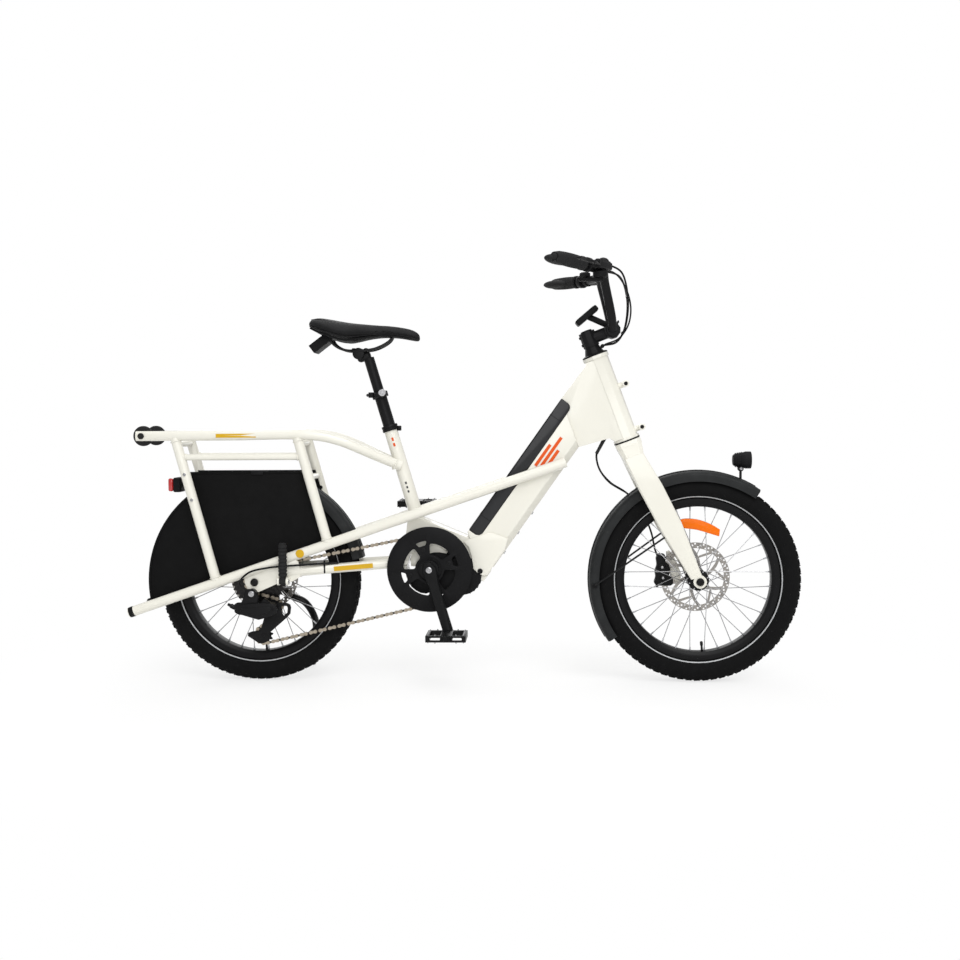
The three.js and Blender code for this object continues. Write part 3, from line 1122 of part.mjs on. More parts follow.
// Rear axle, brake and light
const freehubSleeve = rod(REAR_AXLE.clone().setY(-rearHubRight - GAP),
  REAR_AXLE.clone().setY(-hubEnd(REAR_HUB_WIDTH)),
  HUB_CAP_RADIUS, { sides: TURNED_SIDES });
piece('rear_axle', join(axle(REAR_AXLE, DROPOUT_OUTER + GAP, RIGHT), freehubSleeve,
  disc(REAR_AXLE, AXLE_HEAD_RADIUS, DROPOUT_OUTER + GAP + AXLE_HEAD / 2, AXLE_HEAD, ROUND_SIDES)), STEEL);

const CALIPER_THICK = 17;
const ROTOR_SLOT = 4;
function caliper(centre, rotorCentre, rotorY, long, tall, mount, stops) {
  const body = slab(centre.clone().setY(rotorY - RUN_GAP), long, CALIPER_THICK, tall);
  return cut(join(body, mount), disc(rotorCentre, ROTOR_RADIUS + 2 * RUN_GAP, rotorY, ROTOR_SLOT), ...stops);
}
const CALIPER_FORWARD = 80;
const CALIPER_RISE = 44;
const CALIPER_LONG = 32;
const CALIPER_TALL = 36;
const REAR_CALIPER = at(CALIPER_FORWARD, 0, TYRE_RADIUS + CALIPER_RISE);
const CALIPER_BOLT = 4;
const rearCaliperMount = rod(REAR_CALIPER.clone().add(at(CALIPER_BOLT, REAR_ROTOR_Y + ROTOR_SLOT,
  -CALIPER_BOLT / 2)),
  REAR_CALIPER.clone().add(at(CALIPER_BOLT, DROPOUT_Y - DROPOUT_THICK / 2 - GAP, -CALIPER_BOLT / 2)),
    CALIPER_BOLT, { sides: SMALL_SIDES });
piece('rear_caliper', caliper(REAR_CALIPER, REAR_AXLE, REAR_ROTOR_Y, CALIPER_LONG, CALIPER_TALL,
  rearCaliperMount, [chainstay(LEFT)]), BLACK);

const LIGHT_X = -219;
const LIGHT_LENGTH = 34;
const LIGHT_WIDTH = 58;
const LIGHT_HEIGHT = 38;
const LIGHT_BRACKET = 6;
const lightCross = uprightAt(REAR_UPRIGHT_X, REAR_UPRIGHT_FOOT_X, LIGHT_CROSS_Z, 0);
const lightBracketEnd = lightCross.x - CROSS_RADIUS / 2;
piece('rear_light', cut(join(
  slab(at(LIGHT_X, 0, LIGHT_CROSS_Z), LIGHT_LENGTH, LIGHT_WIDTH, LIGHT_HEIGHT),
  slab(at((LIGHT_X + lightBracketEnd) / 2, 0, LIGHT_CROSS_Z), lightBracketEnd - LIGHT_X, LIGHT_WIDTH / 2,
    LIGHT_BRACKET),
), rod(lightCross.clone().setY(-LIGHT_WIDTH), lightCross.clone().setY(LIGHT_WIDTH), CROSS_RADIUS + GAP,
  { sides: SMALL_SIDES })), RED_LENS);

// Side skirts that keep clothes out of the wheel, on pads that reach the uprights
const SKIRT_LIFT = 8; // lower edge above the middle of the lower rail
const SKIRT_ARC_FROM = 125;
const SKIRT_ARC_TO = 189;
const SKIRT_ARC_STEPS = 8;
const SKIRT_PAD_RADIUS = 5;
const UPRIGHTS = [[REAR_UPRIGHT_X, REAR_UPRIGHT_FOOT_X], [FRONT_UPRIGHT_X, FRONT_UPRIGHT_FOOT_X]];
const PAD_SHARES = [0.25, 0.77]; // places of the pads, down the upright from the skirt's top to the rail
function skirt(side) {
  const rearTop = uprightAt(REAR_UPRIGHT_X, REAR_UPRIGHT_FOOT_X, SKIRT_TOP_Z, side);
  const frontTop = uprightAt(FRONT_UPRIGHT_X, FRONT_UPRIGHT_FOOT_X, SKIRT_TOP_Z, side);
  const frontFoot = lowerRailAt(FRONT_UPRIGHT_FOOT_X, side);
  const arc = Array.from({ length: SKIRT_ARC_STEPS + 1 }, (_, step) => {
    const turn = radians(THREE.MathUtils.lerp(SKIRT_ARC_FROM, SKIRT_ARC_TO, step / SKIRT_ARC_STEPS));
    return [SKIRT_RADIUS * Math.cos(turn), TYRE_RADIUS + SKIRT_RADIUS * Math.sin(turn)];
  });
  const railEdge = (x) => [x, lowerRailAt(x, side).z + SKIRT_LIFT];
  const outline = [[rearTop.x, SKIRT_TOP_Z], ...arc,
    railEdge(-SKIRT_RADIUS * Math.cos(radians(SKIRT_ARC_TO - 180)) + OVERRUN),
    [frontFoot.x, frontFoot.z + SKIRT_LIFT], [frontTop.x, SKIRT_TOP_Z]];
  const pads = UPRIGHTS.flatMap(([topX, footX]) => PAD_SHARES.map((share) => {
    const footZ = lowerRailAt(footX, side).z;
    const seat = uprightAt(topX, footX, THREE.MathUtils.lerp(SKIRT_TOP_Z, footZ, share), side);
    return rod(seat.clone().setY(side * SKIRT_HALF), seat, SKIRT_PAD_RADIUS, { sides: SMALL_SIDES });
  }));
  return cut(join(sidePlate(outline, SKIRT_THICK, side * SKIRT_HALF), ...pads),
    upright(REAR_UPRIGHT_X, REAR_UPRIGHT_FOOT_X, side, RAIL_RADIUS + GAP),
    upright(FRONT_UPRIGHT_X, FRONT_UPRIGHT_FOOT_X, side, RAIL_RADIUS + GAP),
    crossTube(REAR_UPRIGHT_X, REAR_UPRIGHT_FOOT_X, LIGHT_CROSS_Z, CROSS_RADIUS + RUN_GAP),
    crossTube(FRONT_UPRIGHT_X, FRONT_UPRIGHT_FOOT_X, FENDER_CROSS_Z, CROSS_RADIUS + RUN_GAP));
}
for (const [name, side] of BOTH_SIDES) piece(`skirt_${name}`, skirt(side), SKIRT_BLACK);

// Fenders: a trough turned about the axle and kept between two angles
const FENDER_STEPS = 12;
const FENDER_TAB = 7;
const FENDER_BRIM = 9; // height of the rounded edge
const FENDER_CROWN_SHARE = 0.6;
function sector(centre, from, to) {
  const reach = FENDER_RADIUS * 3 / 2;
  const rim = Array.from({ length: FENDER_STEPS + 1 }, (_, step) => {
    const turn = radians(THREE.MathUtils.lerp(from, to, step / FENDER_STEPS));
    return [centre.x + reach * Math.cos(turn), centre.z + reach * Math.sin(turn)];
  });
  return sidePlate([[centre.x, centre.z], ...rim], 2 * FENDER_WIDTH, 0);
}

function fender(centre, from, to) {
  const half = FENDER_WIDTH / 2;
  const crown = half * FENDER_CROWN_SHARE;
  const outside = [[FENDER_RADIUS - FENDER_SKIRT, half], [FENDER_RADIUS - FENDER_BRIM, half],
    [FENDER_RADIUS, crown]];
  const inside = [[FENDER_RADIUS - FENDER_SKIRT, half - FENDER_WALL],
    [FENDER_RADIUS - FENDER_BRIM - FENDER_WALL / 2, half - FENDER_WALL],
      [FENDER_RADIUS - FENDER_WALL, crown - FENDER_WALL / 2]];
  const mirrored = (points) => points.map(([radius, y]) => [radius, -y]);
  const section = [...outside, ...mirrored(outside).reverse(), ...mirrored(inside),
    ...inside.slice().reverse(), outside[0]];
  return turned(section, centre).intersect(sector(centre, from, to));
}

// A stub that reaches from the fender towards a tube outside it
function fenderTab(centre, towards, radius) {
  const away = towards.clone().sub(centre).setY(0).normalize();
  return rod(centre.clone().addScaledVector(away, FENDER_RADIUS - 2 * FENDER_WALL), towards, radius,
    { sides: SMALL_SIDES });
}
const fenderCross = uprightAt(FRONT_UPRIGHT_X, FRONT_UPRIGHT_FOOT_X, FENDER_CROSS_Z, 0).setY(0);
const rearTie = lightCross.clone().setY(0);
piece('rear_fender', cut(join(
  fender(REAR_AXLE, REAR_FENDER_FROM, REAR_FENDER_TO),
  cut(fenderTab(REAR_AXLE, fenderCross, FENDER_TAB),
    disc(REAR_AXLE, FENDER_RADIUS - FENDER_WALL, 0, FENDER_WIDTH)),
  cut(fenderTab(REAR_AXLE, rearTie, FENDER_TAB),
    disc(REAR_AXLE, FENDER_RADIUS - FENDER_WALL, 0, FENDER_WIDTH)),
), crossTube(FRONT_UPRIGHT_X, FRONT_UPRIGHT_FOOT_X, FENDER_CROSS_Z, CROSS_RADIUS + GAP),
crossTube(REAR_UPRIGHT_X, REAR_UPRIGHT_FOOT_X, LIGHT_CROSS_Z, CROSS_RADIUS + GAP)), BLACK);

// Rear gear cable, from the derailleur's knuckle to the chainstay
const CABLE_RADIUS = 2.5;
const REAR_CABLE_ROUTE = [[-15.4, -84, 242], [-36, -89, 262], [-12, -92, 290], [40, -89, 303],
  [78, -81, 306], [120, -81, 309],
  [150, -73, 310], [215, -58, 312.5]];
piece('rear_cable', bentTube(REAR_CABLE_ROUTE.map((place) => at(...place)), CABLE_RADIUS,
  { sides: SMALL_SIDES - 3, steps: 18 }), BLACK);

// Rear derailleur: a body that shifts sideways, a sprung cage and two pulleys
const CAGE_PLATE = 2;
const CAGE_OUTER_Y = CHAIN_Y + RIGHT * (CHAIN_WIDTH / 2 + 3 * RUN_GAP + CAGE_PLATE / 2);
const CAGE_INNER_Y = CHAIN_Y - RIGHT * (CHAIN_WIDTH / 2 + 3 * RUN_GAP + CAGE_PLATE / 2);
const CAGE_ROOT = 14;
const CAGE_TIP = 11;
const PULLEY_BOLT = 2.5;
const BODY_RADIUS = 14;
const BODY_INNER = Math.abs(CAGE_OUTER_Y) + CAGE_PLATE / 2 + GAP;
const BODY_OUTER = 88;
const BODY_BLOCK_BACK = 24;
const BODY_BLOCK_UP = 16;
const knuckle = disc(GUIDE, BODY_RADIUS, RIGHT * (BODY_INNER + BODY_OUTER) / 2, BODY_OUTER - BODY_INNER,
  TURNED_SIDES);
const blockStart = GUIDE.clone().add(at(-BODY_BLOCK_BACK, 0, BODY_BLOCK_UP));
const block = bladeBetween(blockStart, GUIDE, BODY_RADIUS * 2 - 3 * RUN_GAP,
  BODY_OUTER - BODY_INNER - BODY_RADIUS,
  RIGHT * (BODY_INNER + BODY_OUTER + BODY_RADIUS) / 2);
piece('derailleur_body', join(knuckle, block), SATIN_BLACK);

function cagePlate(y) {
  const along = TENSION.clone().sub(GUIDE).normalize();
  const across = at(-along.z, 0, along.x);
  const outline = [[GUIDE, 1, CAGE_ROOT], [TENSION, 1, CAGE_TIP], [TENSION, -1, CAGE_TIP],
    [GUIDE, -1, CAGE_ROOT]].map(([centre, way, half]) => (
    centre.clone().addScaledVector(across, way * half)
  ));
  return join(sidePlate(sideView(outline), CAGE_PLATE, y),
    disc(GUIDE, CAGE_ROOT, y, CAGE_PLATE, TURNED_SIDES),
    disc(TENSION, CAGE_TIP, y, CAGE_PLATE, ROUND_SIDES));
}
const pulleyBolt = (centre, radius) => rod(centre.clone().setY(CAGE_OUTER_Y),
  centre.clone().setY(CAGE_INNER_Y), radius,
  { sides: SMALL_SIDES });
piece('derailleur_cage', join(cagePlate(CAGE_OUTER_Y), cagePlate(CAGE_INNER_Y),
  pulleyBolt(GUIDE, PULLEY_BOLT),
  pulleyBolt(TENSION, PULLEY_BOLT)), SATIN_BLACK);
for (const [name, centre] of [['guide_pulley', GUIDE], ['tension_pulley', TENSION]]) {
  piece(name, band(centre, PULLEY_BOLT + RUN_GAP, pitchRadius(PULLEY_TEETH) - CHAIN_CLEAR, CHAIN_Y,
    PULLEY_THICK, TURNED_SIDES), BLACK);
}

// Side stand on the left dropout
const STAND_BOSS = 14;
const STAND_RADIUS = 9.5;
const STAND_BOSS_INNER = DROPOUT_OUTER + PEG_EAR;
const STAND_BOSS_THICK = 18;
const STAND_FOOT_RADIUS = 15;
const STAND_FOOT_HEIGHT = 9;
const STAND_LENGTH = 250; // height that the leg spans, with a cut at the floor
const STAND_SPREAD = 100;
const STAND_REACH = 100;
const STAND_ROOT_Y = 90;
// Forward, outward and down from the pivot, as shares of the leg's sizes
const STAND_ROUTE_SHARES = [[0, 0, 0], [0.36, 0.02, 0.156], [0.75, 0.04, 0.232], [1, 0.16, 0.424],
  [0.9, 0.58, 0.72], [0.7, 1, 1]];
const standRoute = STAND_ROUTE_SHARES.map(([forward, out, down]) => at(
  STAND_PIVOT_X + forward * STAND_REACH, STAND_ROOT_Y + out * STAND_SPREAD,
    STAND_PIVOT_Z - down * STAND_LENGTH,
));
const standFoot = standRoute[standRoute.length - 1].clone().setZ(0);
const standPivot = at(STAND_PIVOT_X, 0, STAND_PIVOT_Z);
piece('kickstand', cut(join(
  rod(standPivot.clone().setY(DROPOUT_Y - DROPOUT_THICK / 2),
    standPivot.clone().setY(STAND_BOSS_INNER + PEG_EAR), STAND_PIN,
    { sides: SMALL_SIDES }),
  disc(standPivot, STAND_BOSS, STAND_BOSS_INNER + STAND_BOSS_THICK / 2, STAND_BOSS_THICK, ROUND_SIDES),
  bentTube(standRoute, STAND_RADIUS, { sides: SMALL_SIDES, steps: 12 }),
  rod(standFoot, standFoot.clone().add(at(0, 0, STAND_FOOT_HEIGHT)), STAND_FOOT_RADIUS),
), slab(at(0, 0, -TYRE_RADIUS), 2 * WHEELBASE, WHEELBASE, 2 * TYRE_RADIUS)), BLACK);

// Fork: crown, legs and dropouts on one steerer
// Crown: up, forward, half depth and half width, as shares of its height
const CROWN_STATION_SHARES = [[-0.011, 0, 0.359, 0.359], [-0.13, 0, 0.359, 0.37],
  [-0.457, -0.011, 0.283, 0.652],
  [-1.13, 0.087, 0.293, 0.717]];
// Leg: down, rear and front as shares of the fork's length, then inner face and thickness as shares of
// their change
const LEG_STATION_SHARES = [[0.101, -0.068, 0.0605, 0, 0], [0.327, -0.048, 0.1008, 0.18, 0],
  [0.605, -0.01, 0.131, 0.55, 0.5],
  [0.967, 0.0605, 0.1335, 1, 1]];
const FORK_LENGTH = HEAD_FOOT.clone().sub(FRONT_AXLE).dot(HEAD_AXIS);
const STEERER_TOP = HEAD_LENGTH + STEM_HEIGHT + STEM_CLAMP_HALF;
const crown = (grow = 0) => loft(CROWN_STATION_SHARES.map(([up, forward, halfForward,
  halfAcross]) => softRectangle(
  headPoint(up * CROWN_HEIGHT - grow, forward * CROWN_HEIGHT), HEAD_FORWARD, CROSSWAYS,
  halfForward * CROWN_HEIGHT + grow, halfAcross * CROWN_HEIGHT + grow,
)));
const forkLeg = (side, grow = 0) => join(loft(LEG_STATION_SHARES.map(([down, rear, front, splay,
  thinning]) => {
  const inner = THREE.MathUtils.lerp(LEG_INNER, FRONT_HUB_WIDTH / 2, splay);
  const thick = THREE.MathUtils.lerp(LEG_THICK, LEG_TIP_THICK, thinning);
  const middle = headPoint(-down * FORK_LENGTH, (rear + front) * FORK_LENGTH / 2, side * (inner + thick / 2));
  return softRectangle(middle, HEAD_FORWARD, CROSSWAYS, (front - rear) * FORK_LENGTH / 2 + grow,
    thick / 2 + grow);
})), disc(FRONT_AXLE, DROPOUT_RADIUS + grow, side * (FRONT_HUB_WIDTH / 2 + GAP + LEG_TIP_THICK / 2),
  LEG_TIP_THICK + 2 * grow, TURNED_SIDES));
const frontAxleHole = rod(FRONT_AXLE.clone().setY(-FRONT_HUB_WIDTH),
  FRONT_AXLE.clone().setY(FRONT_HUB_WIDTH), AXLE_RADIUS + GAP);
piece('fork', cut(join(crown(), forkLeg(RIGHT), forkLeg(LEFT),
  rod(headPoint(-OVERRUN, 0), headPoint(STEERER_TOP, 0), STEERER_RADIUS)),
  frontAxleHole, disc(FRONT_AXLE, TYRE_RADIUS + 2 * FENDER_SKIRT / 3, 0, 2 * LEG_INNER)), CREAM);
piece('front_axle', join(axle(FRONT_AXLE, FRONT_HUB_WIDTH / 2 + LEG_TIP_THICK + 2 * GAP, RIGHT),
  disc(FRONT_AXLE, AXLE_HEAD_RADIUS, FRONT_HUB_WIDTH / 2 + LEG_TIP_THICK + 2 * GAP + AXLE_HEAD / 2,
    AXLE_HEAD, ROUND_SIDES)), STEEL);

const CALIPER_DOWN = [318, 388];
const CALIPER_BACK = [-50, -8];
const CALIPER_TAB_DOWN = [330, 380];
const calPlate = ([top, foot], [back, front], thick, y) => sidePlate(sideView([
  headPoint(-top, back), headPoint(-top, front), headPoint(-foot, front), headPoint(-foot, back),
]), thick, y);
const FRONT_TAB_THICK = 6;
piece('front_caliper', cut(join(
  calPlate(CALIPER_DOWN, CALIPER_BACK, CALIPER_THICK, FRONT_ROTOR_Y - RUN_GAP),
  calPlate(CALIPER_TAB_DOWN, [CALIPER_BACK[0] / 2, LEG_THICK], FRONT_TAB_THICK,
    FRONT_ROTOR_Y + CALIPER_THICK / 2 + FRONT_TAB_THICK / 2 - RUN_GAP),
  calPlate(CALIPER_TAB_DOWN, [CALIPER_BACK[0] / 2, LEG_THICK], FRONT_TAB_THICK + LEG_TIP_THICK / 3,
    LEG_INNER + LEG_TIP_THICK),
), disc(FRONT_AXLE, ROTOR_RADIUS + 2 * RUN_GAP, FRONT_ROTOR_Y, ROTOR_SLOT), forkLeg(LEFT, GAP),
disc(FRONT_AXLE, RIM_INNER / 3, 0, FRONT_HUB_WIDTH)), BLACK);

// Front fender with its stays and headlight
const FENDER_STAY_RADIUS = 2.5;
const FENDER_STAY_TURN = 183;
const STAY_END_DOWN = 255;
const fenderStay = (side) => rod(
  at(FRONT_AXLE.x + (FENDER_RADIUS - FENDER_SKIRT / 2) * Math.cos(radians(FENDER_STAY_TURN)),
    side * FENDER_WIDTH / 2,
    FRONT_AXLE.z + (FENDER_RADIUS - FENDER_SKIRT / 2) * Math.sin(radians(FENDER_STAY_TURN))),
  headPoint(-STAY_END_DOWN, LEG_THICK, side * (LEG_INNER + LEG_TIP_THICK)), FENDER_STAY_RADIUS,
    { sides: SMALL_SIDES });
const fenderStop = disc(FRONT_AXLE, FENDER_RADIUS - FENDER_WALL, 0, FENDER_WIDTH - 2 * FENDER_WALL);
piece('front_fender', cut(join(
  fender(FRONT_AXLE, FRONT_FENDER_FROM, FRONT_FENDER_TO),
  cut(fenderTab(FRONT_AXLE, headPoint(-CROWN_HEIGHT, 0), FENDER_TAB), fenderStop),
  fenderStay(RIGHT), fenderStay(LEFT),
), forkLeg(RIGHT, GAP), forkLeg(LEFT, GAP), crown(GAP)), BLACK);

const LAMP_X = 1272;
const LAMP_Z = 570;
const LAMP_RADIUS = 22;
const LAMP_LENGTH = 46;
const LAMP_REAR_SHARE = 0.7;
const LAMP_BRACKET_X = 1246;
const LAMP_BRACKET_WIDTH = 14;
const LAMP_BRACKET_THICK = 6;
const LAMP_BRACKET_FOOT_Z = 505;
piece('headlight', cut(join(
  rod(at(LAMP_X - LAMP_LENGTH, 0, LAMP_Z), at(LAMP_X - LAMP_LENGTH / 3, 0, LAMP_Z),
    LAMP_RADIUS * LAMP_REAR_SHARE, { sides: TURNED_SIDES, tip: LAMP_RADIUS }),
  rod(at(LAMP_X - LAMP_LENGTH / 3, 0, LAMP_Z), at(LAMP_X, 0, LAMP_Z), LAMP_RADIUS, { sides: TURNED_SIDES }),
  slab(at(LAMP_BRACKET_X, 0, (LAMP_Z + LAMP_BRACKET_FOOT_Z) / 2), LAMP_BRACKET_THICK, LAMP_BRACKET_WIDTH,
    LAMP_Z - LAMP_BRACKET_FOOT_Z),
), turned([[0, -FENDER_WIDTH], [FENDER_RADIUS + GAP, -FENDER_WIDTH], [FENDER_RADIUS + GAP, FENDER_WIDTH],
  [0, FENDER_WIDTH]], FRONT_AXLE)), BLACK);

// Stem, handlebar, grips, levers and display
const STEM_EXTENSION = 16;
const STEM_BAR_HALF = 25;
const stemCentre = headPoint(HEAD_LENGTH + STEM_HEIGHT, 0);
const barCentre = headPoint(HEAD_LENGTH + STEM_HEIGHT, STEM_REACH);
const steererFit = rod(headPoint(HEAD_LENGTH - OVERRUN, 0), headPoint(STEERER_TOP, 0),
  STEERER_RADIUS + GAP, { past: OVERRUN });
const barAcross = (half, radius, sides = ROUND_SIDES) => rod(barCentre.clone().setY(-half),
  barCentre.clone().setY(half), radius, { sides });
piece('stem', cut(join(
  rod(headPoint(HEAD_LENGTH + RUN_GAP, 0),
    headPoint(HEAD_LENGTH + STEM_HEIGHT - STEM_CLAMP_HALF + RUN_GAP, 0), SPACER_CONE, { tip: SPACER_RADIUS }),
  rod(headPoint(HEAD_LENGTH + STEM_HEIGHT - STEM_CLAMP_HALF, 0),
    headPoint(HEAD_LENGTH + STEM_HEIGHT + STEM_CLAMP_HALF, 0), STEM_CLAMP_RADIUS),
  rod(stemCentre, barCentre, STEM_EXTENSION),
  barAcross(STEM_BAR_HALF, STEM_CLAMP_RADIUS),
), steererFit, barAcross(STEM_BAR_HALF + OVERRUN, BAR_CLAMP_RADIUS + GAP)), BLACK);

const BAR_CLAMP_LIP = 4;
const BAR_RISE_Y = BAR_CLAMP_HALF + BAR_CLAMP_LIP;
const barPoint = (side, place) => at(place[0], side * place[1], place[2]);
const BAR_TOP = [BAR_TOP_X, BAR_TOP_Y, BAR_TOP_Z];
const BAR_GRIP = [BAR_GRIP_X, BAR_GRIP_Y, BAR_GRIP_Z];
const BAR_END = [BAR_END_X, BAR_END_Y, BAR_END_Z];
const gripAxis = (side) => barPoint(side, BAR_END).sub(barPoint(side, BAR_GRIP)).normalize();
const gripPoint = (side, along) => barPoint(side, BAR_GRIP).addScaledVector(gripAxis(side), along);
const BAR_STRAIGHT = 40; // straight run inside the grip
// Bends of the bar, as shares of its rise: past its top, below its top, and above its clamp
const BAR_BEND_SHARES = [[0.014, 0.071, 0.007], [0.057, -0.1, -0.186], [-0.029, 0.093, 0.229]];
const BAR_RISE = BAR_TOP_Z - barCentre.z;
function barRoute(side) {
  const corners = [BAR_TOP, BAR_TOP, [barCentre.x, BAR_RISE_Y, barCentre.z]];
  const bends = BAR_BEND_SHARES.map((shares, bend) => (
    barPoint(side, corners[bend].map((place, axis) => place + shares[axis] * BAR_RISE))
  ));
  return [gripPoint(side, 0), gripPoint(side, -BAR_STRAIGHT), ...bends,
    barCentre.clone().setY(side * BAR_CLAMP_HALF)];
}
const CONTROL_BACK = 22; // clamp of the brake lever inside the grip
const clampAt = (side) => gripPoint(side, -CONTROL_BACK);
const barNormal = (side) => gripAxis(side).cross(at(0, 0, 1)).multiplyScalar(side).normalize();
const LEVER_REACH = 38;
const LEVER_PIVOT = 4;
const LEVER_BODY = 15;
const RESERVOIR_LENGTH = 66;
const leverPivot = (side) => clampAt(side).addScaledVector(barNormal(side),
  LEVER_REACH).addScaledVector(gripAxis(side), LEVER_BODY)
  .add(at(0, 0, -LEVER_PIVOT));
const leverUp = at(0, 0, 1);
function brakeBody(side) {
  const clamp = clampAt(side);
  const ring = rod(clamp.clone().addScaledVector(gripAxis(side), -LEVER_BODY / 2),
    clamp.clone().addScaledVector(gripAxis(side), LEVER_BODY / 2),
    BAR_RADIUS + 2 * LEVER_PIVOT);
  const middle = clamp.clone().addScaledVector(barNormal(side), LEVER_REACH * 2 / 3);
  const tank = loft([-1, 1].map((way) => softRectangle(
    middle.clone().addScaledVector(gripAxis(side), way * RESERVOIR_LENGTH / 2 - RESERVOIR_LENGTH * 3 / 7),
      barNormal(side), leverUp,
    LEVER_BODY * 2 / 3, LEVER_BODY * 2 / 3)));
  const neck = rod(clamp, middle, LEVER_BODY * 2 / 3, { sides: SMALL_SIDES });
  const pivot = leverPivot(side);
  const pad = rod(pivot.clone().add(at(0, 0, LEVER_PIVOT - 2 * GAP)),
    pivot.clone().add(at(0, 0, LEVER_BODY - LEVER_PIVOT)), LEVER_PIVOT * 2, { sides: SMALL_SIDES });
  const padLink = rod(pivot.clone().add(at(0, 0, LEVER_BODY * 2 / 3)),
    middle.clone().add(at(0, 0, LEVER_PIVOT)), LEVER_PIVOT, { sides: SMALL_SIDES });
  return join(ring, tank, neck, pad, padLink);
}
const SHIFTER_IN = 30;
const SHIFTER_DROP = 20;
const SHIFTER_RADIUS = 18;
const SHIFTER_HALF = 9;
const shifterCentre = clampAt(RIGHT).addScaledVector(gripAxis(RIGHT),
  -SHIFTER_IN).addScaledVector(barNormal(RIGHT), SHIFTER_RADIUS)
  .add(at(0, 0, -SHIFTER_DROP));
const shifterBody = join(
  rod(shifterCentre.clone().add(at(0, 0, -SHIFTER_HALF)),
    shifterCentre.clone().add(at(0, 0, SHIFTER_HALF)), SHIFTER_RADIUS),
  rod(shifterCentre, clampAt(RIGHT).addScaledVector(gripAxis(RIGHT), -SHIFTER_IN), SHIFTER_HALF,
    { sides: SMALL_SIDES }),
  rod(clampAt(RIGHT).addScaledVector(gripAxis(RIGHT), -SHIFTER_IN - SHIFTER_HALF),
    clampAt(RIGHT).addScaledVector(gripAxis(RIGHT), SHIFTER_HALF - SHIFTER_IN),
    BAR_RADIUS + LEVER_PIVOT),
);
const barTube = (side) => rod(gripPoint(side, -OVERRUN), gripPoint(side, GRIP_LENGTH - OVERRUN),
  BAR_RADIUS, { sides: BAR_SIDES });
piece('handlebar', join(
  barAcross(BAR_CLAMP_HALF, BAR_CLAMP_RADIUS),
  ...[RIGHT, LEFT].map((side) => join(bentTube(barRoute(side), BAR_RADIUS,
    { sides: BAR_SIDES, steps: 12 }), barTube(side), brakeBody(side))),
  shifterBody,
), BLACK);
for (const [name, side] of BOTH_SIDES) {
  piece(`grip_${name}`, cut(rod(gripPoint(side, RUN_GAP), gripPoint(side, GRIP_LENGTH), GRIP_RADIUS),
    rod(gripPoint(side, -OVERRUN), gripPoint(side, GRIP_LENGTH - OVERRUN + GAP), BAR_RADIUS + GAP,
      { sides: BAR_SIDES })), RUBBER);
}
const BLADE_LENGTH = 104;
// Lever blade: reach, forward and half width, as shares of its length
const BLADE_SHARES = [[-0.058, 0.01, 0.048], [0.077, 0.019, 0.058], [0.327, 0.115, 0.058],
  [0.673, 0.087, 0.048],
  [1, 0.125, 0.058], [1.048, 0.135, 0.029]];
for (const [name, side] of BOTH_SIDES) {
  const pivot = leverPivot(side);
  const [along, out] = [gripAxis(side), barNormal(side)];
  const rings = BLADE_SHARES.map(([reach, forward, half]) => softRectangle(
    pivot.clone().addScaledVector(along, reach * BLADE_LENGTH).addScaledVector(out, forward * BLADE_LENGTH),
    out, leverUp, half * BLADE_LENGTH, LEVER_PIVOT - 3 * GAP,
  ));
  piece(`brake_lever_${name}`, loft(rings), BLACK);
}
const THUMB_LENGTH = 42;
const THUMB_SHARES = [[0, 0.19], [0.5, 0.167], [1, 0.214]]; // reach and half width
const thumbRoot = shifterCentre.clone().add(at(0, 0, -SHIFTER_HALF - LEVER_PIVOT - GAP * 2));
piece('shift_lever', join(
  rod(thumbRoot.clone().add(at(0, 0, -LEVER_PIVOT)), thumbRoot.clone().add(at(0, 0, LEVER_PIVOT)),
    SHIFTER_RADIUS / 2),
  loft(THUMB_SHARES.map(([reach, half]) => softRectangle(
    thumbRoot.clone().addScaledVector(gripAxis(RIGHT), reach * THUMB_LENGTH * 2 / 3)
      .addScaledVector(barNormal(RIGHT), -reach * THUMB_LENGTH),
    leverUp, gripAxis(RIGHT), LEVER_PIVOT, half * THUMB_LENGTH,
  ))),
), BLACK);

const DISPLAY_BACK = 65; // display behind the middle of the bar
const DISPLAY_RISE = 38;
const DISPLAY_CENTRE = barCentre.clone().add(at(-DISPLAY_BACK, 0, DISPLAY_RISE));
const DISPLAY_TILT = 40;
const displayAlong = at(Math.cos(radians(DISPLAY_TILT)), 0, Math.sin(radians(DISPLAY_TILT)));
const displayUp = at(-displayAlong.z, 0, displayAlong.x);
const DISPLAY_ARM = 9;
const displayPlate = loft([-1, 1].map((way) => softRectangle(
  DISPLAY_CENTRE.clone().addScaledVector(displayUp, way * DISPLAY_THICK / 2), displayAlong, CROSSWAYS,
    DISPLAY_LENGTH / 2, DISPLAY_WIDTH / 2)));
const displayFoot = barCentre.clone().addScaledVector(HEAD_AXIS, STEM_CLAMP_RADIUS / 2);
piece('display', cut(join(
  displayPlate,
  rod(DISPLAY_CENTRE, displayFoot, DISPLAY_ARM, { sides: SMALL_SIDES }),
), barAcross(STEM_BAR_HALF + OVERRUN, STEM_CLAMP_RADIUS + GAP),
  rod(stemCentre, barCentre, STEM_EXTENSION + GAP),
rod(headPoint(HEAD_LENGTH + STEM_HEIGHT - STEM_CLAMP_HALF, 0),
  headPoint(HEAD_LENGTH + STEM_HEIGHT + STEM_CLAMP_HALF, 0), STEM_CLAMP_RADIUS + GAP,
  { past: GAP })), BLACK);

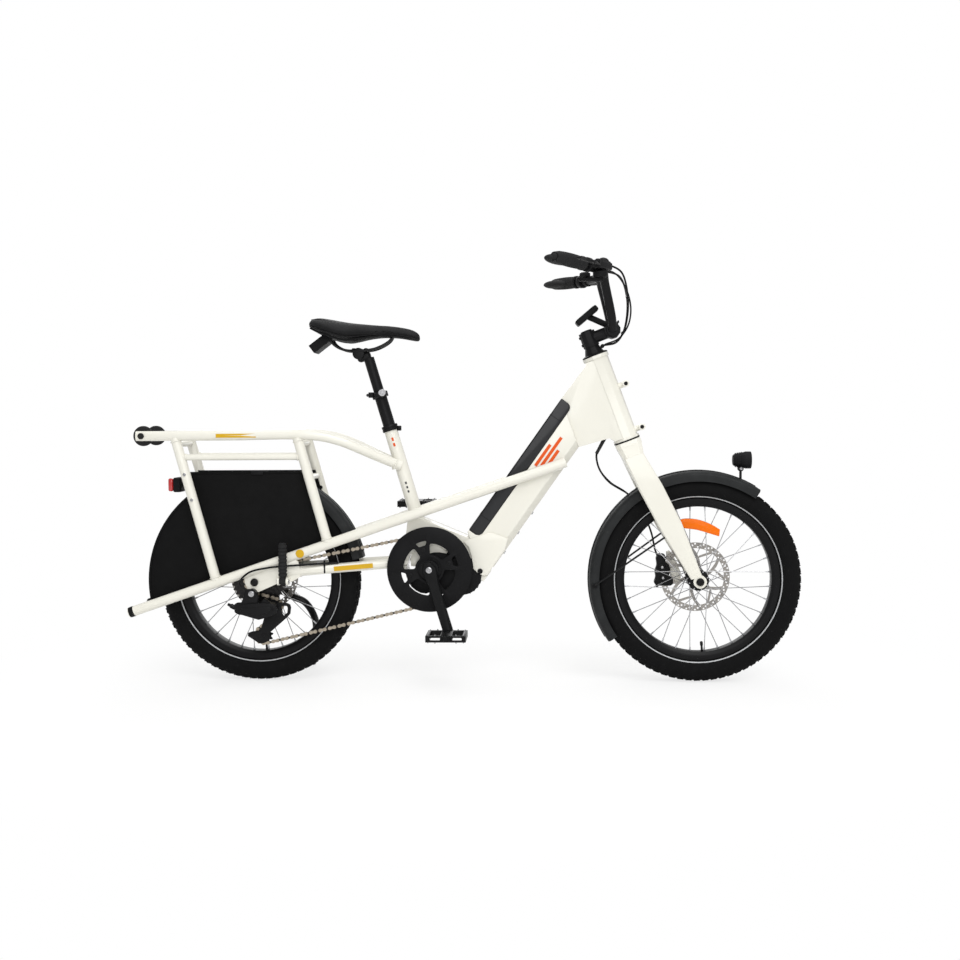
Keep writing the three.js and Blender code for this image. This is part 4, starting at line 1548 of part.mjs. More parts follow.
// Brake and gear hoses
const HOSE_RADIUS = 2.5;
const hoseStart = (side) => clampAt(side).addScaledVector(barNormal(side),
  LEVER_REACH * 2 / 3).addScaledVector(gripAxis(side), -RESERVOIR_LENGTH * 13 / 14 - 3 * RUN_GAP);
const HOSE_LOOP = [[900, 84, 1062], [940, 44, 1046], [957, 18, 990], [956, 12, 935], [946, 9, 897],
  [928, 6, 873], [896, 4, 866]];
const HOSE_GUIDE_RISE = 17;
const HOSE_GUIDE_HALF = 10;
const HOSE_GUIDE_RADIUS = 5;
const hoseGuide = headPoint(HEAD_LENGTH + HOSE_GUIDE_RISE, SPACER_CONE - RUN_GAP);
const spacerClear = rod(headPoint(HEAD_LENGTH + RUN_GAP, 0),
  headPoint(HEAD_LENGTH + STEM_HEIGHT - STEM_CLAMP_HALF + RUN_GAP, 0),
  SPACER_CONE + 2 * GAP, { tip: SPACER_RADIUS + 2 * GAP });
const barHose = (side) => bentTube([hoseStart(side), ...HOSE_LOOP.map(([x, y, z]) => at(x, side * y, z))],
  HOSE_RADIUS,
  { sides: SMALL_SIDES - 3, steps: 18 });
piece('bar_hoses', cut(join(barHose(RIGHT), barHose(LEFT), rod(
  hoseGuide.clone().setY(-HOSE_GUIDE_HALF), hoseGuide.clone().setY(HOSE_GUIDE_HALF), HOSE_GUIDE_RADIUS,
  { sides: SMALL_SIDES },
)), spacerClear), BLACK);
const FRONT_HOSE_ROUTE = [[895, 12, 620], [879, 14, 588], [886, 20, 548], [915, 34, 512], [955, 50, 486],
  [990, 60, 452], [1012, 66, 410],
  [1025, 64, 375], [1032, 44, 336], [1040.4, 42, 313.9]];
piece('front_hose', bentTube(FRONT_HOSE_ROUTE.map((place) => at(...place)), HOSE_RADIUS,
  { sides: SMALL_SIDES - 3, steps: 22 }), BLACK);

// The origin goes on the floor, under the middle of the bike
const extent = new THREE.Box3().setFromObject(bike);
bike.position.set(-(extent.min.x + extent.max.x) / 2, -(extent.min.y + extent.max.y) / 2, 0);

export default bike;
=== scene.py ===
import math

import bpy
from mathutils import Matrix, Vector


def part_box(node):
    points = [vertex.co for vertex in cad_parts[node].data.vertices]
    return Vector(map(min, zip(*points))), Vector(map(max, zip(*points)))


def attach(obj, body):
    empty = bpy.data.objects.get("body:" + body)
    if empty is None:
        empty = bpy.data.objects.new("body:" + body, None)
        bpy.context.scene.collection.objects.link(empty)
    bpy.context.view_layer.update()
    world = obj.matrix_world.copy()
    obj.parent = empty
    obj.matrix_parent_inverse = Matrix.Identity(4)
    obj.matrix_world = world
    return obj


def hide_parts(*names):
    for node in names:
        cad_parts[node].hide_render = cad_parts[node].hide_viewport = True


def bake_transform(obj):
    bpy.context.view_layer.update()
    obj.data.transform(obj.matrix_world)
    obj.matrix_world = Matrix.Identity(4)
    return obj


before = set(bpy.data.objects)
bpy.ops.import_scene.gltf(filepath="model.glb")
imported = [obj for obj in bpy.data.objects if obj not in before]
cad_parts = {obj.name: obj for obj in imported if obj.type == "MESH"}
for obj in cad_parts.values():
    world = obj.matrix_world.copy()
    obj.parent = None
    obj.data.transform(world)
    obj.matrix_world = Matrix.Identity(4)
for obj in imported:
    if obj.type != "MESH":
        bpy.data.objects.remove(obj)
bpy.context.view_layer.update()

# Places are in millimetres, with X forward from the rear axle, Y to the rider's left and Z up from the floor
CENTRE_X = -534.9537
RIGHT, LEFT = BOTH = (-1, 1)
SIDES = (("right", RIGHT), ("left", LEFT))
FULL_TURN = 2 * math.pi
AHEAD, ACROSS, UP = Vector((1, 0, 0)), Vector((0, 1, 0)), Vector((0, 0, 1))
WHITE = (1, 1, 1, 1)


def mm(x, y, z):
    return Vector((x, y, z))


def place(point):
    return Vector((point[0] + CENTRE_X, point[1], point[2])) / 1000


# Camera, at the photograph's own viewing angle
def photo_camera():
    yaw, pitch, roll = -0.0496267, 0.0483671, 0.0058277
    level = Vector((math.cos(yaw), -math.sin(yaw), 0))
    lift = Vector((math.sin(yaw) * math.sin(pitch), math.cos(yaw) * math.sin(pitch), math.cos(pitch)))
    forward = Vector((math.sin(yaw) * math.cos(pitch), math.cos(yaw) * math.cos(pitch), -math.sin(pitch)))
    right = math.cos(roll) * level - math.sin(roll) * lift
    up = math.sin(roll) * level + math.cos(roll) * lift
    lens = bpy.data.cameras.new("photo_camera")
    lens.lens = 46.59
    lens.sensor_width = 36
    lens.clip_end = 200
    camera = bpy.data.objects.new("photo_camera", lens)
    bpy.context.scene.collection.objects.link(camera)
    turn = Matrix((right, up, -forward)).transposed().to_4x4()
    camera.matrix_world = Matrix.Translation((0.201543, -3.213430, 0.676709)) @ turn
    bpy.context.scene.camera = camera


# Finishes
class Flow:
    """A socket of a finish on which sums are written as plain expressions."""

    def __init__(self, finish, socket):
        self.finish = finish
        self.socket = socket

    def __add__(self, other):
        return self.finish.sum("ADD", self, other)

    __radd__ = __add__

    def __mul__(self, other):
        return self.finish.sum("MULTIPLY", self, other)

    __rmul__ = __mul__

    def __truediv__(self, other):
        return self.finish.sum("DIVIDE", self, other)


class Finish:
    """A material on the principled shader, with its slot, base colour, roughness and fixed settings."""

    def __init__(self, name, slot, colour, rough, **fixed):
        self.slot = slot
        self.material = bpy.data.materials.new(name)
        self.material.use_nodes = True
        self.tree = self.material.node_tree
        self.shader = self.tree.nodes["Principled BSDF"]
        self.colour = (*colour, 1)
        for key, value in {"Base_Color": self.colour, "Roughness": rough, **fixed}.items():
            self.shader.inputs[key.replace("_", " ")].default_value = value
        self.spot = self.node("ShaderNodeTexCoord", output="Object")

    def node(self, kind, settings=None, inputs=None, output=0):
        made = self.tree.nodes.new(kind)
        for key, value in (settings or {}).items():
            if key == "stops":
                for stop, (position, grey) in zip(made.color_ramp.elements, value):
                    stop.position = position
                    stop.color = (grey, grey, grey, 1)
            else:
                setattr(made, key, value)
        for key, value in (inputs or {}).items():
            self.feed(made.inputs[key], value)
        return Flow(self, made.outputs[output])

    def feed(self, socket, value):
        if isinstance(value, Flow):
            self.tree.links.new(value.socket, socket)
        else:
            socket.default_value = value

    def sum(self, operation, first, second):
        return self.node("ShaderNodeMath", {"operation": operation}, {0: first, 1: second})

    def noise(self, scale, detail, spot=None):
        return self.node("ShaderNodeTexNoise", None,
                         {"Vector": spot or self.spot, "Scale": scale, "Detail": detail}, "Fac")

    def cells(self, scale, settings=None, **more):
        return self.node("ShaderNodeTexVoronoi", settings,
                         {"Vector": self.spot, "Scale": scale, **more}, "Distance")

    def stretched(self, scale):
        return self.node("ShaderNodeMapping", None, {"Vector": self.spot, "Scale": scale}, "Vector")

    def mask(self, flow, low, high):
        return self.node("ShaderNodeValToRGB", {"stops": ((low, 0), (high, 1))}, {"Fac": flow})

    def tint(self, factor, other):
        mix = self.node("ShaderNodeMix", {"data_type": "RGBA"},
                        {0: factor, 6: self.colour, 7: (*other, 1)}, 2)
        self.feed(self.shader.inputs["Base Color"], mix)

    def roughness(self, flow):
        self.feed(self.shader.inputs["Roughness"], flow)

    def relief(self, height, depth, strength):
        bump = self.node("ShaderNodeBump", None, {"Strength": strength, "Distance": depth, "Height": height},
                         "Normal")
        self.feed(self.shader.inputs["Normal"], bump)


def lighter(colour, times):
    return tuple(times * part for part in colour)


def gloss_paint(name, slot, colour, shade, coat=0.5, level=0.4):
    paint = Finish(name, slot, colour, 0.32, Coat_Weight=coat, Coat_Roughness=0.09, Specular_IOR_Level=level)
    paint.tint(paint.mask(paint.noise(7, 5), 0.35, 0.8) * 0.5, shade)
    paint.roughness(0.26 + 0.14 * paint.noise(38, 4))
    paint.relief(paint.noise(620, 1), 0.00012, 0.5)
    return paint


def metal(name, colour, rough, shade, grain=(1, 1, 1), scale=220, slot="bright_steel"):
    alloy = Finish(name, slot, colour, rough, Metallic=1.0)
    streaks = alloy.noise(scale, 4, alloy.stretched(grain))
    alloy.tint(alloy.mask(streaks, 0.3, 0.75) * 0.6, shade)
    alloy.roughness(rough - 0.07 + 0.16 * streaks)
    alloy.relief(streaks, 0.00008, 0.4)
    return alloy


def anodised(name, colour, rough):
    alloy = Finish(name, "black_metal", colour, rough, Metallic=0.1, Specular_IOR_Level=0.16)
    fine = alloy.noise(900, 2)
    alloy.tint(alloy.mask(alloy.noise(16, 4), 0.4, 0.75) * 0.5, lighter(colour, 1.7))
    alloy.roughness(rough - 0.06 + 0.14 * fine)
    alloy.relief(fine, 0.00006, 0.5)
    return alloy


def moulded(name, slot, colour, rough, grain=1500, depth=0.00018):
    plastic = Finish(name, slot, colour, rough, Specular_IOR_Level=0.12)
    plastic.tint(plastic.mask(plastic.noise(24, 5), 0.42, 0.8) * 0.6, lighter(colour, 1.8))
    plastic.roughness(rough - 0.08 + 0.2 * plastic.noise(60, 4))
    plastic.relief(plastic.cells(grain), depth, 0.45)
    return plastic


def rubber(name, slot, colour, rough=0.82):
    compound = Finish(name, slot, colour, rough, Specular_IOR_Level=0.12)
    compound.tint(compound.mask(compound.noise(42, 6), 0.5, 0.85) * 0.5, lighter(colour, 1.9))
    compound.roughness(rough - 0.1 + 0.2 * compound.noise(90, 3))
    compound.relief(compound.noise(1400, 3), 0.0002, 0.5)
    return compound


def clear_lens(name, colour, strength, pitch, shade, coat=1.0, level=0.5):
    lens = Finish(name, "red_lens", colour, 0.12, Coat_Weight=coat, Coat_Roughness=0.04,
                  Specular_IOR_Level=level, Emission_Color=(*colour, 1), Emission_Strength=strength)
    prisms = lens.cells(pitch, {"distance": "CHEBYCHEV"}, Randomness=0.0)
    lens.tint(lens.mask(prisms, 0.2, 0.7), shade)
    lens.roughness(0.08 + 0.15 * lens.noise(80, 3))
    lens.relief(prisms, 0.0006, 0.8)
    return lens


CREAM_PAINT = gloss_paint("cream_paint", "frame_paint", (0.755, 0.74, 0.665), (0.70, 0.68, 0.60))
BLACK_PAINT = gloss_paint("black_paint", "black_paint", (0.005, 0.005, 0.0055), (0.010, 0.010, 0.011),
                          0.12, 0.18)
TYRE_RUBBER = rubber("tyre_rubber", "tyre_rubber", (0.0036, 0.0036, 0.0038))
GRIP_RUBBER = rubber("grip_rubber", "grip_rubber", (0.018, 0.018, 0.0185), 0.7)
STRIPE = Finish("reflective_stripe", "tyre_rubber", (0.55, 0.56, 0.57), 0.35, Coat_Weight=0.4)
STRIPE.tint(STRIPE.mask(STRIPE.noise(300, 3), 0.4, 0.7), (0.40, 0.41, 0.42))
STRIPE.relief(STRIPE.cells(2200.0), 0.0001, 0.6)
RIM_BLACK = anodised("rim_black", (0.0035, 0.0035, 0.004), 0.34)
BLACK_ALLOY = anodised("black_alloy", (0.0055, 0.0055, 0.006), 0.42)
CRANK_BLACK = anodised("crank_black", (0.004, 0.0042, 0.0045), 0.38)
BRIGHT_STEEL = metal("bright_steel", (0.46, 0.46, 0.47), 0.24, (0.30, 0.30, 0.31))
ROTOR_STEEL = metal("rotor_steel", (0.37, 0.35, 0.33), 0.28, (0.22, 0.21, 0.19), (1, 1, 9), 160)
COG_STEEL = metal("cog_steel", (0.022, 0.022, 0.023), 0.36, (0.055, 0.052, 0.05), (1, 6, 1), 260)
CHAIN_STEEL = metal("chain_steel", (0.42, 0.37, 0.30), 0.3, (0.24, 0.20, 0.15), slot="chain_steel")
DARK_CHAIN_STEEL = metal("dark_chain_steel", (0.05, 0.043, 0.035), 0.36, (0.03, 0.026, 0.02),
                         slot="chain_steel")
BRASS = metal("brass_nipple", (0.55, 0.56, 0.58), 0.3, (0.40, 0.40, 0.42))
FENDER_PLASTIC = moulded("fender_plastic", "black_plastic", (0.016, 0.017, 0.0175), 0.45, 1100, 0.00012)
BLACK_PLASTIC = moulded("black_plastic", "black_plastic", (0.005, 0.005, 0.0055), 0.52)
SKIRT_PLASTIC = moulded("skirt_plastic", "skirt_plastic", (0.0024, 0.0024, 0.0025), 0.7, 700, 0.0003)
GLOSS_PLASTIC = gloss_paint("gloss_plastic", "gloss_plastic", (0.010, 0.0105, 0.012), (0.015, 0.015, 0.017),
                            0.25, 0.22)
SADDLE_COVER = moulded("saddle_cover", "saddle_cover", (0.009, 0.009, 0.0095), 0.5, 950, 0.00035)
HOSE_SLEEVE = rubber("hose_sleeve", "hose", (0.007, 0.007, 0.0075), 0.45)
RED_LENS = clear_lens("red_lens", (0.50, 0.010, 0.010), 0.08, 260, (0.25, 0.004, 0.004))
# The amber reflector gets a faint orange emission glow. This is painted light, since a reflector is no lamp.
AMBER_LENS = clear_lens("amber_reflector", (0.86, 0.17, 0.002), 0.06, 330, (0.60, 0.09, 0.001), 0.1, 0.12)
LAMP_GLASS = clear_lens("lamp_glass", (0.70, 0.73, 0.76), 0.1, 150, (0.35, 0.37, 0.40))
SCREEN_GLASS = Finish("screen_glass", "gloss_plastic", (0.012, 0.014, 0.018), 0.08, Coat_Weight=0.4,
                      Specular_IOR_Level=0.3)
SCREEN_GLASS.tint(SCREEN_GLASS.mask(SCREEN_GLASS.noise(30, 3), 0.4, 0.7), (0.03, 0.036, 0.045))
YELLOW_FILM = gloss_paint("yellow_film", "frame_paint", (0.60, 0.36, 0.012), (0.52, 0.30, 0.010), 0.1, 0.2)
ORANGE_FILM = gloss_paint("orange_film", "frame_paint", (0.68, 0.085, 0.005), (0.60, 0.07, 0.004), 0.1, 0.2)
GREY_FILM = gloss_paint("grey_film", "frame_paint", (0.05, 0.05, 0.052), (0.035, 0.035, 0.036))


# Modelling helpers
def choose(*pieces):
    """Leaves edit mode and selects these pieces only, the first one active."""
    if bpy.context.object and bpy.context.object.mode != "OBJECT":
        bpy.ops.object.mode_set(mode="OBJECT")
    bpy.ops.object.select_all(action="DESELECT")
    for piece in pieces:
        piece.select_set(True)
    if pieces:
        bpy.context.view_layer.objects.active = pieces[0]


def edit(piece):
    choose(piece)
    bpy.ops.object.mode_set(mode="EDIT")
    bpy.ops.mesh.select_all(action="SELECT")


def done():
    bpy.ops.object.mode_set(mode="OBJECT")


def applied():
    """Settles the place, turn and size of the active piece into its mesh."""
    bpy.ops.object.transform_apply(location=True, rotation=True, scale=True)
    return bpy.context.object


def close_up(piece):
    """Merges doubled corners and turns all faces outwards."""
    edit(piece)
    bpy.ops.mesh.remove_doubles(threshold=1e-6)
    bpy.ops.mesh.normals_make_consistent(inside=False)
    done()
    return piece


def wire(points):
    """A line of edges through the points, drawn by extruding one corner."""
    choose()
    bpy.ops.mesh.primitive_plane_add(size=0.001, location=(0, 0, 0))
    bpy.ops.object.mode_set(mode="EDIT")
    bpy.ops.mesh.merge(type="CENTER")
    route = [place(point) for point in points]
    bpy.ops.transform.translate(value=route[0])
    for here, there in zip(route, route[1:]):
        bpy.ops.mesh.extrude_region_move(TRANSFORM_OT_translate={"value": there - here})
    bpy.ops.mesh.select_all(action="SELECT")
    return bpy.context.object


def turned(profile, base, axis, sides=48):
    """A profile of (along, radius) pairs spun about an axis through base."""
    axis = axis.normalized()
    side = axis.orthogonal().normalized()
    piece = wire([base + axis * along + side * radius for along, radius in profile])
    bpy.ops.mesh.spin(steps=sides, dupli=False, angle=FULL_TURN, center=place(base), axis=axis)
    return close_up(piece)


def hoop(profile, base, axis, sides=48):
    """A closed profile spun into a ring."""
    return turned([*profile, profile[0]], base, axis, sides)


def tube(points, radius, sides=16):
    """A round tube along a line of points."""
    wire(points)
    done()
    bpy.ops.object.convert(target="CURVE")
    path = bpy.context.object.data
    path.bevel_depth = radius / 1000
    path.bevel_resolution = (sides - 4) // 2
    path.use_fill_caps = True
    bpy.ops.object.convert(target="MESH")
    return close_up(bpy.context.object)


def outline(corners, y, thick):
    """A plate seen from the side: (x, z) corners, the middle of its thickness and the thickness."""
    piece = wire([mm(x, y - thick / 2, z) for x, z in corners])
    bpy.ops.mesh.edge_face_add()
    bpy.ops.mesh.select_all(action="SELECT")
    bpy.ops.mesh.extrude_region_move(TRANSFORM_OT_translate={"value": (0, thick / 1000, 0)})
    return close_up(piece)


def flat(points):
    return [(point.x, point.z) for point in points]


def mirrored(profile):
    return [(-along, radius) for along, radius in reversed(profile)]


def block(centre, size, ahead=AHEAD, across=ACROSS):
    """A box whose sides run along two given directions."""
    choose()
    turn = Matrix((ahead.normalized(), across.normalized(), ahead.cross(across).normalized())).transposed()
    bpy.ops.mesh.primitive_cube_add(size=1, location=place(centre), rotation=turn.to_euler(),
                                    scale=tuple(length / 1000 for length in size))
    return applied()


def rod(start, end, radius, sides=24, tip=None):
    """A straight rod, which may taper."""
    choose()
    along = end - start
    bpy.ops.mesh.primitive_cone_add(vertices=sides, radius1=radius / 1000,
                                    radius2=(radius if tip is None else tip) / 1000,
                                    depth=along.length / 1000, location=place((start + end) / 2),
                                    rotation=along.to_track_quat("Z", "Y").to_euler())
    return applied()


def cross_rod(middle, low, high, radius, sides=24):
    """A rod across the bike, from y low to y high beyond the middle."""
    return rod(middle + mm(0, low, 0), middle + mm(0, high, 0), radius, sides)


def modifier(piece, kind, **settings):
    """Adds a modifier and applies it."""
    choose(piece)
    added = piece.modifiers.new(kind.lower(), kind)
    for key, value in settings.items():
        setattr(added, key, value)
    bpy.ops.object.modifier_apply(modifier=added.name)
    return piece


def smooth(piece, degrees=40):
    choose(piece)
    bpy.ops.object.shade_smooth_by_angle(angle=math.radians(degrees))
    return piece


def bevelled(piece, width, segments, degrees):
    return modifier(piece, "BEVEL", width=width / 1000, segments=segments, limit_method="ANGLE",
                    angle_limit=math.radians(degrees), use_clamp_overlap=True)


def rounded(piece, width, segments=2, degrees=30):
    """Rounds the sharp edges and smooths the piece."""
    return smooth(bevelled(piece, width, segments, degrees))


def joined(parts):
    choose(*parts)
    if len(parts) > 1:
        bpy.ops.object.join()
    return parts[0]


def ring_of(piece, count, centre):
    """Repeats the piece round an axis across the bike."""
    edit(piece)
    bpy.ops.mesh.spin(steps=count - 1, dupli=True, angle=FULL_TURN * (count - 1) / count,
                      center=place(centre), axis=ACROSS)
    done()
    return piece


def cut_away(piece, *tools):
    """Cuts the tools out of the piece."""
    tool = joined(tools)
    modifier(piece, "BOOLEAN", object=tool, operation="DIFFERENCE", solver="EXACT")
    bpy.data.objects.remove(tool)
    return piece


def dressed(node, width=0, segments=2, degrees=30):
    """A copy of a frame node with merged corners, flat faces joined up and its edges rounded."""
    piece = bpy.data.objects.new(node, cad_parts[node].data.copy())
    bpy.context.scene.collection.objects.link(piece)
    edit(piece)
    bpy.ops.mesh.remove_doubles(threshold=1e-6)
    bpy.ops.mesh.dissolve_limited(angle_limit=math.radians(1))
    done()
    if width:
        rounded(piece, width, segments, degrees)
    return smooth(piece)


def coat(piece, name, finish, slot=None):
    piece.name = name
    piece.data.materials.clear()
    piece.data.materials.append(finish.material)


def keep(name, parts, body, finish, *nodes, crease=None, slot=None):
    """One finished piece of the parts, creased at edges over so many degrees, which stands for the nodes."""
    piece = joined(parts) if isinstance(parts, list) else parts
    if crease:
        smooth(piece, crease)
    coat(piece, name, finish, slot)
    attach(piece, body)
    if nodes:
        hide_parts(*nodes)


def curve_through(points, steps):
    """Points on a smooth curve through the given ones."""
    ends = [2 * points[0] - points[1], *points, 2 * points[-1] - points[-2]]
    route = []
    for before, here, there, after in zip(ends, ends[1:], ends[2:], ends[3:]):
        spans = [max((b - a).length ** 0.5, 1e-4) for a, b in ((before, here), (here, there), (there, after))]
        leave = ((here - before) / spans[0] - (there - before) / (spans[0] + spans[1])
                 + (there - here) / spans[1]) * spans[1]
        arrive = ((there - here) / spans[1] - (after - here) / (spans[1] + spans[2])
                  + (after - there) / spans[2]) * spans[1]
        for step in range(steps):
            t = step / steps
            route.append(here * (2 * t ** 3 - 3 * t ** 2 + 1) + leave * (t ** 3 - 2 * t ** 2 + t)
                         + there * (3 * t ** 2 - 2 * t ** 3) + arrive * (t ** 3 - t ** 2))
    return [*route, points[-1].copy()]


def wheel_point(centre, radius, degrees, y=0):
    """A place on a wheel, with its angle from straight ahead over the top."""
    turn = math.radians(degrees)
    return centre + mm(radius * math.cos(turn), y, radius * math.sin(turn))


def arc(centre, radius, first, last, steps, y=0):
    return [wheel_point(centre, radius, first + (last - first) * step / steps, y)
            for step in range(steps + 1)]


def screw(point, axis, radius, height):
    """A round screw head with its socket."""
    return smooth(turned([(-radius * 0.3, 0), (-radius * 0.3, radius), (height * 0.75, radius),
                          (height, radius * 0.8), (height, radius * 0.48), (height * 0.45, radius * 0.42),
                          (height * 0.45, 0)], point, axis, 12), 35)


# Main points of the frame
REAR_AXLE = mm(0, 0, 264)
FRONT_AXLE = mm(1136, 0, 264)
BB = mm(449, 0, 295)
HEAD_LEAN = math.radians(20.5)
HEAD_UP = mm(-math.sin(HEAD_LEAN), 0, math.cos(HEAD_LEAN))
HEAD_FORWARD = mm(math.cos(HEAD_LEAN), 0, math.sin(HEAD_LEAN))
HEAD_LONG = 233
HEAD_FOOT = mm(875, 0, 839) - HEAD_LONG * HEAD_UP
DOWN_RISE = math.radians(54.6)
DOWN_AXIS = mm(math.cos(DOWN_RISE), 0, math.sin(DOWN_RISE))
DOWN_NORMAL = mm(math.sin(DOWN_RISE), 0, -math.cos(DOWN_RISE))
SEAT_LEAN = math.radians(16.5)
SEAT_UP = mm(-math.sin(SEAT_LEAN), 0, math.cos(SEAT_LEAN))
SEAT_FACE = SEAT_UP.cross(ACROSS)
TOP_RAIL_Z = 640
RACK_HALF = 66
TUBE_RADIUS = 12.7
# Where each rack hoop meets the top rail and the lower rail
REAR_HOOP = (-204, -98)
FRONT_HOOP = (112, 190)


def head(up, forward, y=0):
    return HEAD_FOOT + up * HEAD_UP + forward * HEAD_FORWARD + mm(0, y, 0)


def down(along, depth, y=0):
    return mm(555, y, 403) + along * DOWN_AXIS + depth * DOWN_NORMAL


def seat(z, y=0):
    return mm(415 - (z - 417) * math.tan(SEAT_LEAN), y, z)


def lower_rail_at(x, side):
    share = (x + 326) / (798 + 326)
    return mm(x, side * (80 - 30 * share), 185.5 + (568 - 185.5) * share)


def upright_at(hoop_x, z, side):
    foot = lower_rail_at(hoop_x[1], side)
    top = mm(hoop_x[0], side * RACK_HALF, TOP_RAIL_Z)
    return top.lerp(foot, (TOP_RAIL_Z - z) / (TOP_RAIL_Z - foot.z))


# Wheels
ROTOR_Y = 42
KNOB_COUNT = 76
HUB_HOLES = 24
RIM_HOLES = 188


def tyre(label, centre, body):
    half = [(16.2, 203.4), (16.4, 209.6), (20.5, 211), (24.5, 216), (29.5, 224), (31, 233), (30.3, 243),
            (27, 252), (20.5, 258.4), (11, 261.6), (0, 262.4)]
    casing = hoop(half + mirrored(half[:-1]), centre, ACROSS, 96)
    keep(f"{label}_tyre_casing", casing, body, TYRE_RUBBER, f"{label}_tyre", crease=60)
    rows = []
    for y, radius, lean, long in ((5.6, 262.6, 0.35, 13), (-5.6, 262.6, -0.35, 13),
                                  (15.8, 260.2, -0.55, 14), (-15.8, 260.2, 0.55, 14)):
        ahead = mm(math.cos(lean), math.sin(lean), 0)
        across = mm(-math.sin(lean), math.cos(lean), -y / 60)
        rows.append(block(centre + mm(lean * 4, y, radius), (long, 6.2, 2.8), ahead, across))
    rows.append(block(centre + mm(7, 0, 262.3), (3, 30, 2.0)))
    tread = ring_of(rounded(joined(rows), 0.5, 1), KNOB_COUNT, centre)
    keep(f"{label}_tyre_tread", tread, body, TYRE_RUBBER)
    stripes = [hoop([(side * 21.6, 212.2), (side * 22.6, 212.6), (side * 24.2, 214.6), (side * 23.2, 215)],
                    centre, ACROSS, 96) for side in BOTH]
    keep(f"{label}_tyre_stripes", stripes, body, STRIPE, crease=40)


def spokes(label, centre, body, flange_y):
    steel, nipples = [], []
    for pair, side in enumerate(BOTH):
        for lean in BOTH:
            rim_turn = (pair + lean / 4) * FULL_TURN / 16
            hub_turn = rim_turn + lean * math.radians(67)
            inner = centre + mm(HUB_HOLES * math.sin(hub_turn), side * (flange_y + 1.4 * lean),
                                HUB_HOLES * math.cos(hub_turn))
            outer = centre + mm(RIM_HOLES * math.sin(rim_turn), side * 4 * (1 + lean / 2),
                                RIM_HOLES * math.cos(rim_turn))
            along = (outer - inner).normalized()
            steel += [rod(inner, outer, 1.05, 8), cross_rod(inner, -2.6 * lean, 2.6 * lean, 1.8, 8)]
            nipples.append(rod(outer - 11 * along, outer + 1.5 * along, 1.7, 8, 2.3))
    keep(f"{label}_spokes", ring_of(joined(steel), 8, centre), body, BRIGHT_STEEL, crease=40)
    keep(f"{label}_nipples", ring_of(joined(nipples), 8, centre), body, BRASS, crease=40)


def rotor(label, centre, body):
    middle = centre + mm(0, ROTOR_Y, 0)
    band = hoop([(-1, 75), (-1, 90), (1, 90), (1, 75)], middle, ACROSS, 96)
    drills = [cross_rod(wheel_point(centre, radius, degrees, ROTOR_Y), -4, 4, hole, 10)
              for degrees, radius, hole in ((0, 86.5, 2.4), (5, 82.4, 2.6), (10, 78.4, 2.4))]
    cut_away(band, ring_of(joined(drills), 24, centre))
    parts = [band, hoop([(-1.2, 13), (-1.2, 26), (1.2, 26), (1.2, 13)], middle, ACROSS)]
    for turn in range(0, 360, 60):
        sweep = [wheel_point(centre, 19 + 58 * share, turn + 38 * share ** 0.8, ROTOR_Y)
                 for share in (0, 0.25, 0.5, 0.75, 1)]
        offsets = [(point - middle).normalized().cross(ACROSS) * 4.5 for point in sweep]
        near = [point + offset for point, offset in zip(sweep, offsets)]
        far = [point - offset for point, offset in zip(sweep, offsets)]
        parts.append(outline(flat(near + far[::-1]), ROTOR_Y, 1.8))
        brace = [wheel_point(centre, radius, turn + lean) for radius, lean in
                 ((50, 20), (56, 20), (78, -2), (78, -8))]
        parts.append(outline(flat(brace), ROTOR_Y, 1.6))
    keep(f"{label}_brake_disc", parts, body, ROTOR_STEEL, f"{label}_rotor", crease=40)
    bolts = ring_of(screw(wheel_point(centre, 21.5, 15, ROTOR_Y + 1.2), ACROSS, 3.4, 2.2), 6, centre)
    keep(f"{label}_disc_bolts", bolts, body, BRIGHT_STEEL)


def wheel(label, centre, rim_nodes, flange_y, hub_profile):
    body = f"{label}_wheel"
    tyre(label, centre, body)
    half = [(11, 187.4), (14.5, 188.2), (17.6, 194), (19, 198), (19, 208.6), (18.4, 209), (16.8, 209),
            (16.6, 203.2), (10, 202.6), (5, 199.5)]
    rim = hoop(half + mirrored(half), centre, ACROSS, 96)
    keep(f"{label}_rim_hoop", rim, body, RIM_BLACK, *rim_nodes, crease=35)
    spokes(label, centre, body, flange_y)
    hub = rounded(hoop(hub_profile, centre, ACROSS), 0.8, 2, 35)
    keep(f"{label}_hub_shell", hub, body, BLACK_ALLOY)
    foot = wheel_point(centre, 187, -86)
    stem = [(0, 0), (0, 3.4), (2, 3.4), (2, 3), (13, 2.8), (13.5, 3.8), (22, 3.8), (24, 2.6), (24, 0)]
    keep(f"{label}_valve", turned(stem, foot, centre - foot, 16), body, BLACK_PLASTIC, crease=40,
         slot="tyre_rubber")
    rotor(label, centre, body)


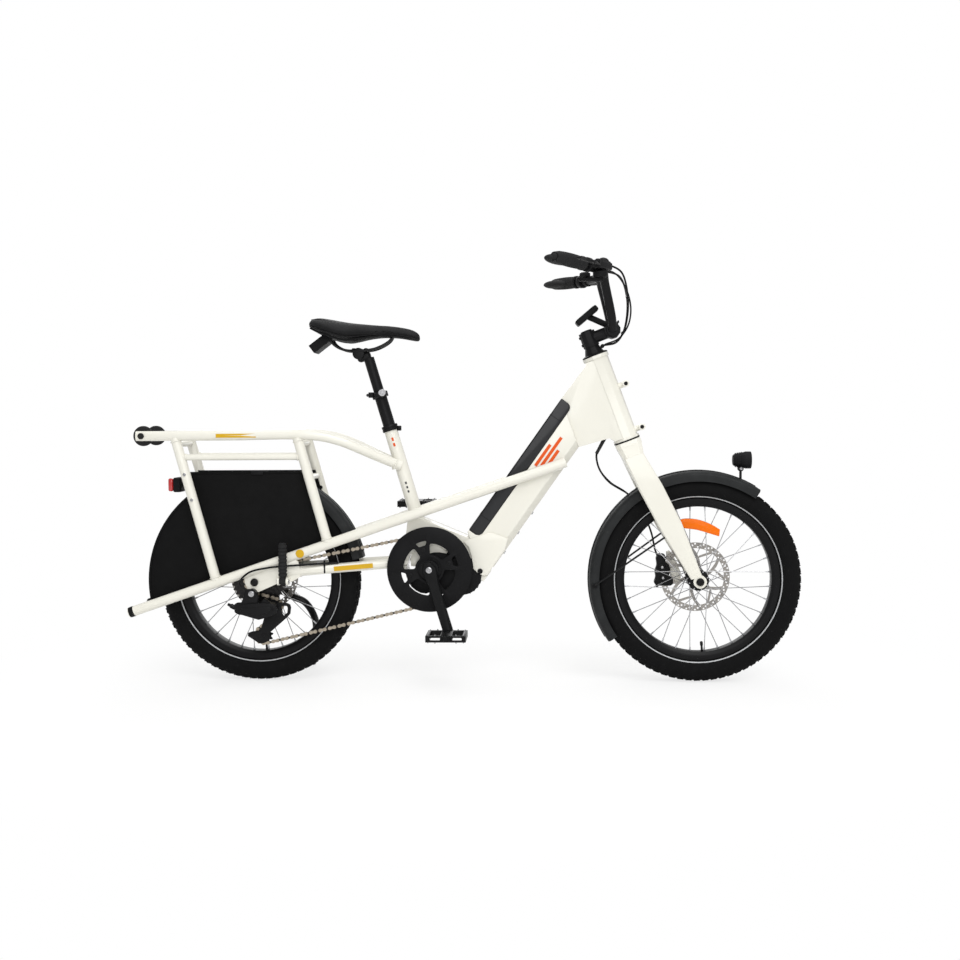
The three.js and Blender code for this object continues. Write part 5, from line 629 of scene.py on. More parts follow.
def wheels():
    front = [(-54.7, 8.6), (-54.7, 12), (-40, 12), (-37, 15), (-34, 22), (-32, 27), (-28, 27), (-26, 19),
             (-12, 16.5), (12, 16.5), (26, 19), (28, 27), (32, 27), (34, 22), (40.6, 22), (40.6, 12),
             (54.7, 12), (54.7, 8.6)]
    rear = [(-25.3, 8.6), (-25.3, 12), (-24.6, 22), (-22.5, 27), (-18.5, 27), (-16.5, 19), (-8, 17),
            (8, 17), (16.5, 19), (18.5, 27), (22.5, 27), (24.6, 22), (40.6, 22), (40.6, 12), (67, 12),
            (67, 8.6)]
    wheel("front", FRONT_AXLE, ("front_rim",), 30, front)
    wheel("rear", REAR_AXLE, ("rear_rim", "rear_hub"), 20.5, rear)
    upper = curve_through([mm(x, -16, z) for x, z in
                           ((1086, 414), (1096, 420), (1133, 419), (1168, 407), (1192, 393))], 4)
    lower = curve_through([mm(x, -16, z) for x, z in
                           ((1190, 375), (1164, 383), (1133, 392), (1098, 397), (1086, 402))], 4)
    corners = flat(upper + lower)
    keep("front_reflector_lens", rounded(outline(corners, -17, 4), 1.4), "front_wheel", AMBER_LENS)
    keep("front_reflector_back", rounded(outline(corners, -12.4, 5), 1.2), "front_wheel", BLACK_PLASTIC)


def axles():
    for label, centre, body, reach, collar in (("front", FRONT_AXLE, "steering", 67.6, ()),
                                               ("rear", REAR_AXLE, "frame", 76.1, (-67.2, -25.8))):
        profile = [(-reach - 6, 0), (-reach - 6, 6.5), (-reach - 5, 9), (-reach - 4, 10), (-reach, 10),
                   (-reach, 7.5), (reach, 7.5), (reach, 10), (reach + 4, 10), (reach + 6, 7), (reach + 6, 4),
                   (reach + 2, 3.6), (reach + 2, 0)]
        parts = [turned(profile, centre, ACROSS, 32)]
        if collar:
            low, high = collar
            parts.append(turned([(low, 7.4), (low, 12), (high, 12), (high, 7.4)], centre, ACROSS, 32))
        keep(f"{label}_axle_bolt", rounded(joined(parts), 0.6), body, BLACK_ALLOY, f"{label}_axle",
             slot="bright_steel")


# Chain drive
PITCH = 12.7
CHAIN_Y = -49.0
GUIDE = mm(43, 0, 197)
CAGE_LONG = 78
COG_TEETH, RING_TEETH, PULLEY_TEETH = 15, 44, 11


def pitch_radius(teeth):
    return teeth * PITCH / FULL_TURN


def tangent_heading(first, second):
    gap = (second[0] - first[0], second[1] - first[1])
    lean = math.asin((first[3] * first[2] - second[3] * second[2]) / math.hypot(*gap))
    return math.atan2(gap[1], gap[0]) + lean


def touch(round_piece, heading):
    x, z, radius, way = round_piece
    return (x + way * radius * math.sin(heading), z - way * radius * math.cos(heading))


def chain_route(cage_turn, fine):
    """Points of the chain's closed path, its length and the round pieces that it runs over."""
    rounds = [(REAR_AXLE.x, REAR_AXLE.z, pitch_radius(COG_TEETH), -1),
              (BB.x, BB.z, pitch_radius(RING_TEETH), -1),
              (GUIDE.x + CAGE_LONG * math.sin(cage_turn), GUIDE.z - CAGE_LONG * math.cos(cage_turn),
               pitch_radius(PULLEY_TEETH), -1), (GUIDE.x, GUIDE.z, pitch_radius(PULLEY_TEETH), 1)]
    headings = [tangent_heading(rounds[k], rounds[(k + 1) % 4]) for k in range(4)]
    points = []
    total = 0
    for k, current in enumerate(rounds):
        arriving = headings[k - 1]
        sweep = (current[3] * (headings[k] - arriving)) % FULL_TURN
        steps = max(1, round(sweep / fine))
        points += [touch(current, arriving + current[3] * sweep * step / steps) for step in range(steps + 1)]
        total += current[2] * sweep + math.dist(points[-1], touch(rounds[(k + 1) % 4], headings[k]))
    return points, total, rounds


def chain_places():
    links = 2 * round(chain_route(math.radians(-20), math.pi / 8)[1] / (2 * PITCH))
    low, high = -math.pi / 2, math.pi / 4
    for _ in range(40):
        middle = (low + high) / 2
        if chain_route(middle, math.pi / 8)[1] > links * PITCH:
            low = middle
        else:
            high = middle
    points, _, rounds = chain_route((low + high) / 2, math.pi / 90)
    closed = points + points[:1]
    runs = [math.dist(a, b) for a, b in zip(closed, closed[1:])]
    pitch = sum(runs) / links
    pins = []
    walked = 0
    for (start, end), run in zip(zip(closed, closed[1:]), runs):
        while len(pins) * pitch < walked + run and len(pins) < links:
            share = (len(pins) * pitch - walked) / run
            pins.append((start[0] + (end[0] - start[0]) * share, start[1] + (end[1] - start[1]) * share))
        walked += run
    return pins, rounds


CHAIN_PINS, CHAIN_ROUNDS = chain_places()
TENSION = mm(CHAIN_ROUNDS[2][0], 0, CHAIN_ROUNDS[2][1])


def link_model(y, tall, waist, pin_half, pin_radius):
    """One chain link about its first pin at the rear axle, pointing ahead: two plates and two pins."""
    middle = (PITCH / 2, 264)
    corners = [*flat(arc(REAR_AXLE, tall / 2, 62, 298, 5)), (middle[0], middle[1] - waist / 2),
               *flat(arc(mm(PITCH, 0, 264), tall / 2, -118, 118, 5)), (middle[0], middle[1] + waist / 2)]
    plates = [outline(corners, CHAIN_Y + side * y, 0.9) for side in BOTH]
    pins = [cross_rod(mm(x, CHAIN_Y, 264), -pin_half, pin_half, pin_radius, 10) for x in (0, PITCH)]
    return joined(plates + pins)


def chain():
    models = [link_model(1.7, 8.0, 4.6, 1.3, 3.9), link_model(2.7, 9.4, 5.2, 3.3, 1.9)]
    links = [[], []]
    for number, pin in enumerate(CHAIN_PINS):
        after = CHAIN_PINS[(number + 1) % len(CHAIN_PINS)]
        link = bpy.data.objects.new("link", models[number % 2].data.copy())
        bpy.context.scene.collection.objects.link(link)
        choose(link)
        bpy.ops.transform.rotate(value=math.atan2(after[1] - pin[1], after[0] - pin[0]), orient_axis="Y",
                                 center_override=place(REAR_AXLE))
        bpy.ops.transform.translate(value=(pin[0] / 1000, 0, (pin[1] - 264) / 1000))
        links[number % 2].append(applied())
    keep("chain_outer_links", links[1], "frame", CHAIN_STEEL, "chain", crease=35)
    keep("chain_inner_links", links[0], "frame", DARK_CHAIN_STEEL, crease=35)
    for model in models:
        bpy.data.objects.remove(model)


def toothed(centre, teeth, thick, y, rise=3.2, root=3.6):
    """A sprocket with pointed, rounded teeth."""
    corners = []
    for tooth in range(teeth):
        for share, reach in ((0, -root), (0.16, -root * 0.7), (0.36, rise * 0.7), (0.5, rise),
                             (0.64, rise * 0.7), (0.84, -root * 0.7)):
            turn = (tooth + share) * FULL_TURN / teeth
            radius = pitch_radius(teeth) + reach
            corners.append((centre.x + radius * math.sin(turn), centre.z + radius * math.cos(turn)))
    return outline(corners, y, thick)


GUARD_Y = -58.2
WINDOW_TURNS = [62.5 + 90 * step for step in range(4)]
BOLT_TURNS = [turn + 45 for turn in WINDOW_TURNS]


def slit(turn, y):
    """A rounded opening beyond each bolt of the chain guard."""
    corners = arc(BB, 74, turn - 12, turn + 12, 6) + arc(BB, 62, turn + 8, turn - 8, 4)
    return bevelled(outline(flat(corners), y, 12), 4.5, 4, 50)


def drive():
    cogs = [toothed(REAR_AXLE, teeth, 1.7, -58 + 4.5 * number)
            for number, teeth in enumerate((11, 13, 15, 18, 21, 24, 28, 34))]
    cogs.append(hoop([(-59.5, 13), (-59.5, 18.5), (-57, 19), (-25.6, 19), (-25.6, 13)], REAR_AXLE, ACROSS,
                     40))
    keep("cassette_cogs", cogs, "freehub", COG_STEEL, "cassette", crease=30)
    lock = hoop([(-61.4, 13), (-61.4, 16), (-60.6, 18), (-59.4, 18), (-59.4, 13)], REAR_AXLE, ACROSS, 32)
    keep("cassette_lockring", lock, "freehub", BLACK_ALLOY, crease=30)

    guard = hoop([(-1.5, 31), (-1.5, 108), (-0.4, 109.5), (1.5, 109.5), (1.5, 31)], BB + mm(0, GUARD_Y, 0),
                 ACROSS, 96)
    openings = []
    for turn in WINDOW_TURNS:
        corners = arc(BB, 67, turn - 27, turn + 27, 10) + arc(BB, 37, turn + 26, turn - 26, 4)
        openings += [bevelled(outline(flat(corners), GUARD_Y, 12), 11, 5, 50), slit(turn + 45, GUARD_Y)]
    keep("guard", rounded(cut_away(guard, *openings), 0.6, 2, 40), "cranks", BLACK_PLASTIC, "chainring",
         slot="black_metal")
    ring = cut_away(toothed(BB, RING_TEETH, 2.0, CHAIN_Y), cross_rod(BB + mm(0, CHAIN_Y, 0), -8, 8, 78, 64))
    arm_y = CHAIN_Y - 3
    arms = [hoop([(-1.6, 20), (-1.6, 34), (1.6, 34), (1.6, 20)], BB + mm(0, arm_y, 0), ACROSS)]
    for turn in BOLT_TURNS:
        corners = [wheel_point(BB, radius, turn + lean) for radius, lean in
                   ((30, -18), (52, -11), (80, -17), (80, 17), (52, 11), (30, 18))]
        arms.append(cut_away(outline(flat(corners), arm_y, 3), slit(turn, arm_y)))
    keep("chainring", [ring, *arms], "cranks", BLACK_ALLOY, crease=30)
    bolts = []
    for turn in BOLT_TURNS:
        point = wheel_point(BB, 52, turn)
        bolts += [cross_rod(point, CHAIN_Y, GUARD_Y - 1, 5, 20),
                  screw(point + mm(0, GUARD_Y - 1.4, 0), -ACROSS, 5.6, 2.4)]
    keep("chainring_bolts", bolts, "cranks", BLACK_ALLOY, crease=35)

    for label, side in SIDES:
        arm = dressed(f"crank_{label}")
        if side == RIGHT:
            space = hoop([(-4.2, 34), (-4.2, 66), (5, 66), (5, 34)], BB + mm(0, -52.6, 0), ACROSS, 64)
            cut_away(arm, space)
        keep(f"crank_{label}_arm", rounded(arm, 2.6, 3, 25), "cranks", CRANK_BLACK, f"crank_{label}")
        cap = screw(BB + mm(0, side * 75.4, 0), side * ACROSS, 8, 3)
        keep(f"crank_{label}_bolt", cap, "cranks", BRIGHT_STEEL)
    pedals()
    derailleur()


def pedals():
    for label, side in SIDES:
        low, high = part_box(f"pedal_{label}")
        centre = (low + high) / 2 * 1000
        centre.x -= CENTRE_X
        slots = [rounded(block(centre + mm(x, side * 44, 0), (28, 30, 7)), 2, 3) for x in (-26, 26)]
        plate = cut_away(dressed(f"pedal_{label}", 1.8, 3), *slots)
        keep(f"pedal_{label}_body", plate, f"{label}_pedal", CRANK_BLACK, f"pedal_{label}")
        spots = [(x, y) for x in (-44, 44) for y in (-36, -18, 0, 18, 36)]
        spots += [(x, y * 0.96) for x in (-26, 26) for y in (-44, 44)]
        pins = [rod(centre + mm(x, y, 7.5 * way), centre + mm(x, y, 11.1 * way), 1.9, 8, 1.3)
                for x, y in spots for way in BOTH]
        keep(f"pedal_{label}_pins", pins, f"{label}_pedal", BRIGHT_STEEL, crease=40)
        cap = turned([(0, 0), (0, 7), (1.6, 6), (2, 0)], centre + mm(0, side * 44.9, 0), side * ACROSS, 20)
        keep(f"pedal_{label}_cap", cap, f"{label}_pedal", BLACK_PLASTIC, crease=40)


def derailleur():
    keep("derailleur_knuckle", dressed("derailleur_body", 2.2, 3, 25), "derailleur", BLACK_ALLOY,
         "derailleur_body")
    keep("derailleur_pivot_bolt", screw(GUIDE + mm(0, -88.2, 0), -ACROSS, 7, 2), "derailleur", BRIGHT_STEEL)
    hanger = mm(-5, 0, 236)
    corners = [(-20, 247), (-5, 248.5), (6, 242), (12, 226), (10, 206), (-2, 185), (-14, 180), (-40, 182),
               (-50, 188), (-51, 208), (-44, 213), (-32, 213), (-25, 232)]
    mount = rounded(outline(corners, -84.5, 12), 3, 3, 25)
    sleeve = hoop([(0, 11.05), (0, 12.6), (21, 12.6), (22, 11.6), (22, 0), (21.6, 0), (21.6, 11.05)],
                  hanger + mm(0, -69.4, 0), -ACROSS, 32)
    adjuster = turned([(0, 0), (0, 5.4), (3, 6), (13, 6), (14, 4.4), (22, 3.4), (22, 0)],
                      mm(-48, -84.5, 199), mm(-0.9, 0, 0.44), 16)
    keep("derailleur_hanger_knuckle", [mount, sleeve, adjuster], "frame", BLACK_ALLOY, crease=35)
    keep("derailleur_hanger_bolt", screw(hanger + mm(0, -91.6, 0), -ACROSS, 7.6, 2.6), "frame", BRIGHT_STEEL)
    corners = [(-36, 207), (-14, 211), (24, 213), (52, 211), (62, 200), (60, 186), (42, 178), (14, 170),
               (-14, 178), (-34, 184)]
    link = rounded(outline(corners, -94.5, 7), 2.4, 3, 25)
    corners = [(-28, 201), (44, 204), (50, 196), (40, 188), (10, 181), (-26, 191)]
    rib = rounded(outline(corners, -98, 4), 1.6, 3, 25)
    pins = [screw(mm(x, -98.4, z), -ACROSS, 4.2, 1.8) for x, z in ((-30, 196), (52, 199))]
    arm = smooth(joined([link, rib, *pins]), 35)
    coat(arm, "derailleur_parallelogram", BLACK_ALLOY)
    place(mm(-26, -94, 196))
    place(mm(44, -94, 196))
    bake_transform(arm)
    cage = dressed("derailleur_cage", 0.7, 2, 40)
    corners = [(40, 206), (60, 209), (80, 208), (88, 204), (90, 196), (88, 180), (80, 171), (34, 131),
               (33, 116), (28, 108), (17, 103), (5, 103), (-6, 110), (-24, 122), (-23, 130), (-12, 134),
               (10, 136), (17, 146), (24, 172)]
    plate_y = -56.2
    plate = outline(corners, plate_y, 1.7)
    corners = [(65, 200), (79, 200), (81, 195), (80, 183), (71, 175), (64, 186)]
    cut_away(plate, outline(corners, plate_y, 8))
    cut_away(plate, *(outline([(x, z), (x + 6, z + 9), (x + 10, z + 8), (x + 4, z - 1)], plate_y, 8)
                      for x, z in ((32, 166), (26, 150))))
    keep("derailleur_cage_plates", [cage, rounded(plate, 0.5)], "cage", BLACK_ALLOY, "derailleur_cage",
         crease=35)
    for label, centre, body in (("guide", GUIDE, "upper_pulley"), ("tension", TENSION, "lower_pulley")):
        middle = centre + mm(0, CHAIN_Y, 0)
        jockey = cut_away(toothed(centre, PULLEY_TEETH, 2.2, CHAIN_Y, 2.4, 3.4), cross_rod(middle, -6, 6, 4))
        keep("jockey", jockey, body, BLACK_PLASTIC, f"{label}_pulley", crease=30)
        cap = screw(middle - mm(0, 8.2, 0), -ACROSS, 4.4, 1.6)
        keep(f"{label}_pulley_bolt", cap, "cage", BLACK_ALLOY)


# Frame
def rails():
    for label, side in SIDES:
        straight = mm(186 - 35, side * RACK_HALF, TOP_RAIL_Z)
        end = seat(TOP_RAIL_Z - 81, side * 16)
        bend = mm(186, side * RACK_HALF, TOP_RAIL_Z)
        tail = mm(-304, side * RACK_HALF, TOP_RAIL_Z)
        knots = [tail, tail.lerp(straight, 0.5), straight, bend + 35 * (end - bend).normalized(),
                 bend.lerp(end, 2 / 3), end]
        rail = tube([tail, tail + mm(36, 0, 0), tail + mm(52, 0, 0), *curve_through(knots, 10)[12:]],
                    TUBE_RADIUS, 24)
        edit(rail)
        bpy.ops.mesh.select_all(action="DESELECT")
        done()
        limit = place(mm(-262, 0, 0)).x
        for corner in rail.data.vertices:
            corner.select = corner.co.x < limit
        bpy.ops.object.mode_set(mode="EDIT")
        bpy.ops.transform.resize(value=(1, 15 / 25.4, 1), center_override=place(tail))
        done()
        cut_away(rail, rod(seat(420), seat(720), 16.9, 32))
        keep(f"top_rail_{label}_tube", rail, "frame", CREAM_PAINT, f"top_rail_{label}", crease=60)
        low = tube([lower_rail_at(x, side) for x in (-326, 0, 400, 798)], 13, 28)
        keep(f"lower_rail_{label}_tube", low, "frame", CREAM_PAINT, f"lower_rail_{label}", crease=60)
        low_end = lower_rail_at(-326, side)
        plug = turned([(-1, 0), (-1, 9), (0, 12.6), (4, 13.6), (14, 13.6), (14, 12.8), (-0.4, 12)], low_end,
                      lower_rail_at(0, side) - low_end, 28)
        keep(f"lower_rail_{label}_plug", plug, "frame", BLACK_PLASTIC, crease=40)


def rack():
    tubes = []
    welds = []

    def bar(start, end, radius, sides):
        tubes.append(tube([start, (start + end) / 2, end], radius, sides))

    def weld_ends(start, end, inset, radius):
        along = (end - start).normalized()
        welds.extend([(start + inset * along, along, radius), (end - inset * along, along, radius)])

    for hoop_x, crossings in ((REAR_HOOP, (619, 512)), (FRONT_HOOP, (619, 532))):
        for side in BOTH:
            top = mm(hoop_x[0], side * RACK_HALF, TOP_RAIL_Z)
            foot = lower_rail_at(hoop_x[1], side)
            along = (foot - top).normalized()
            bar(top + 6 * along, foot - 6 * along, TUBE_RADIUS, 24)
            weld_ends(top, foot, 14.5, TUBE_RADIUS)
        for z in crossings:
            bar(upright_at(hoop_x, z, RIGHT), upright_at(hoop_x, z, LEFT), 8, 20)
    for side in BOTH:
        start, end = upright_at(REAR_HOOP, 585, side), upright_at(FRONT_HOOP, 585, side)
        bar(start, end, 8, 20)
        weld_ends(start, end, 13.6, 8)
    keep("rack_hoop_tubes", tubes, "frame", CREAM_PAINT, "rack_hoops", crease=60)
    for side in BOTH:
        end = seat(TOP_RAIL_Z - 86, side * 20)
        welds.append((end + mm(-16, side * 2.5, 8), mm(-0.85, side * 0.22, 0.45), TUBE_RADIUS))
    beads = []
    for middle, along, radius in welds:
        choose()
        bpy.ops.mesh.primitive_torus_add(location=place(middle),
                                         rotation=along.to_track_quat("Z", "Y").to_euler(),
                                         major_radius=(radius + 0.4) / 1000, minor_radius=0.0017,
                                         major_segments=36, minor_segments=8)
        beads.append(applied())
    keep("rack_weld_beads", beads, "frame", CREAM_PAINT, crease=60)


def stays_and_pegs():
    ribs = []
    for base in range(14, 14 + 9 * 9, 9):
        ribs += [(base, 9.2), (base + 0.6, 11), (base + 6.4, 11), (base + 7, 9.2)]
    profile = [(0, 0), (0, 7.5), (12, 7.5), (12, 9.2), *ribs, (96, 9.6), (98, 7), (98, 0)]
    for label, side in SIDES:
        keep(f"chainstay_{label}_frame_end", dressed(f"chainstay_{label}", 1.2, 2, 28), "frame", CREAM_PAINT,
             f"chainstay_{label}")
        hinge = mm(78, side * (75.8 + 21), 269)
        parts = [turned(profile, hinge, UP, 32)]
        parts += [rod(hinge - mm(half, 0, 0), hinge + mm(half, 0, 0), radius, sides)
                  for half, radius, sides in ((8.6, 8, 24), (14, 3, 16))]
        keep(f"footpeg_{label}_sleeve", parts, f"{label}_footpeg", GRIP_RUBBER, f"footpeg_{label}", crease=35)
        nuts = [screw(hinge + mm(way * 14.2, 0, 0), way * AHEAD, 5, 2.6) for way in BOTH]
        keep(f"footpeg_{label}_nuts", nuts, "frame", BRIGHT_STEEL)


def main_frame():
    keep("down_tube_shell", dressed("down_tube", 5, 4, 28), "frame", CREAM_PAINT, "down_tube")
    keep("head_tube_shell", dressed("head_tube", 3.5, 3), "frame", CREAM_PAINT, "head_tube")
    shell = hoop([(-272, 16.3), (-272, 17.5), (-2, 17.5), (-2, 16.3)], seat(664), SEAT_UP, 36)
    keep("seat_tube_shell", shell, "frame", CREAM_PAINT, "seat_tube", crease=35)
    collar = hoop([(-15, 17.3), (-15, 20.4), (-14, 21), (-9, 21), (-8.4, 20.2), (-6.6, 20.2), (-6, 21),
                   (-1, 21), (0, 20.4), (0, 16.3), (-2, 16.3), (-2, 17.3)], seat(664), SEAT_UP, 36)
    ears = [rounded(block(seat(656.5) + mm(23, y, 0), (12, 5, 13)), 1.6) for y in (-4, 4)]
    bolt = screw(seat(656.5) + mm(24, -6.4, 0), -ACROSS, 4, 2.6)
    keep("seat_collar", [collar, *ears, bolt], "frame", BLACK_ALLOY, crease=35)
    case = [wheel_point(BB, reach, turn) for turn, reach in
            ((60, 48), (78, 42), (96, 38), (126, 36), (156, 36), (180, 36), (188, 40), (196, 50), (204, 60),
             (212, 67), (224, 69), (236, 69), (248, 69), (260, 67), (270, 62))]
    lobe_middle = mm(531, 0, 277)
    lobe = flat(arc(lobe_middle, 50, -90, 78, 28))
    motor = rounded(outline(flat(case) + lobe, 0, 74), 4, 4, 40)
    corners = [(470, 229), (470, 300), (500, 322), (531, 326), *reversed(lobe)]
    bulge = rounded(outline(corners, 0, 84), 3, 3, 40)
    fins = [rounded(block(wheel_point(lobe_middle, 49, turn), (5, 76, 3),
                          wheel_point(mm(0, 0, 0), 1, turn)), 0.8) for turn in range(-66, 60, 14)]
    keep("motor_case", [motor, bulge, *fins], "frame", BLACK_PLASTIC, "motor_housing", crease=40,
         slot="black_metal")
    covers = []
    for side in BOTH:
        covers.append(turned([(-6, 16), (-6, 36), (0, 36), (1.6, 34), (1.6, 20), (-6, 16)],
                             BB + mm(0, side * 41.4, 0), side * ACROSS, 64))
        covers += [screw(wheel_point(BB, 31, turn, side * 42.8), side * ACROSS, 2.6, 1.2)
                   for turn in range(30, 390, 60)]
    keep("motor_covers", covers, "frame", BLACK_ALLOY, crease=35)
    corners = [(535, 366), (549, 351), (555, 332), (559, 310), (561, 295), (571, 285), (585, 277), (597, 279),
               (607, 295), (642, 345), (650, 374), (604, 389)]
    plates = [rounded(outline(corners, side * 43.8, 3), 1.2) for side in BOTH]
    web = [(-50, 5), (-51, 20), (-48, 37), (-40, 47), (-25, 57), (0, 62), (25, 57), (45, 43), (38, 30),
           (24, 41), (9, 40.5), (-4, 37.5), (-21, 29), (-29, 20.5), (-33, 14), (-35, 5)]
    plates.append(rounded(outline([(BB.x + x, BB.z + z) for x, z in web], 0, 68), 2))
    keep("motor_bracket_plates", plates, "frame", CREAM_PAINT, crease=35)


def battery():
    corners = arc(mm(4, 0, 20), 14, 180, 90, 6) + arc(mm(387, 0, 20), 14, 90, 0, 6)
    corners += [mm(401, 0, 0), mm(-10, 0, 0)]
    pack = outline(flat([down(corner.x, corner.z) for corner in corners]), 0, 82)
    keep("battery_case", rounded(pack, 3, 3, 40), "battery", GLOSS_PLASTIC, "battery_pack")
    seams = [block(down(along, 16), (1.2, 82.6, 33), DOWN_AXIS) for along in (40, 352)]
    keep("battery_seams", seams, "battery", BLACK_PLASTIC, slot="gloss_plastic")
    lock = turned([(0, 0), (0, 8), (1.4, 8), (1.8, 7), (1.8, 3), (1, 2.6), (1, 0)], down(372, 16, 41),
                  ACROSS, 24)
    keep("battery_lock", lock, "battery", BRIGHT_STEEL, crease=35)
    grooves = [rounded(block(down(196, 2, side * 38), (330, 7, 3), DOWN_AXIS), 1) for side in BOTH]
    keep("battery_grooves", grooves, "battery", BLACK_PLASTIC, slot="gloss_plastic")


SADDLE_LONG = 285
SADDLE_HALF = 77
SADDLE_CLAMP = seat(838) + mm(-24.3, 0, 11)
SADDLE_TAIL = SADDLE_CLAMP.x - 127


def saddle_point(forward, out, up):
    """A place about the saddle, in shares of its length, half width and length again."""
    return mm(SADDLE_TAIL + SADDLE_LONG * forward, SADDLE_HALF * out, SADDLE_CLAMP.z + SADDLE_LONG * up)


def posts():
    sleeve = hoop([(-237, 13.9), (-237, 15.8), (-8, 15.8), (-7.3, 18.5), (-6.5, 21), (6.5, 21), (7.3, 18.5),
                   (8, 15.8), (10, 15.4), (10, 13.9)], seat(742), SEAT_UP, 36)
    ear = rounded(block(seat(742) + mm(0, -24, 0), (20, 9, 14)), 2)
    bolt = rod(seat(742) + mm(-12.6, -24, 0), seat(742) + mm(20, -24, 0), 3, 16)
    keep("seatpost_lower_tube", [sleeve, ear, bolt], "lower_post", BLACK_ALLOY, "seatpost_lower", crease=35)
    nut = turned([(0, 0), (0, 8.6), (1, 9.4), (5, 9.4), (6, 8.4), (6, 5), (5, 4.6), (5, 0)],
                 seat(742) + mm(9, -28.4, 6), -ACROSS, 24)
    keep("quick_release_nut", nut, "lower_post", BRIGHT_STEEL, crease=35)
    keep("quick_release_lever", dressed("qr_lever", 1.4), "quick_release", BLACK_ALLOY, "qr_lever")

    clamp = SADDLE_CLAMP
    whole = [turned([(-187, 0), (-187, 13.6), (0, 13.6), (0, 0)], seat(838), SEAT_UP, 32),
             rounded(block(clamp.lerp(seat(838), 0.5) - mm(0, 0, 2), (36, 27, 23), SEAT_FACE), 8, 4),
             rounded(cross_rod(clamp, -24, 24, 15, 32), 2, 3),
             rounded(block(clamp + mm(0, 0, 7), (40, 50, 8)), 3, 3),
             *(screw(clamp + mm(x, 0, 12), UP, 4.6, 3) for x in (-15, 17))]
    rails = [tube(curve_through([saddle_point(forward, side * out, up) for forward, up, out in
                                 ((0.172, 0.168, 0.364), (0.228, 0.081, 0.338), (0.326, 0.032, 0.273),
                                  (0.46, 0.028, 0.273), (0.593, 0.042, 0.26), (0.723, 0.109, 0.182),
                                  (0.761, 0.165, 0.117))], 8), 3.5, 14) for side in BOTH]
    keep("seatpost_upper_post", whole, "upper_post", BLACK_ALLOY, "seatpost_upper", crease=35)
    keep("saddle_rails", rails, "upper_post", BLACK_PAINT, crease=60, slot="black_metal")


# Rings of the saddle from its tail to its nose: length, top, underside and half width, as shares
SADDLE_RINGS = [(0, 0.284, 0.239, 0.39), (0.028, 0.319, 0.207, 0.7), (0.095, 0.33, 0.165, 0.91),
                (0.2, 0.312, 0.123, 1), (0.326, 0.288, 0.081, 0.96), (0.432, 0.274, 0.095, 0.753),
                (0.537, 0.267, 0.119, 0.52), (0.67, 0.256, 0.137, 0.377), (0.818, 0.239, 0.13, 0.312),
                (0.923, 0.218, 0.109, 0.247), (0.979, 0.189, 0.098, 0.169), (1, 0.158, 0.109, 0.078)]


def saddle_pad():
    """Padded shell, grown ring by ring from one circle."""
    def ring(station):
        forward, top, bottom, half = station
        return (saddle_point(forward, 0, (top + bottom) / 2), SADDLE_HALF * half,
                SADDLE_LONG * (top - bottom) / 2)

    here, wide, tall = ring(SADDLE_RINGS[0])
    choose()
    bpy.ops.mesh.primitive_circle_add(vertices=28, radius=0.001, fill_type="NGON", location=place(here),
                                      rotation=(0, math.radians(90), 0))
    pad = applied()
    edit(pad)
    bpy.ops.transform.resize(value=(1, wide, tall), center_override=place(here))
    for station in SADDLE_RINGS[1:]:
        there, new_wide, new_tall = ring(station)
        bpy.ops.mesh.extrude_region_move(TRANSFORM_OT_translate={"value": place(there) - place(here)})
        bpy.ops.transform.resize(value=(1, new_wide / wide, new_tall / tall), center_override=place(there))
        here, wide, tall = there, new_wide, new_tall
    modifier(close_up(pad), "SUBSURF", levels=2, render_levels=2)
    for corner in pad.data.vertices:
        x = corner.co.x * 1000 - CENTRE_X - SADDLE_TAIL
        if corner.normal.z > 0.3 and 40 < x < 200:
            reach = min(1, (x - 40) / 40, (200 - x) / 40)
            corner.co.z -= 0.0042 * reach * math.exp(-(corner.co.y * 1000 / 9) ** 2)
        if corner.normal.z < -0.2:
            corner.co.z += 0.002
    pad.name = "saddle_pad"
    keep("saddle_pad", pad, "upper_post", SADDLE_COVER, "saddle", crease=80)


def saddle():
    saddle_pad()

    def edge(rings, side, out, drop):
        return [saddle_point(forward, side * half * out, (top + bottom) / 2 - drop * (top - bottom) / 2)
                for forward, top, bottom, half in rings]

    seam = edge(SADDLE_RINGS[1:-1], LEFT, 0.93, 0.42) + edge(SADDLE_RINGS[-2:0:-1], RIGHT, 0.93, 0.42)
    keep("saddle_seam", tube(curve_through([*seam, seam[0]], 6), 1.3, 8), "upper_post", SADDLE_COVER,
         crease=60)
    stitching = [tube(curve_through(edge(SADDLE_RINGS[1:9], side, 0.62, -0.74), 6), 0.8, 8) for side in BOTH]
    keep("saddle_stitching", stitching, "upper_post", SADDLE_COVER, crease=60)
    lean = mm(0.80, 0, 0.60)
    grip = block(SADDLE_CLAMP + mm(-96, 0, 29), (60, 64, 24), lean)
    cut_away(grip, rounded(block(SADDLE_CLAMP + mm(-92, 0, 37), (34, 46, 26), lean), 5, 3))
    keep("saddle_grip", rounded(grip, 7, 4), "upper_post", BLACK_PLASTIC, slot="saddle_cover")
    lips = [tube(curve_through(edge(SADDLE_RINGS[1:10], side, 0.84, 0.66), 5), 2.6, 8) for side in BOTH]
    keep("saddle_base_lip", lips, "upper_post", BLACK_PLASTIC, crease=60, slot="saddle_cover")


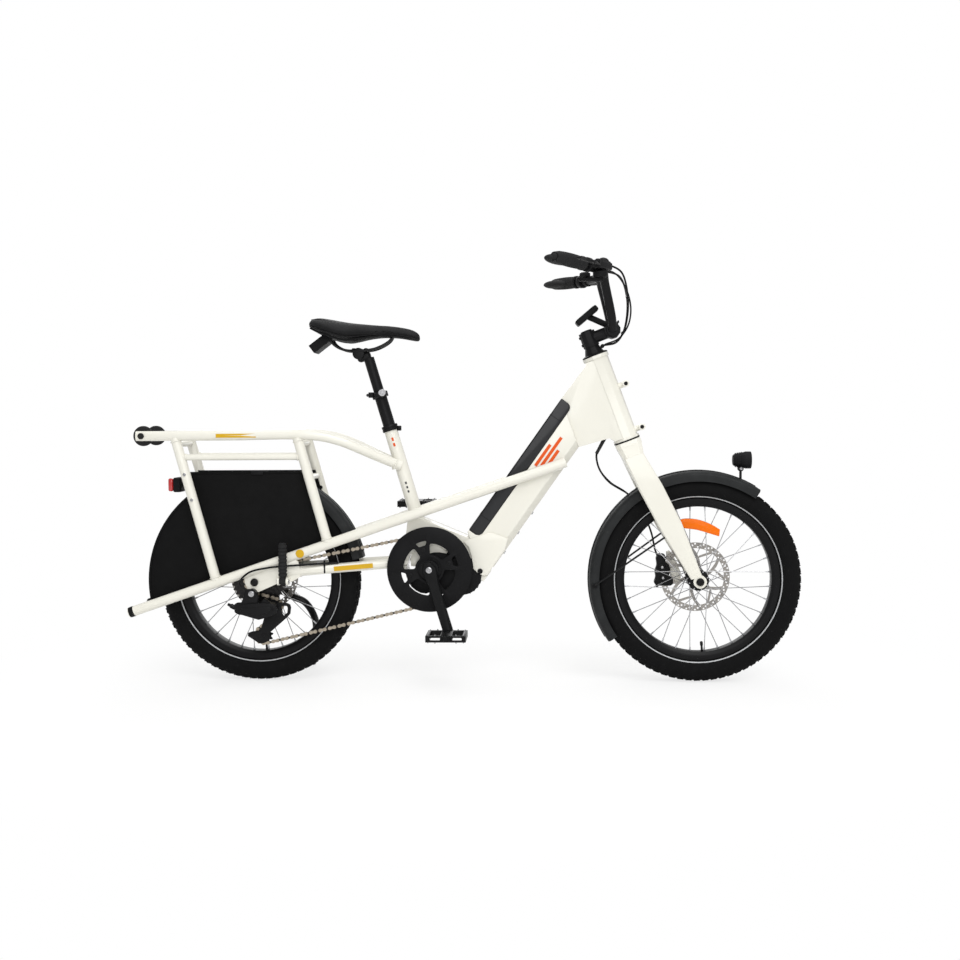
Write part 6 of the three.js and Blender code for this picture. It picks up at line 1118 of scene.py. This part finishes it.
# Fork and steering
def fork_and_calipers():
    keep("fork_blades", dressed("fork", 4.5, 4, 26), "steering", CREAM_PAINT, "fork")
    corners = [(1034, 314), (1041, 325), (1056, 324), (1061, 314), (1058, 304), (1068, 296), (1072, 281),
               (1068, 269), (1078, 259), (1079, 246), (1072, 241), (1034, 241), (1029, 249), (1034, 264),
               (1031, 278), (1037, 295)]
    parts = [rounded(outline(corners, y, thick), bevel, 3, 25)
             for y, thick, bevel in ((36.5, 6.6, 2), (52.4, 16, 4))]
    bridge = [(1035, 313), (1041, 323), (1054, 322), (1059, 317), (1052, 305), (1046, 290), (1043, 275),
              (1042.5, 262), (1044, 246), (1043, 243), (1034, 243), (1030, 250), (1035, 264), (1032, 278),
              (1038, 295)]
    parts.append(outline(bridge, 42, 9))
    pistons = ((1050, 290, 9.4), (1052, 262, 8))
    parts += [rounded(cross_rod(mm(x, y, z), -way, 2.8 * way, radius, 28), 1)
              for y, way in ((33.4, -1), (60.2, 1)) for x, z, radius in pistons]
    parts += [rounded(rod(mm(1046, 50, 318), mm(1046, 62, 318), 6, 20), 1),
              rounded(rod(mm(1042, 46, 244), mm(1036, 46, 236), 3, 16), 0.8)]
    keep("front_caliper_body", parts, "steering", BLACK_ALLOY, "front_caliper", crease=35)
    corners = [(1062, 330), (1070, 332), (1077, 324), (1091, 298), (1101, 270), (1099, 250), (1092, 244),
               (1078, 244), (1074, 262), (1068, 286), (1062, 306)]
    keep("front_caliper_mount", rounded(outline(corners, 54.4, 11), 2.4, 3, 25), "steering", CREAM_PAINT)
    rear = dressed("rear_caliper", 4, 4)
    cap = rounded(rod(mm(80, 66, 308), mm(80, 69.4, 308), 9, 28), 1)
    keep("rear_caliper_body", [rear, cap], "frame", BLACK_ALLOY, "rear_caliper", crease=35)
    bolts = [screw(mm(x, 59.6, z), ACROSS, 4.2, 2.6) for x, z in ((1069, 322), (1088, 256))]
    bolts += [screw(mm(x, 31, z), -ACROSS, 3.4, 1.6) for x, z, _ in pistons]
    keep("front_caliper_bolts", bolts, "steering", BRIGHT_STEEL)


def fenders():
    outside = [(36, 254), (36, 268), (34.5, 272.5), (30, 276.2), (22, 278.8), (10, 280), (0, 280.2)]
    inside = [(33.8, 254), (33.8, 267.5), (32, 271), (28.5, 274), (21.5, 276.5), (10, 277.6), (0, 277.8)]
    loop = outside + mirrored(outside[:-1]) + [(-y, radius) for y, radius in inside[:-1]] + inside[::-1]
    for label, centre, body, first, last in (("front", FRONT_AXLE, "steering", 55.6, 215),
                                             ("rear", REAR_AXLE, "frame", 12, 188)):
        shell = wire([wheel_point(centre, radius, first, y) for y, radius in [*loop, loop[0]]])
        bpy.ops.mesh.remove_doubles(threshold=1e-6)
        bpy.ops.mesh.select_all(action="SELECT")
        bpy.ops.mesh.edge_face_add()
        bpy.ops.mesh.select_all(action="SELECT")
        bpy.ops.mesh.spin(steps=72, dupli=False, angle=math.radians(last - first), center=place(centre),
                          axis=ACROSS)
        keep(f"{label}_fender_shell", close_up(shell), body, FENDER_PLASTIC, f"{label}_fender", crease=45)
        ribs = [tube(arc(centre, 280.4, first + 3, last - 3, 48, y), 1.1, 8) for y in (-12, 12)]
        keep(f"{label}_fender_ribs", ribs, body, FENDER_PLASTIC, crease=60)
        edges = [tube(arc(centre, 254, first, last, 48, side * 34.9), 1.5, 8) for side in BOTH]
        keep(f"{label}_fender_edges", edges, body, FENDER_PLASTIC, crease=60)


def fender_stays():
    stays = []
    clips = []
    for side in BOTH:
        outer = wheel_point(FRONT_AXLE, 266, 183, side * 38)
        inner = head(-255, 22, side * 57)
        stays.append(tube([outer, outer.lerp(inner, 0.5), inner], 2.5, 12))
        clips += [block(outer, (15, 3, 10)), screw(outer + mm(0, side * 1.5, 0), side * ACROSS, 3.2, 2.2),
                  screw(head(-262, 16, side * 58), side * ACROSS, 5, 3)]
    keep("front_fender_stays", stays, "steering", BLACK_PAINT, crease=60)
    keep("front_fender_clips", rounded(joined(clips), 0.6), "steering", BLACK_PLASTIC)
    ties = []
    for towards in (upright_at(FRONT_HOOP, 532, 0), upright_at(REAR_HOOP, 512, 0)):
        away = (towards - REAR_AXLE).normalized()
        ties.append(rounded(rod(REAR_AXLE + 278 * away, towards - 7 * away, 7, 20), 1))
    keep("rear_fender_ties", ties, "frame", BLACK_PLASTIC)
    bolt = rod(wheel_point(FRONT_AXLE, 279, 115.5), wheel_point(FRONT_AXLE, 296, 115.5), 7, 20)
    keep("front_fender_bolt", rounded(bolt, 1), "steering", BLACK_PLASTIC)


def lamps():
    lamp = mm(1272, 0, 570)
    shell = smooth(turned([(-46, 0), (-46, 12), (-44, 14.5), (-36, 17), (-18, 20.6), (-14, 22), (-1, 22),
                           (0, 21), (0, 19.4), (-3, 19.4), (-3, 0)], lamp, AHEAD), 32)
    fins = [turned([(base, 14), (base, 18.4 + step * 0.8), (base + 1.6, 18.6 + step * 0.8), (base + 1.6, 14)],
                   lamp, AHEAD, 40) for step, base in enumerate((-40, -35, -30, -25))]
    bracket = [rounded(block(mm(1246, 0, 531), (5, 14, 66)), 1.4),
               rounded(cross_rod(mm(1246, 0, 548), -9, 9, 7), 1),
               rounded(block(mm(1243, 0, 516), (20, 26, 14), mm(1, 0, -0.45)), 2.5, 3)]
    keep("headlight_body", [shell, *fins, *bracket], "steering", BLACK_PLASTIC, "headlight", crease=32)
    glass = turned([(-3, 19.2), (-1, 18.8), (0.4, 15), (1.2, 8), (1.4, 0), (-3, 0)], lamp, AHEAD)
    keep("headlight_lens", glass, "steering", LAMP_GLASS, crease=60)
    bolts = [screw(mm(1246, side * 9, 548), side * ACROSS, 4, 2.4) for side in BOTH]
    keep("headlight_bolts", bolts, "steering", BRIGHT_STEEL)
    case = [rounded(block(mm(-212, 0, 512), (20, 58, 38)), 4, 3),
            rounded(block(mm(-190, 0, 512), (46, 24, 6)), 1.4)]
    keep("rear_light_case", case, "frame", BLACK_PLASTIC, "rear_light", slot="red_lens")
    lens = rounded(block(mm(-229, 0, 512), (13, 54, 34)), 4.5, 4)
    keep("rear_light_lens", lens, "frame", RED_LENS)


def rollers():
    middle = mm(-289, 0, TOP_RAIL_Z)
    parts = []
    for side in BOTH:
        parts.append(turned([(0, 0), (0, 21), (0.6, 24.5), (2, 26), (7, 26), (8.4, 24.5), (9, 21), (9, 0)],
                            middle + mm(0, side * 48.5, 0), side * ACROSS))
        parts.append(turned([(0, 0), (0, 8), (3, 8), (4, 6), (4, 0)], middle + mm(0, side * 74.5, 0),
                            side * ACROSS, 24))
    parts.append(cross_rod(middle, -81, 81, 4, 20))
    keep("parking_roller_pair", parts, "rollers", GRIP_RUBBER, "parking_rollers", crease=35)


def skirts():
    for label, side in SIDES:
        foot = lower_rail_at(FRONT_HOOP[1], side)
        x = 5 - 283 * math.cos(math.radians(9))
        corners = [(upright_at(REAR_HOOP, 547, side).x, 547), *flat(arc(REAR_AXLE, 283, 125, 189, 24)),
                   (x, lower_rail_at(x, side).z + 8), (foot.x, foot.z + 8),
                   (upright_at(FRONT_HOOP, 547, side).x, 547)]
        panel = rounded(outline(corners, side * 51.5, 3), 1.1, 2, 40)
        keep(f"skirt_{label}_panel", panel, "frame", SKIRT_PLASTIC, f"skirt_{label}")
        hem = [mm(x, side * 53.4, z) for x, z in corners]
        inset = [point + (mm(-60, side * 53.4, 420) - point).normalized() * 7 for point in hem]
        keep(f"skirt_{label}_hem", tube([*inset, inset[0]], 0.9, 8), "frame", SKIRT_PLASTIC, crease=60)
        pads = []
        for hoop_x in (REAR_HOOP, FRONT_HOOP):
            foot_z = lower_rail_at(hoop_x[1], side).z
            for share in (0.25, 0.77):
                x, y, z = upright_at(hoop_x, 547 + (foot_z - 547) * share, side)
                pads += [rod(mm(x, side * 52, z), mm(x, y - side * 12, z), 5, 16),
                         screw(mm(x, side * 50, z), -side * ACROSS, 5, 3)]
        keep(f"skirt_{label}_screws", pads, "frame", BLACK_PLASTIC, crease=35, slot="skirt_plastic")
        if side == RIGHT:
            latch = rounded(block(mm(6, -54, 544), (30, 4, 10)), 1.4)
            keep("skirt_latch", latch, "frame", BLACK_PLASTIC, slot="skirt_plastic")


BAR_CENTRE = head(HEAD_LONG + 45, 63)
GRIP_START = {side: mm(836, side * 205, 1050) for side in BOTH}
GRIP_AXIS = {side: (mm(750, side * 332, 1056) - GRIP_START[side]).normalized() for side in BOTH}
BAR_NORMAL = {side: (GRIP_AXIS[side].cross(UP) * side).normalized() for side in BOTH}


def at_grip(side, along, out=0, up=0):
    """A place about a grip: along it from its inner end, out in front of it and up from it."""
    return GRIP_START[side] + along * GRIP_AXIS[side] + out * BAR_NORMAL[side] + mm(0, 0, up)


def grip_block(side, centre, size):
    return block(centre, size, GRIP_AXIS[side], BAR_NORMAL[side])


def handlebar():
    bar = [rounded(cross_rod(BAR_CENTRE, -30, 30, 15.9, 32), 1.4, 3)]
    rise = 1043 - BAR_CENTRE.z
    corners = (((888, 88, 1043), (0.014, 0.071, 0.007)), ((888, 88, 1043), (0.057, -0.1, -0.186)),
               ((BAR_CENTRE.x, 34, BAR_CENTRE.z), (-0.029, 0.093, 0.229)))
    for side in BOTH:
        knots = [at_grip(side, 0), at_grip(side, -40)]
        for corner, shares in corners:
            x, y, z = (part + share * rise for part, share in zip(corner, shares))
            knots.append(mm(x, side * y, z))
        knots.append(BAR_CENTRE + mm(0, side * 30, 0))
        bar.append(tube([at_grip(side, 123), *curve_through(knots, 8)], 11.1, 20))
    keep("handlebar_tube", bar, "steering", BLACK_ALLOY, "handlebar", crease=60)
    for label, side in SIDES:
        grip(label, side)
        master(label, side)
    controls()


def grip(label, side):
    profile = [(1, 11.6), (1, 17.2), (7, 17.2), (8, 15.8), (12, 15.6)]
    for step in range(15):
        base = 14 + 5.2 * step
        swell = 0.8 * math.sin(math.pi * step / 14)
        profile += [(base, 14.9 + swell), (base + 0.8, 15.9 + swell), (base + 3.4, 15.9 + swell),
                    (base + 4.2, 14.9 + swell)]
    profile += [(94, 15.6), (104, 15), (113, 13.2), (120, 10.6), (125, 7), (127.4, 3), (128, 0)]
    sleeve = smooth(turned(profile, at_grip(side, 0), GRIP_AXIS[side], 32))
    palm = modifier(grip_block(side, at_grip(side, 84, -12, -2), (122, 56, 27)), "SUBSURF", levels=3,
                    render_levels=3)
    keep(f"grip_{label}_sleeve", [sleeve, palm], "steering", GRIP_RUBBER, f"grip_{label}", crease=40)


def master(label, side):
    """Brake lever: its ring on the bar, tank with lid, pivot, bolts and blade."""
    clamp, middle = at_grip(side, -22), at_grip(side, -22, 26)
    parts = [rounded(rod(at_grip(side, -29), at_grip(side, -15), 17.5, 32), 1.6, 3),
             rounded(grip_block(side, at_grip(side, -50, 26), (62, 21, 19)), 4.5, 4),
             rounded(grip_block(side, at_grip(side, -50, 26, 10), (50, 16, 3)), 1),
             rounded(rod(clamp, middle, 9), 1.4),
             rounded(rod(at_grip(side, -7, 38, -0.6), at_grip(side, -7, 38, 7), 8), 1.2),
             rounded(rod(at_grip(side, -7, 38, 4), middle + mm(0, 0, 3), 5.4, 20), 1),
             rounded(rod(at_grip(side, -81, 26), at_grip(side, -88, 26), 5.5, 6), 0.6),
             screw(at_grip(side, -7, 38, 7), UP, 4.4, 2.2),
             screw(at_grip(side, -22, -14), -BAR_NORMAL[side], 4, 2.6),
             screw(at_grip(side, -32, 26, 11), UP, 2.4, 1.4), screw(at_grip(side, -68, 26, 11), UP, 2.4, 1.4)]
    keep(f"brake_{label}_master", parts, "steering", BLACK_ALLOY, crease=35)
    blade = dressed(f"brake_lever_{label}")
    edit(blade)
    bpy.ops.mesh.subdivide(number_cuts=1)
    done()
    modifier(blade, "SUBSURF", levels=2, render_levels=2)
    keep(f"brake_{label}_blade", blade, f"{label}_brake_lever", BLACK_ALLOY, f"brake_lever_{label}",
         crease=60)


def controls():
    centre = at_grip(RIGHT, -52, 18, -20)
    shifter = [turned([(-9, 0), (-9, 13), (-7, 16.5), (-4, 18), (5, 18), (8, 15.5), (9, 11), (9, 0)],
                      centre, UP, 40),
               rounded(rod(at_grip(RIGHT, -61), at_grip(RIGHT, -43), 15, 28), 1.4, 3),
               rounded(rod(centre, at_grip(RIGHT, -52), 9, 20), 1),
               rounded(grip_block(RIGHT, at_grip(RIGHT, -52, 28, -11.4), (18, 8, 2)), 0.8)]
    keep("shifter_pod", shifter, "steering", BLACK_PLASTIC, crease=35)
    keep("shift_lever_paddle", dressed("shift_lever", 1.6, 3, 28), "gear_lever", BLACK_PLASTIC, "shift_lever")
    buttons = [rounded(grip_block(LEFT, at_grip(LEFT, -48, -10, 16), (26, 20, 12)), 3, 3),
               rounded(rod(at_grip(LEFT, -53), at_grip(LEFT, -43), 14.5, 28), 1)]
    buttons += [rounded(grip_block(LEFT, at_grip(LEFT, along, -10, 22.5), (7, 9, 2.4)), 0.8)
                for along in (-56, -48, -40)]
    keep("assist_buttons", buttons, "steering", BLACK_PLASTIC, crease=35)
    foot = at_grip(RIGHT, -95, 0, 11)
    bell = [turned([(4, 0), (4, 14), (6, 15), (10, 13.6), (14, 9), (16, 3), (16.4, 0)], foot, UP, 32),
            turned([(-3, 0), (-3, 8), (4, 6), (4, 0)], foot, UP, 24)]
    keep("bell", bell, "steering", BLACK_ALLOY, crease=40)


def stem_and_display():
    keep("stem_body", dressed("stem", 2.2, 3, 28), "steering", BLACK_ALLOY, "stem")
    bolts = [screw(head(278 + up, 84, y), HEAD_FORWARD, 3.4, 2.4) for up in (-15, 15) for y in (-17, 17)]
    bolts.append(screw(head(298, 0), HEAD_UP, 15, 4))
    bolts += [screw(head(278 + up, -21), -HEAD_FORWARD, 3.4, 2.4) for up in (-10, 10)]
    keep("stem_bolts", bolts, "steering", BLACK_ALLOY, crease=35)
    spacers = [turned([(base, 15), (base, 18.6), (base + 5, 18.6), (base + 5, 15)], head(HEAD_LONG + 14, 0),
                      HEAD_UP, 40) for base in (0, 5.6)]
    keep("headset_spacers", rounded(joined(spacers), 0.5), "steering", BLACK_ALLOY)
    centre = BAR_CENTRE + mm(-65, 0, 38)
    tilt = math.radians(40)
    along = mm(math.cos(tilt), 0, math.sin(tilt))
    up = mm(-math.sin(tilt), 0, math.cos(tilt))
    case = [rounded(block(centre, (68, 52, 15), along), 4, 4),
            rounded(rod(centre, BAR_CENTRE + 11 * HEAD_UP, 8, 20), 1)]
    keep("display_case", case, "steering", BLACK_PLASTIC, "display", slot="gloss_plastic")
    screen = rounded(block(centre + 7.4 * up, (54, 42, 1.6), along), 0.7)
    keep("display_screen", screen, "steering", SCREEN_GLASS)


def hose(points, steps, radius, sides=12):
    return tube(curve_through([mm(*point) for point in points], steps), radius, sides)


def hoses():
    loop = ((900, 84, 1062), (940, 44, 1046), (957, 18, 990), (956, 12, 935), (946, 9, 897), (928, 6, 873),
            (896, 4, 866))
    bar_hoses = [hose([at_grip(side, -22 - (66 * 13 / 14 + 3), 38 * 2 / 3),
                       *((x, side * y, z) for x, y, z in loop)], 8, 2.5) for side in BOTH]
    bar_hoses += [rounded(cross_rod(head(HEAD_LONG + 17, 26), -10, 10, 5, 20), 1.2),
                  rounded(block(mm(957, 0, 992), (7, 44, 7)), 2)]
    keep("handlebar_hoses", bar_hoses, "steering", HOSE_SLEEVE, "bar_hoses", crease=60)
    gear = hose([(868, -118, 1040), (915, -88, 1042), (948, -50, 1010), (964, -26, 960), (958, -16, 915),
                 (934, -10, 882), (900, -8, 868)], 8, 2.1, 10)
    keep("gear_cable", gear, "steering", HOSE_SLEEVE, crease=60)

    brake_route = ((895, 12, 620), (879, 14, 588), (886, 20, 548), (915, 34, 512), (955, 50, 486),
                   (990, 60, 452), (1012, 66, 410), (1025, 64, 375), (1032, 44, 336), (1040.4, 42, 313.9))
    brake_hose = smooth(hose(brake_route, 10, 2.5), 60)
    coat(brake_hose, "front_brake_hose", HOSE_SLEEVE)
    place(brake_route[1])
    place(brake_route[6])
    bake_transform(brake_hose)
    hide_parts("front_hose")
    wire_route = ((895, -12, 620), (877, -12, 588), (884, -10, 550), (908, -6, 516), (938, -2, 496),
                  (956, 0, 486))
    lamp_wire = smooth(hose(wire_route, 8, 1.9, 10), 60)
    coat(lamp_wire, "headlight_wire", HOSE_SLEEVE)
    place(wire_route[1])
    place(wire_route[-1])
    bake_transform(lamp_wire)
    sleeves = []
    for points in (brake_route, wire_route):
        first, second = mm(*points[0]), mm(*points[1])
        sleeves.append(tube([second, first, first + 10 * (first - second).normalized()], 4.2, 14))
    keep("hose_sleeves", sleeves, "frame", GRIP_RUBBER, crease=60, slot="hose")
    cable = hose([(-15.4, -84, 242), (-36, -89, 262), (-12, -92, 290), (40, -89, 303), (78, -81, 306),
                  (120, -81, 309), (150, -73, 310), (215, -58, 312.5)], 8, 2.5)
    tie = rounded(block(mm(180, -66, 303), (4, 7, 33)), 1)
    keep("rear_gear_cable", [cable, tie], "frame", HOSE_SLEEVE, "rear_cable", crease=60)


def stand():
    shares = ((0, 0, 0), (0.36, 0.02, 0.156), (0.75, 0.04, 0.232), (1, 0.16, 0.424), (0.9, 0.58, 0.72),
              (0.7, 1, 1))
    route = [mm(22 + 100 * forward, 90 + 100 * out, 246 - 250 * drop) for forward, out, drop in shares]
    route[-1].z = 6
    pivot = mm(22, 0, 246)
    parts = [tube(curve_through(route, 8), 9.5, 20),
             rounded(turned([(0, 0), (0, 14), (18, 14), (18, 0)], pivot + mm(0, 80.8, 0), ACROSS, 32),
                     1.6, 3),
             cross_rod(pivot, 68, 86, 5, 20),
             turned([(0, 0), (0, 14), (1.5, 15), (7, 15), (9, 12), (9, 0)], mm(92, 190, 0), UP, 32),
             screw(pivot + mm(0, 98.8, 0), ACROSS, 7, 3)]
    keep("kickstand_leg", parts, "stand", BLACK_PAINT, "kickstand", crease=40)
    coil = []
    for step in range(120):
        turn = FULL_TURN * step / 10
        middle = mm(34, 101, 240).lerp(mm(82, 106, 200), step / 119)
        coil.append(middle + 3.4 * mm(math.cos(turn) * 0.6, math.sin(turn), math.cos(turn) * 0.8))
    keep("kickstand_spring", tube(coil, 0.9, 8), "stand", BRIGHT_STEEL, crease=60)


def films():
    """Plain strips and dots, with nothing written on them."""
    strip = outline([(-94, 635), (-94, 645), (10, 645), (10, 635)], -RACK_HALF - 12.5, 0.9)
    keep("top_rail_strip", rounded(strip, 0.2, 1), "frame", YELLOW_FILM)
    start, end = mm(62, -71.8, 287), mm(392, -30, 311)
    along = (end - start).normalized()
    tape = block(start.lerp(end, 0.58) + mm(0, -12.6, 0), (100, 0.9, 12), along, along.cross(-UP))
    keep("chainstay_strip", rounded(tape, 0.2, 1), "frame", YELLOW_FILM)
    dot = turned([(0, 0), (0, 11), (1.2, 10), (1.6, 0)], mm(119, -lower_rail_at(119, LEFT).y - 12.4, 338),
                 -ACROSS, 28)
    keep("rail_dot", dot, "frame", YELLOW_FILM, crease=30)
    bars = [block(down(along, depth, -42.3), (long, 0.8, 8), DOWN_AXIS)
            for along, depth, long in ((256, 70, 66), (276, 57.4, 88), (256, 44.8, 66))]
    keep("down_tube_bars", bars, "frame", ORANGE_FILM)
    for name, heights, size, film in (("seat_tube_bars", (628, 614), (5, 0.9, 9), ORANGE_FILM),
                                      ("seat_tube_dark_bars", (515, 504, 493), (4.6, 0.9, 6), GREY_FILM)):
        keep(name, [block(seat(z, -17.7), size, SEAT_FACE) for z in heights], "frame", film)


def head_details():
    screws = [screw(head(up, 47, side * 24), side * ACROSS, 5, 2.4) for up in (21, 139) for side in BOTH]
    keep("rack_boss_screws", screws, "frame", BLACK_ALLOY)
    race = hoop([(-0.2, 30), (-0.2, 34.4), (2.6, 34.8), (3, 34), (3, 30)], head(0, 0), HEAD_UP, 56)
    keep("headset_lower_race", race, "frame", BLACK_ALLOY, crease=35)
    cap = hoop([(0.8, 15.5), (0.8, 34), (3.4, 33.4), (6, 28), (6, 15.5)], head(HEAD_LONG, 0), HEAD_UP, 56)
    keep("headset_top_cap", cap, "steering", BLACK_ALLOY, crease=35)
    bolts = [screw(down(along, 108), DOWN_NORMAL, 4.4, 3.4) for along in (117, 54, -8)]
    keep("down_tube_bolts", bolts, "frame", BRIGHT_STEEL)
    mounts = [screw(mm(578, side * 45, 289), side * ACROSS, 7, 3) for side in BOTH]
    keep("motor_mount_bolts", mounts, "frame", BLACK_ALLOY)
    fixings = [screw(upright_at(REAR_HOOP, z, RIGHT) - mm(0, 12.2, 0), -ACROSS, 4.2, 2.4) for z in (541, 476)]
    keep("light_bracket_screws", fixings, "frame", BRIGHT_STEEL)


# Studio
def floor():
    choose()
    bpy.ops.mesh.primitive_plane_add(size=60, location=(0, 0, -0.0005))
    ground = bpy.context.object
    ground.name = "studio_floor"
    paper = Finish("floor_paper", None, (0.90, 0.90, 0.895), 0.9)
    paper.tint(paper.noise(3, 5) * 0.3, (0.88, 0.88, 0.875))
    seen = paper.node("ShaderNodeLightPath", output="Is Camera Ray")
    glow = paper.node("ShaderNodeEmission", None, {"Color": WHITE, "Strength": 1.0}, "Emission")
    away = paper.node("ShaderNodeVectorMath", {"operation": "LENGTH"}, {0: paper.spot}, "Value")
    share = paper.mask(away / 4, 0.16, 0.34) * 0.3 + 0.7
    mixed = paper.node("ShaderNodeMixShader", None,
                       {0: seen * share, 1: Flow(paper, paper.shader.outputs["BSDF"]), 2: glow}, "Shader")
    paper.feed(paper.tree.nodes["Material Output"].inputs["Surface"], mixed)
    ground.data.materials.append(paper.material)


def air():
    world = bpy.data.worlds.new("studio_air")
    bpy.context.scene.world = world
    world.use_nodes = True
    tree = world.node_tree
    rays, either, mixer, white = (tree.nodes.new(f"ShaderNode{kind}")
                                  for kind in ("LightPath", "Math", "MixShader", "Background"))
    either.operation = "MAXIMUM"
    soft = tree.nodes["Background"]
    for shade, strength in ((soft, 0.55), (white, 1.0)):
        shade.inputs["Color"].default_value = WHITE
        shade.inputs["Strength"].default_value = strength
    for source, target in ((rays.outputs["Is Camera Ray"], either.inputs[0]),
                           (rays.outputs["Is Transmission Ray"], either.inputs[1]),
                           (either.outputs[0], mixer.inputs[0]), (soft.outputs[0], mixer.inputs[1]),
                           (white.outputs[0], mixer.inputs[2]),
                           (mixer.outputs[0], tree.nodes["World Output"].inputs["Surface"])):
        tree.links.new(source, target)


def light(name, kind, spot, aim, energy, **settings):
    data = bpy.data.lights.new(name, kind)
    data.energy = energy
    for key, value in settings.items():
        setattr(data, key, value)
    lamp = bpy.data.objects.new(name, data)
    bpy.context.scene.collection.objects.link(lamp)
    lamp.matrix_world = Matrix.Translation(spot) @ aim.to_track_quat("Z", "Y").to_matrix().to_4x4()


def studio():
    floor()
    air()
    light("soft_sun", "SUN", (0, 0, 0), Vector((0.35, -0.75, 1.0)), 1.15, angle=math.radians(35))
    for name, spot, size, energy in (("front_box", (0.4, -3.4, 1.9), 2.4, 38),
                                     ("top_box", (0, 0.2, 3.2), 2.6, 30),
                                     ("back_box", (-0.5, 3.2, 1.8), 2.4, 26)):
        light(name, "AREA", spot, Vector(spot) - Vector((0, 0, 0.5)), energy, shape="SQUARE", size=size)
    bpy.context.scene.view_settings.view_transform = "Standard"


for build in (photo_camera, wheels, axles, chain, drive, rails, rack, stays_and_pegs, main_frame, battery,
              posts, saddle, fork_and_calipers, fenders, fender_stays, lamps, rollers, skirts, handlebar,
              stem_and_display, hoses, stand, films, head_details, studio):
    build()

choose()
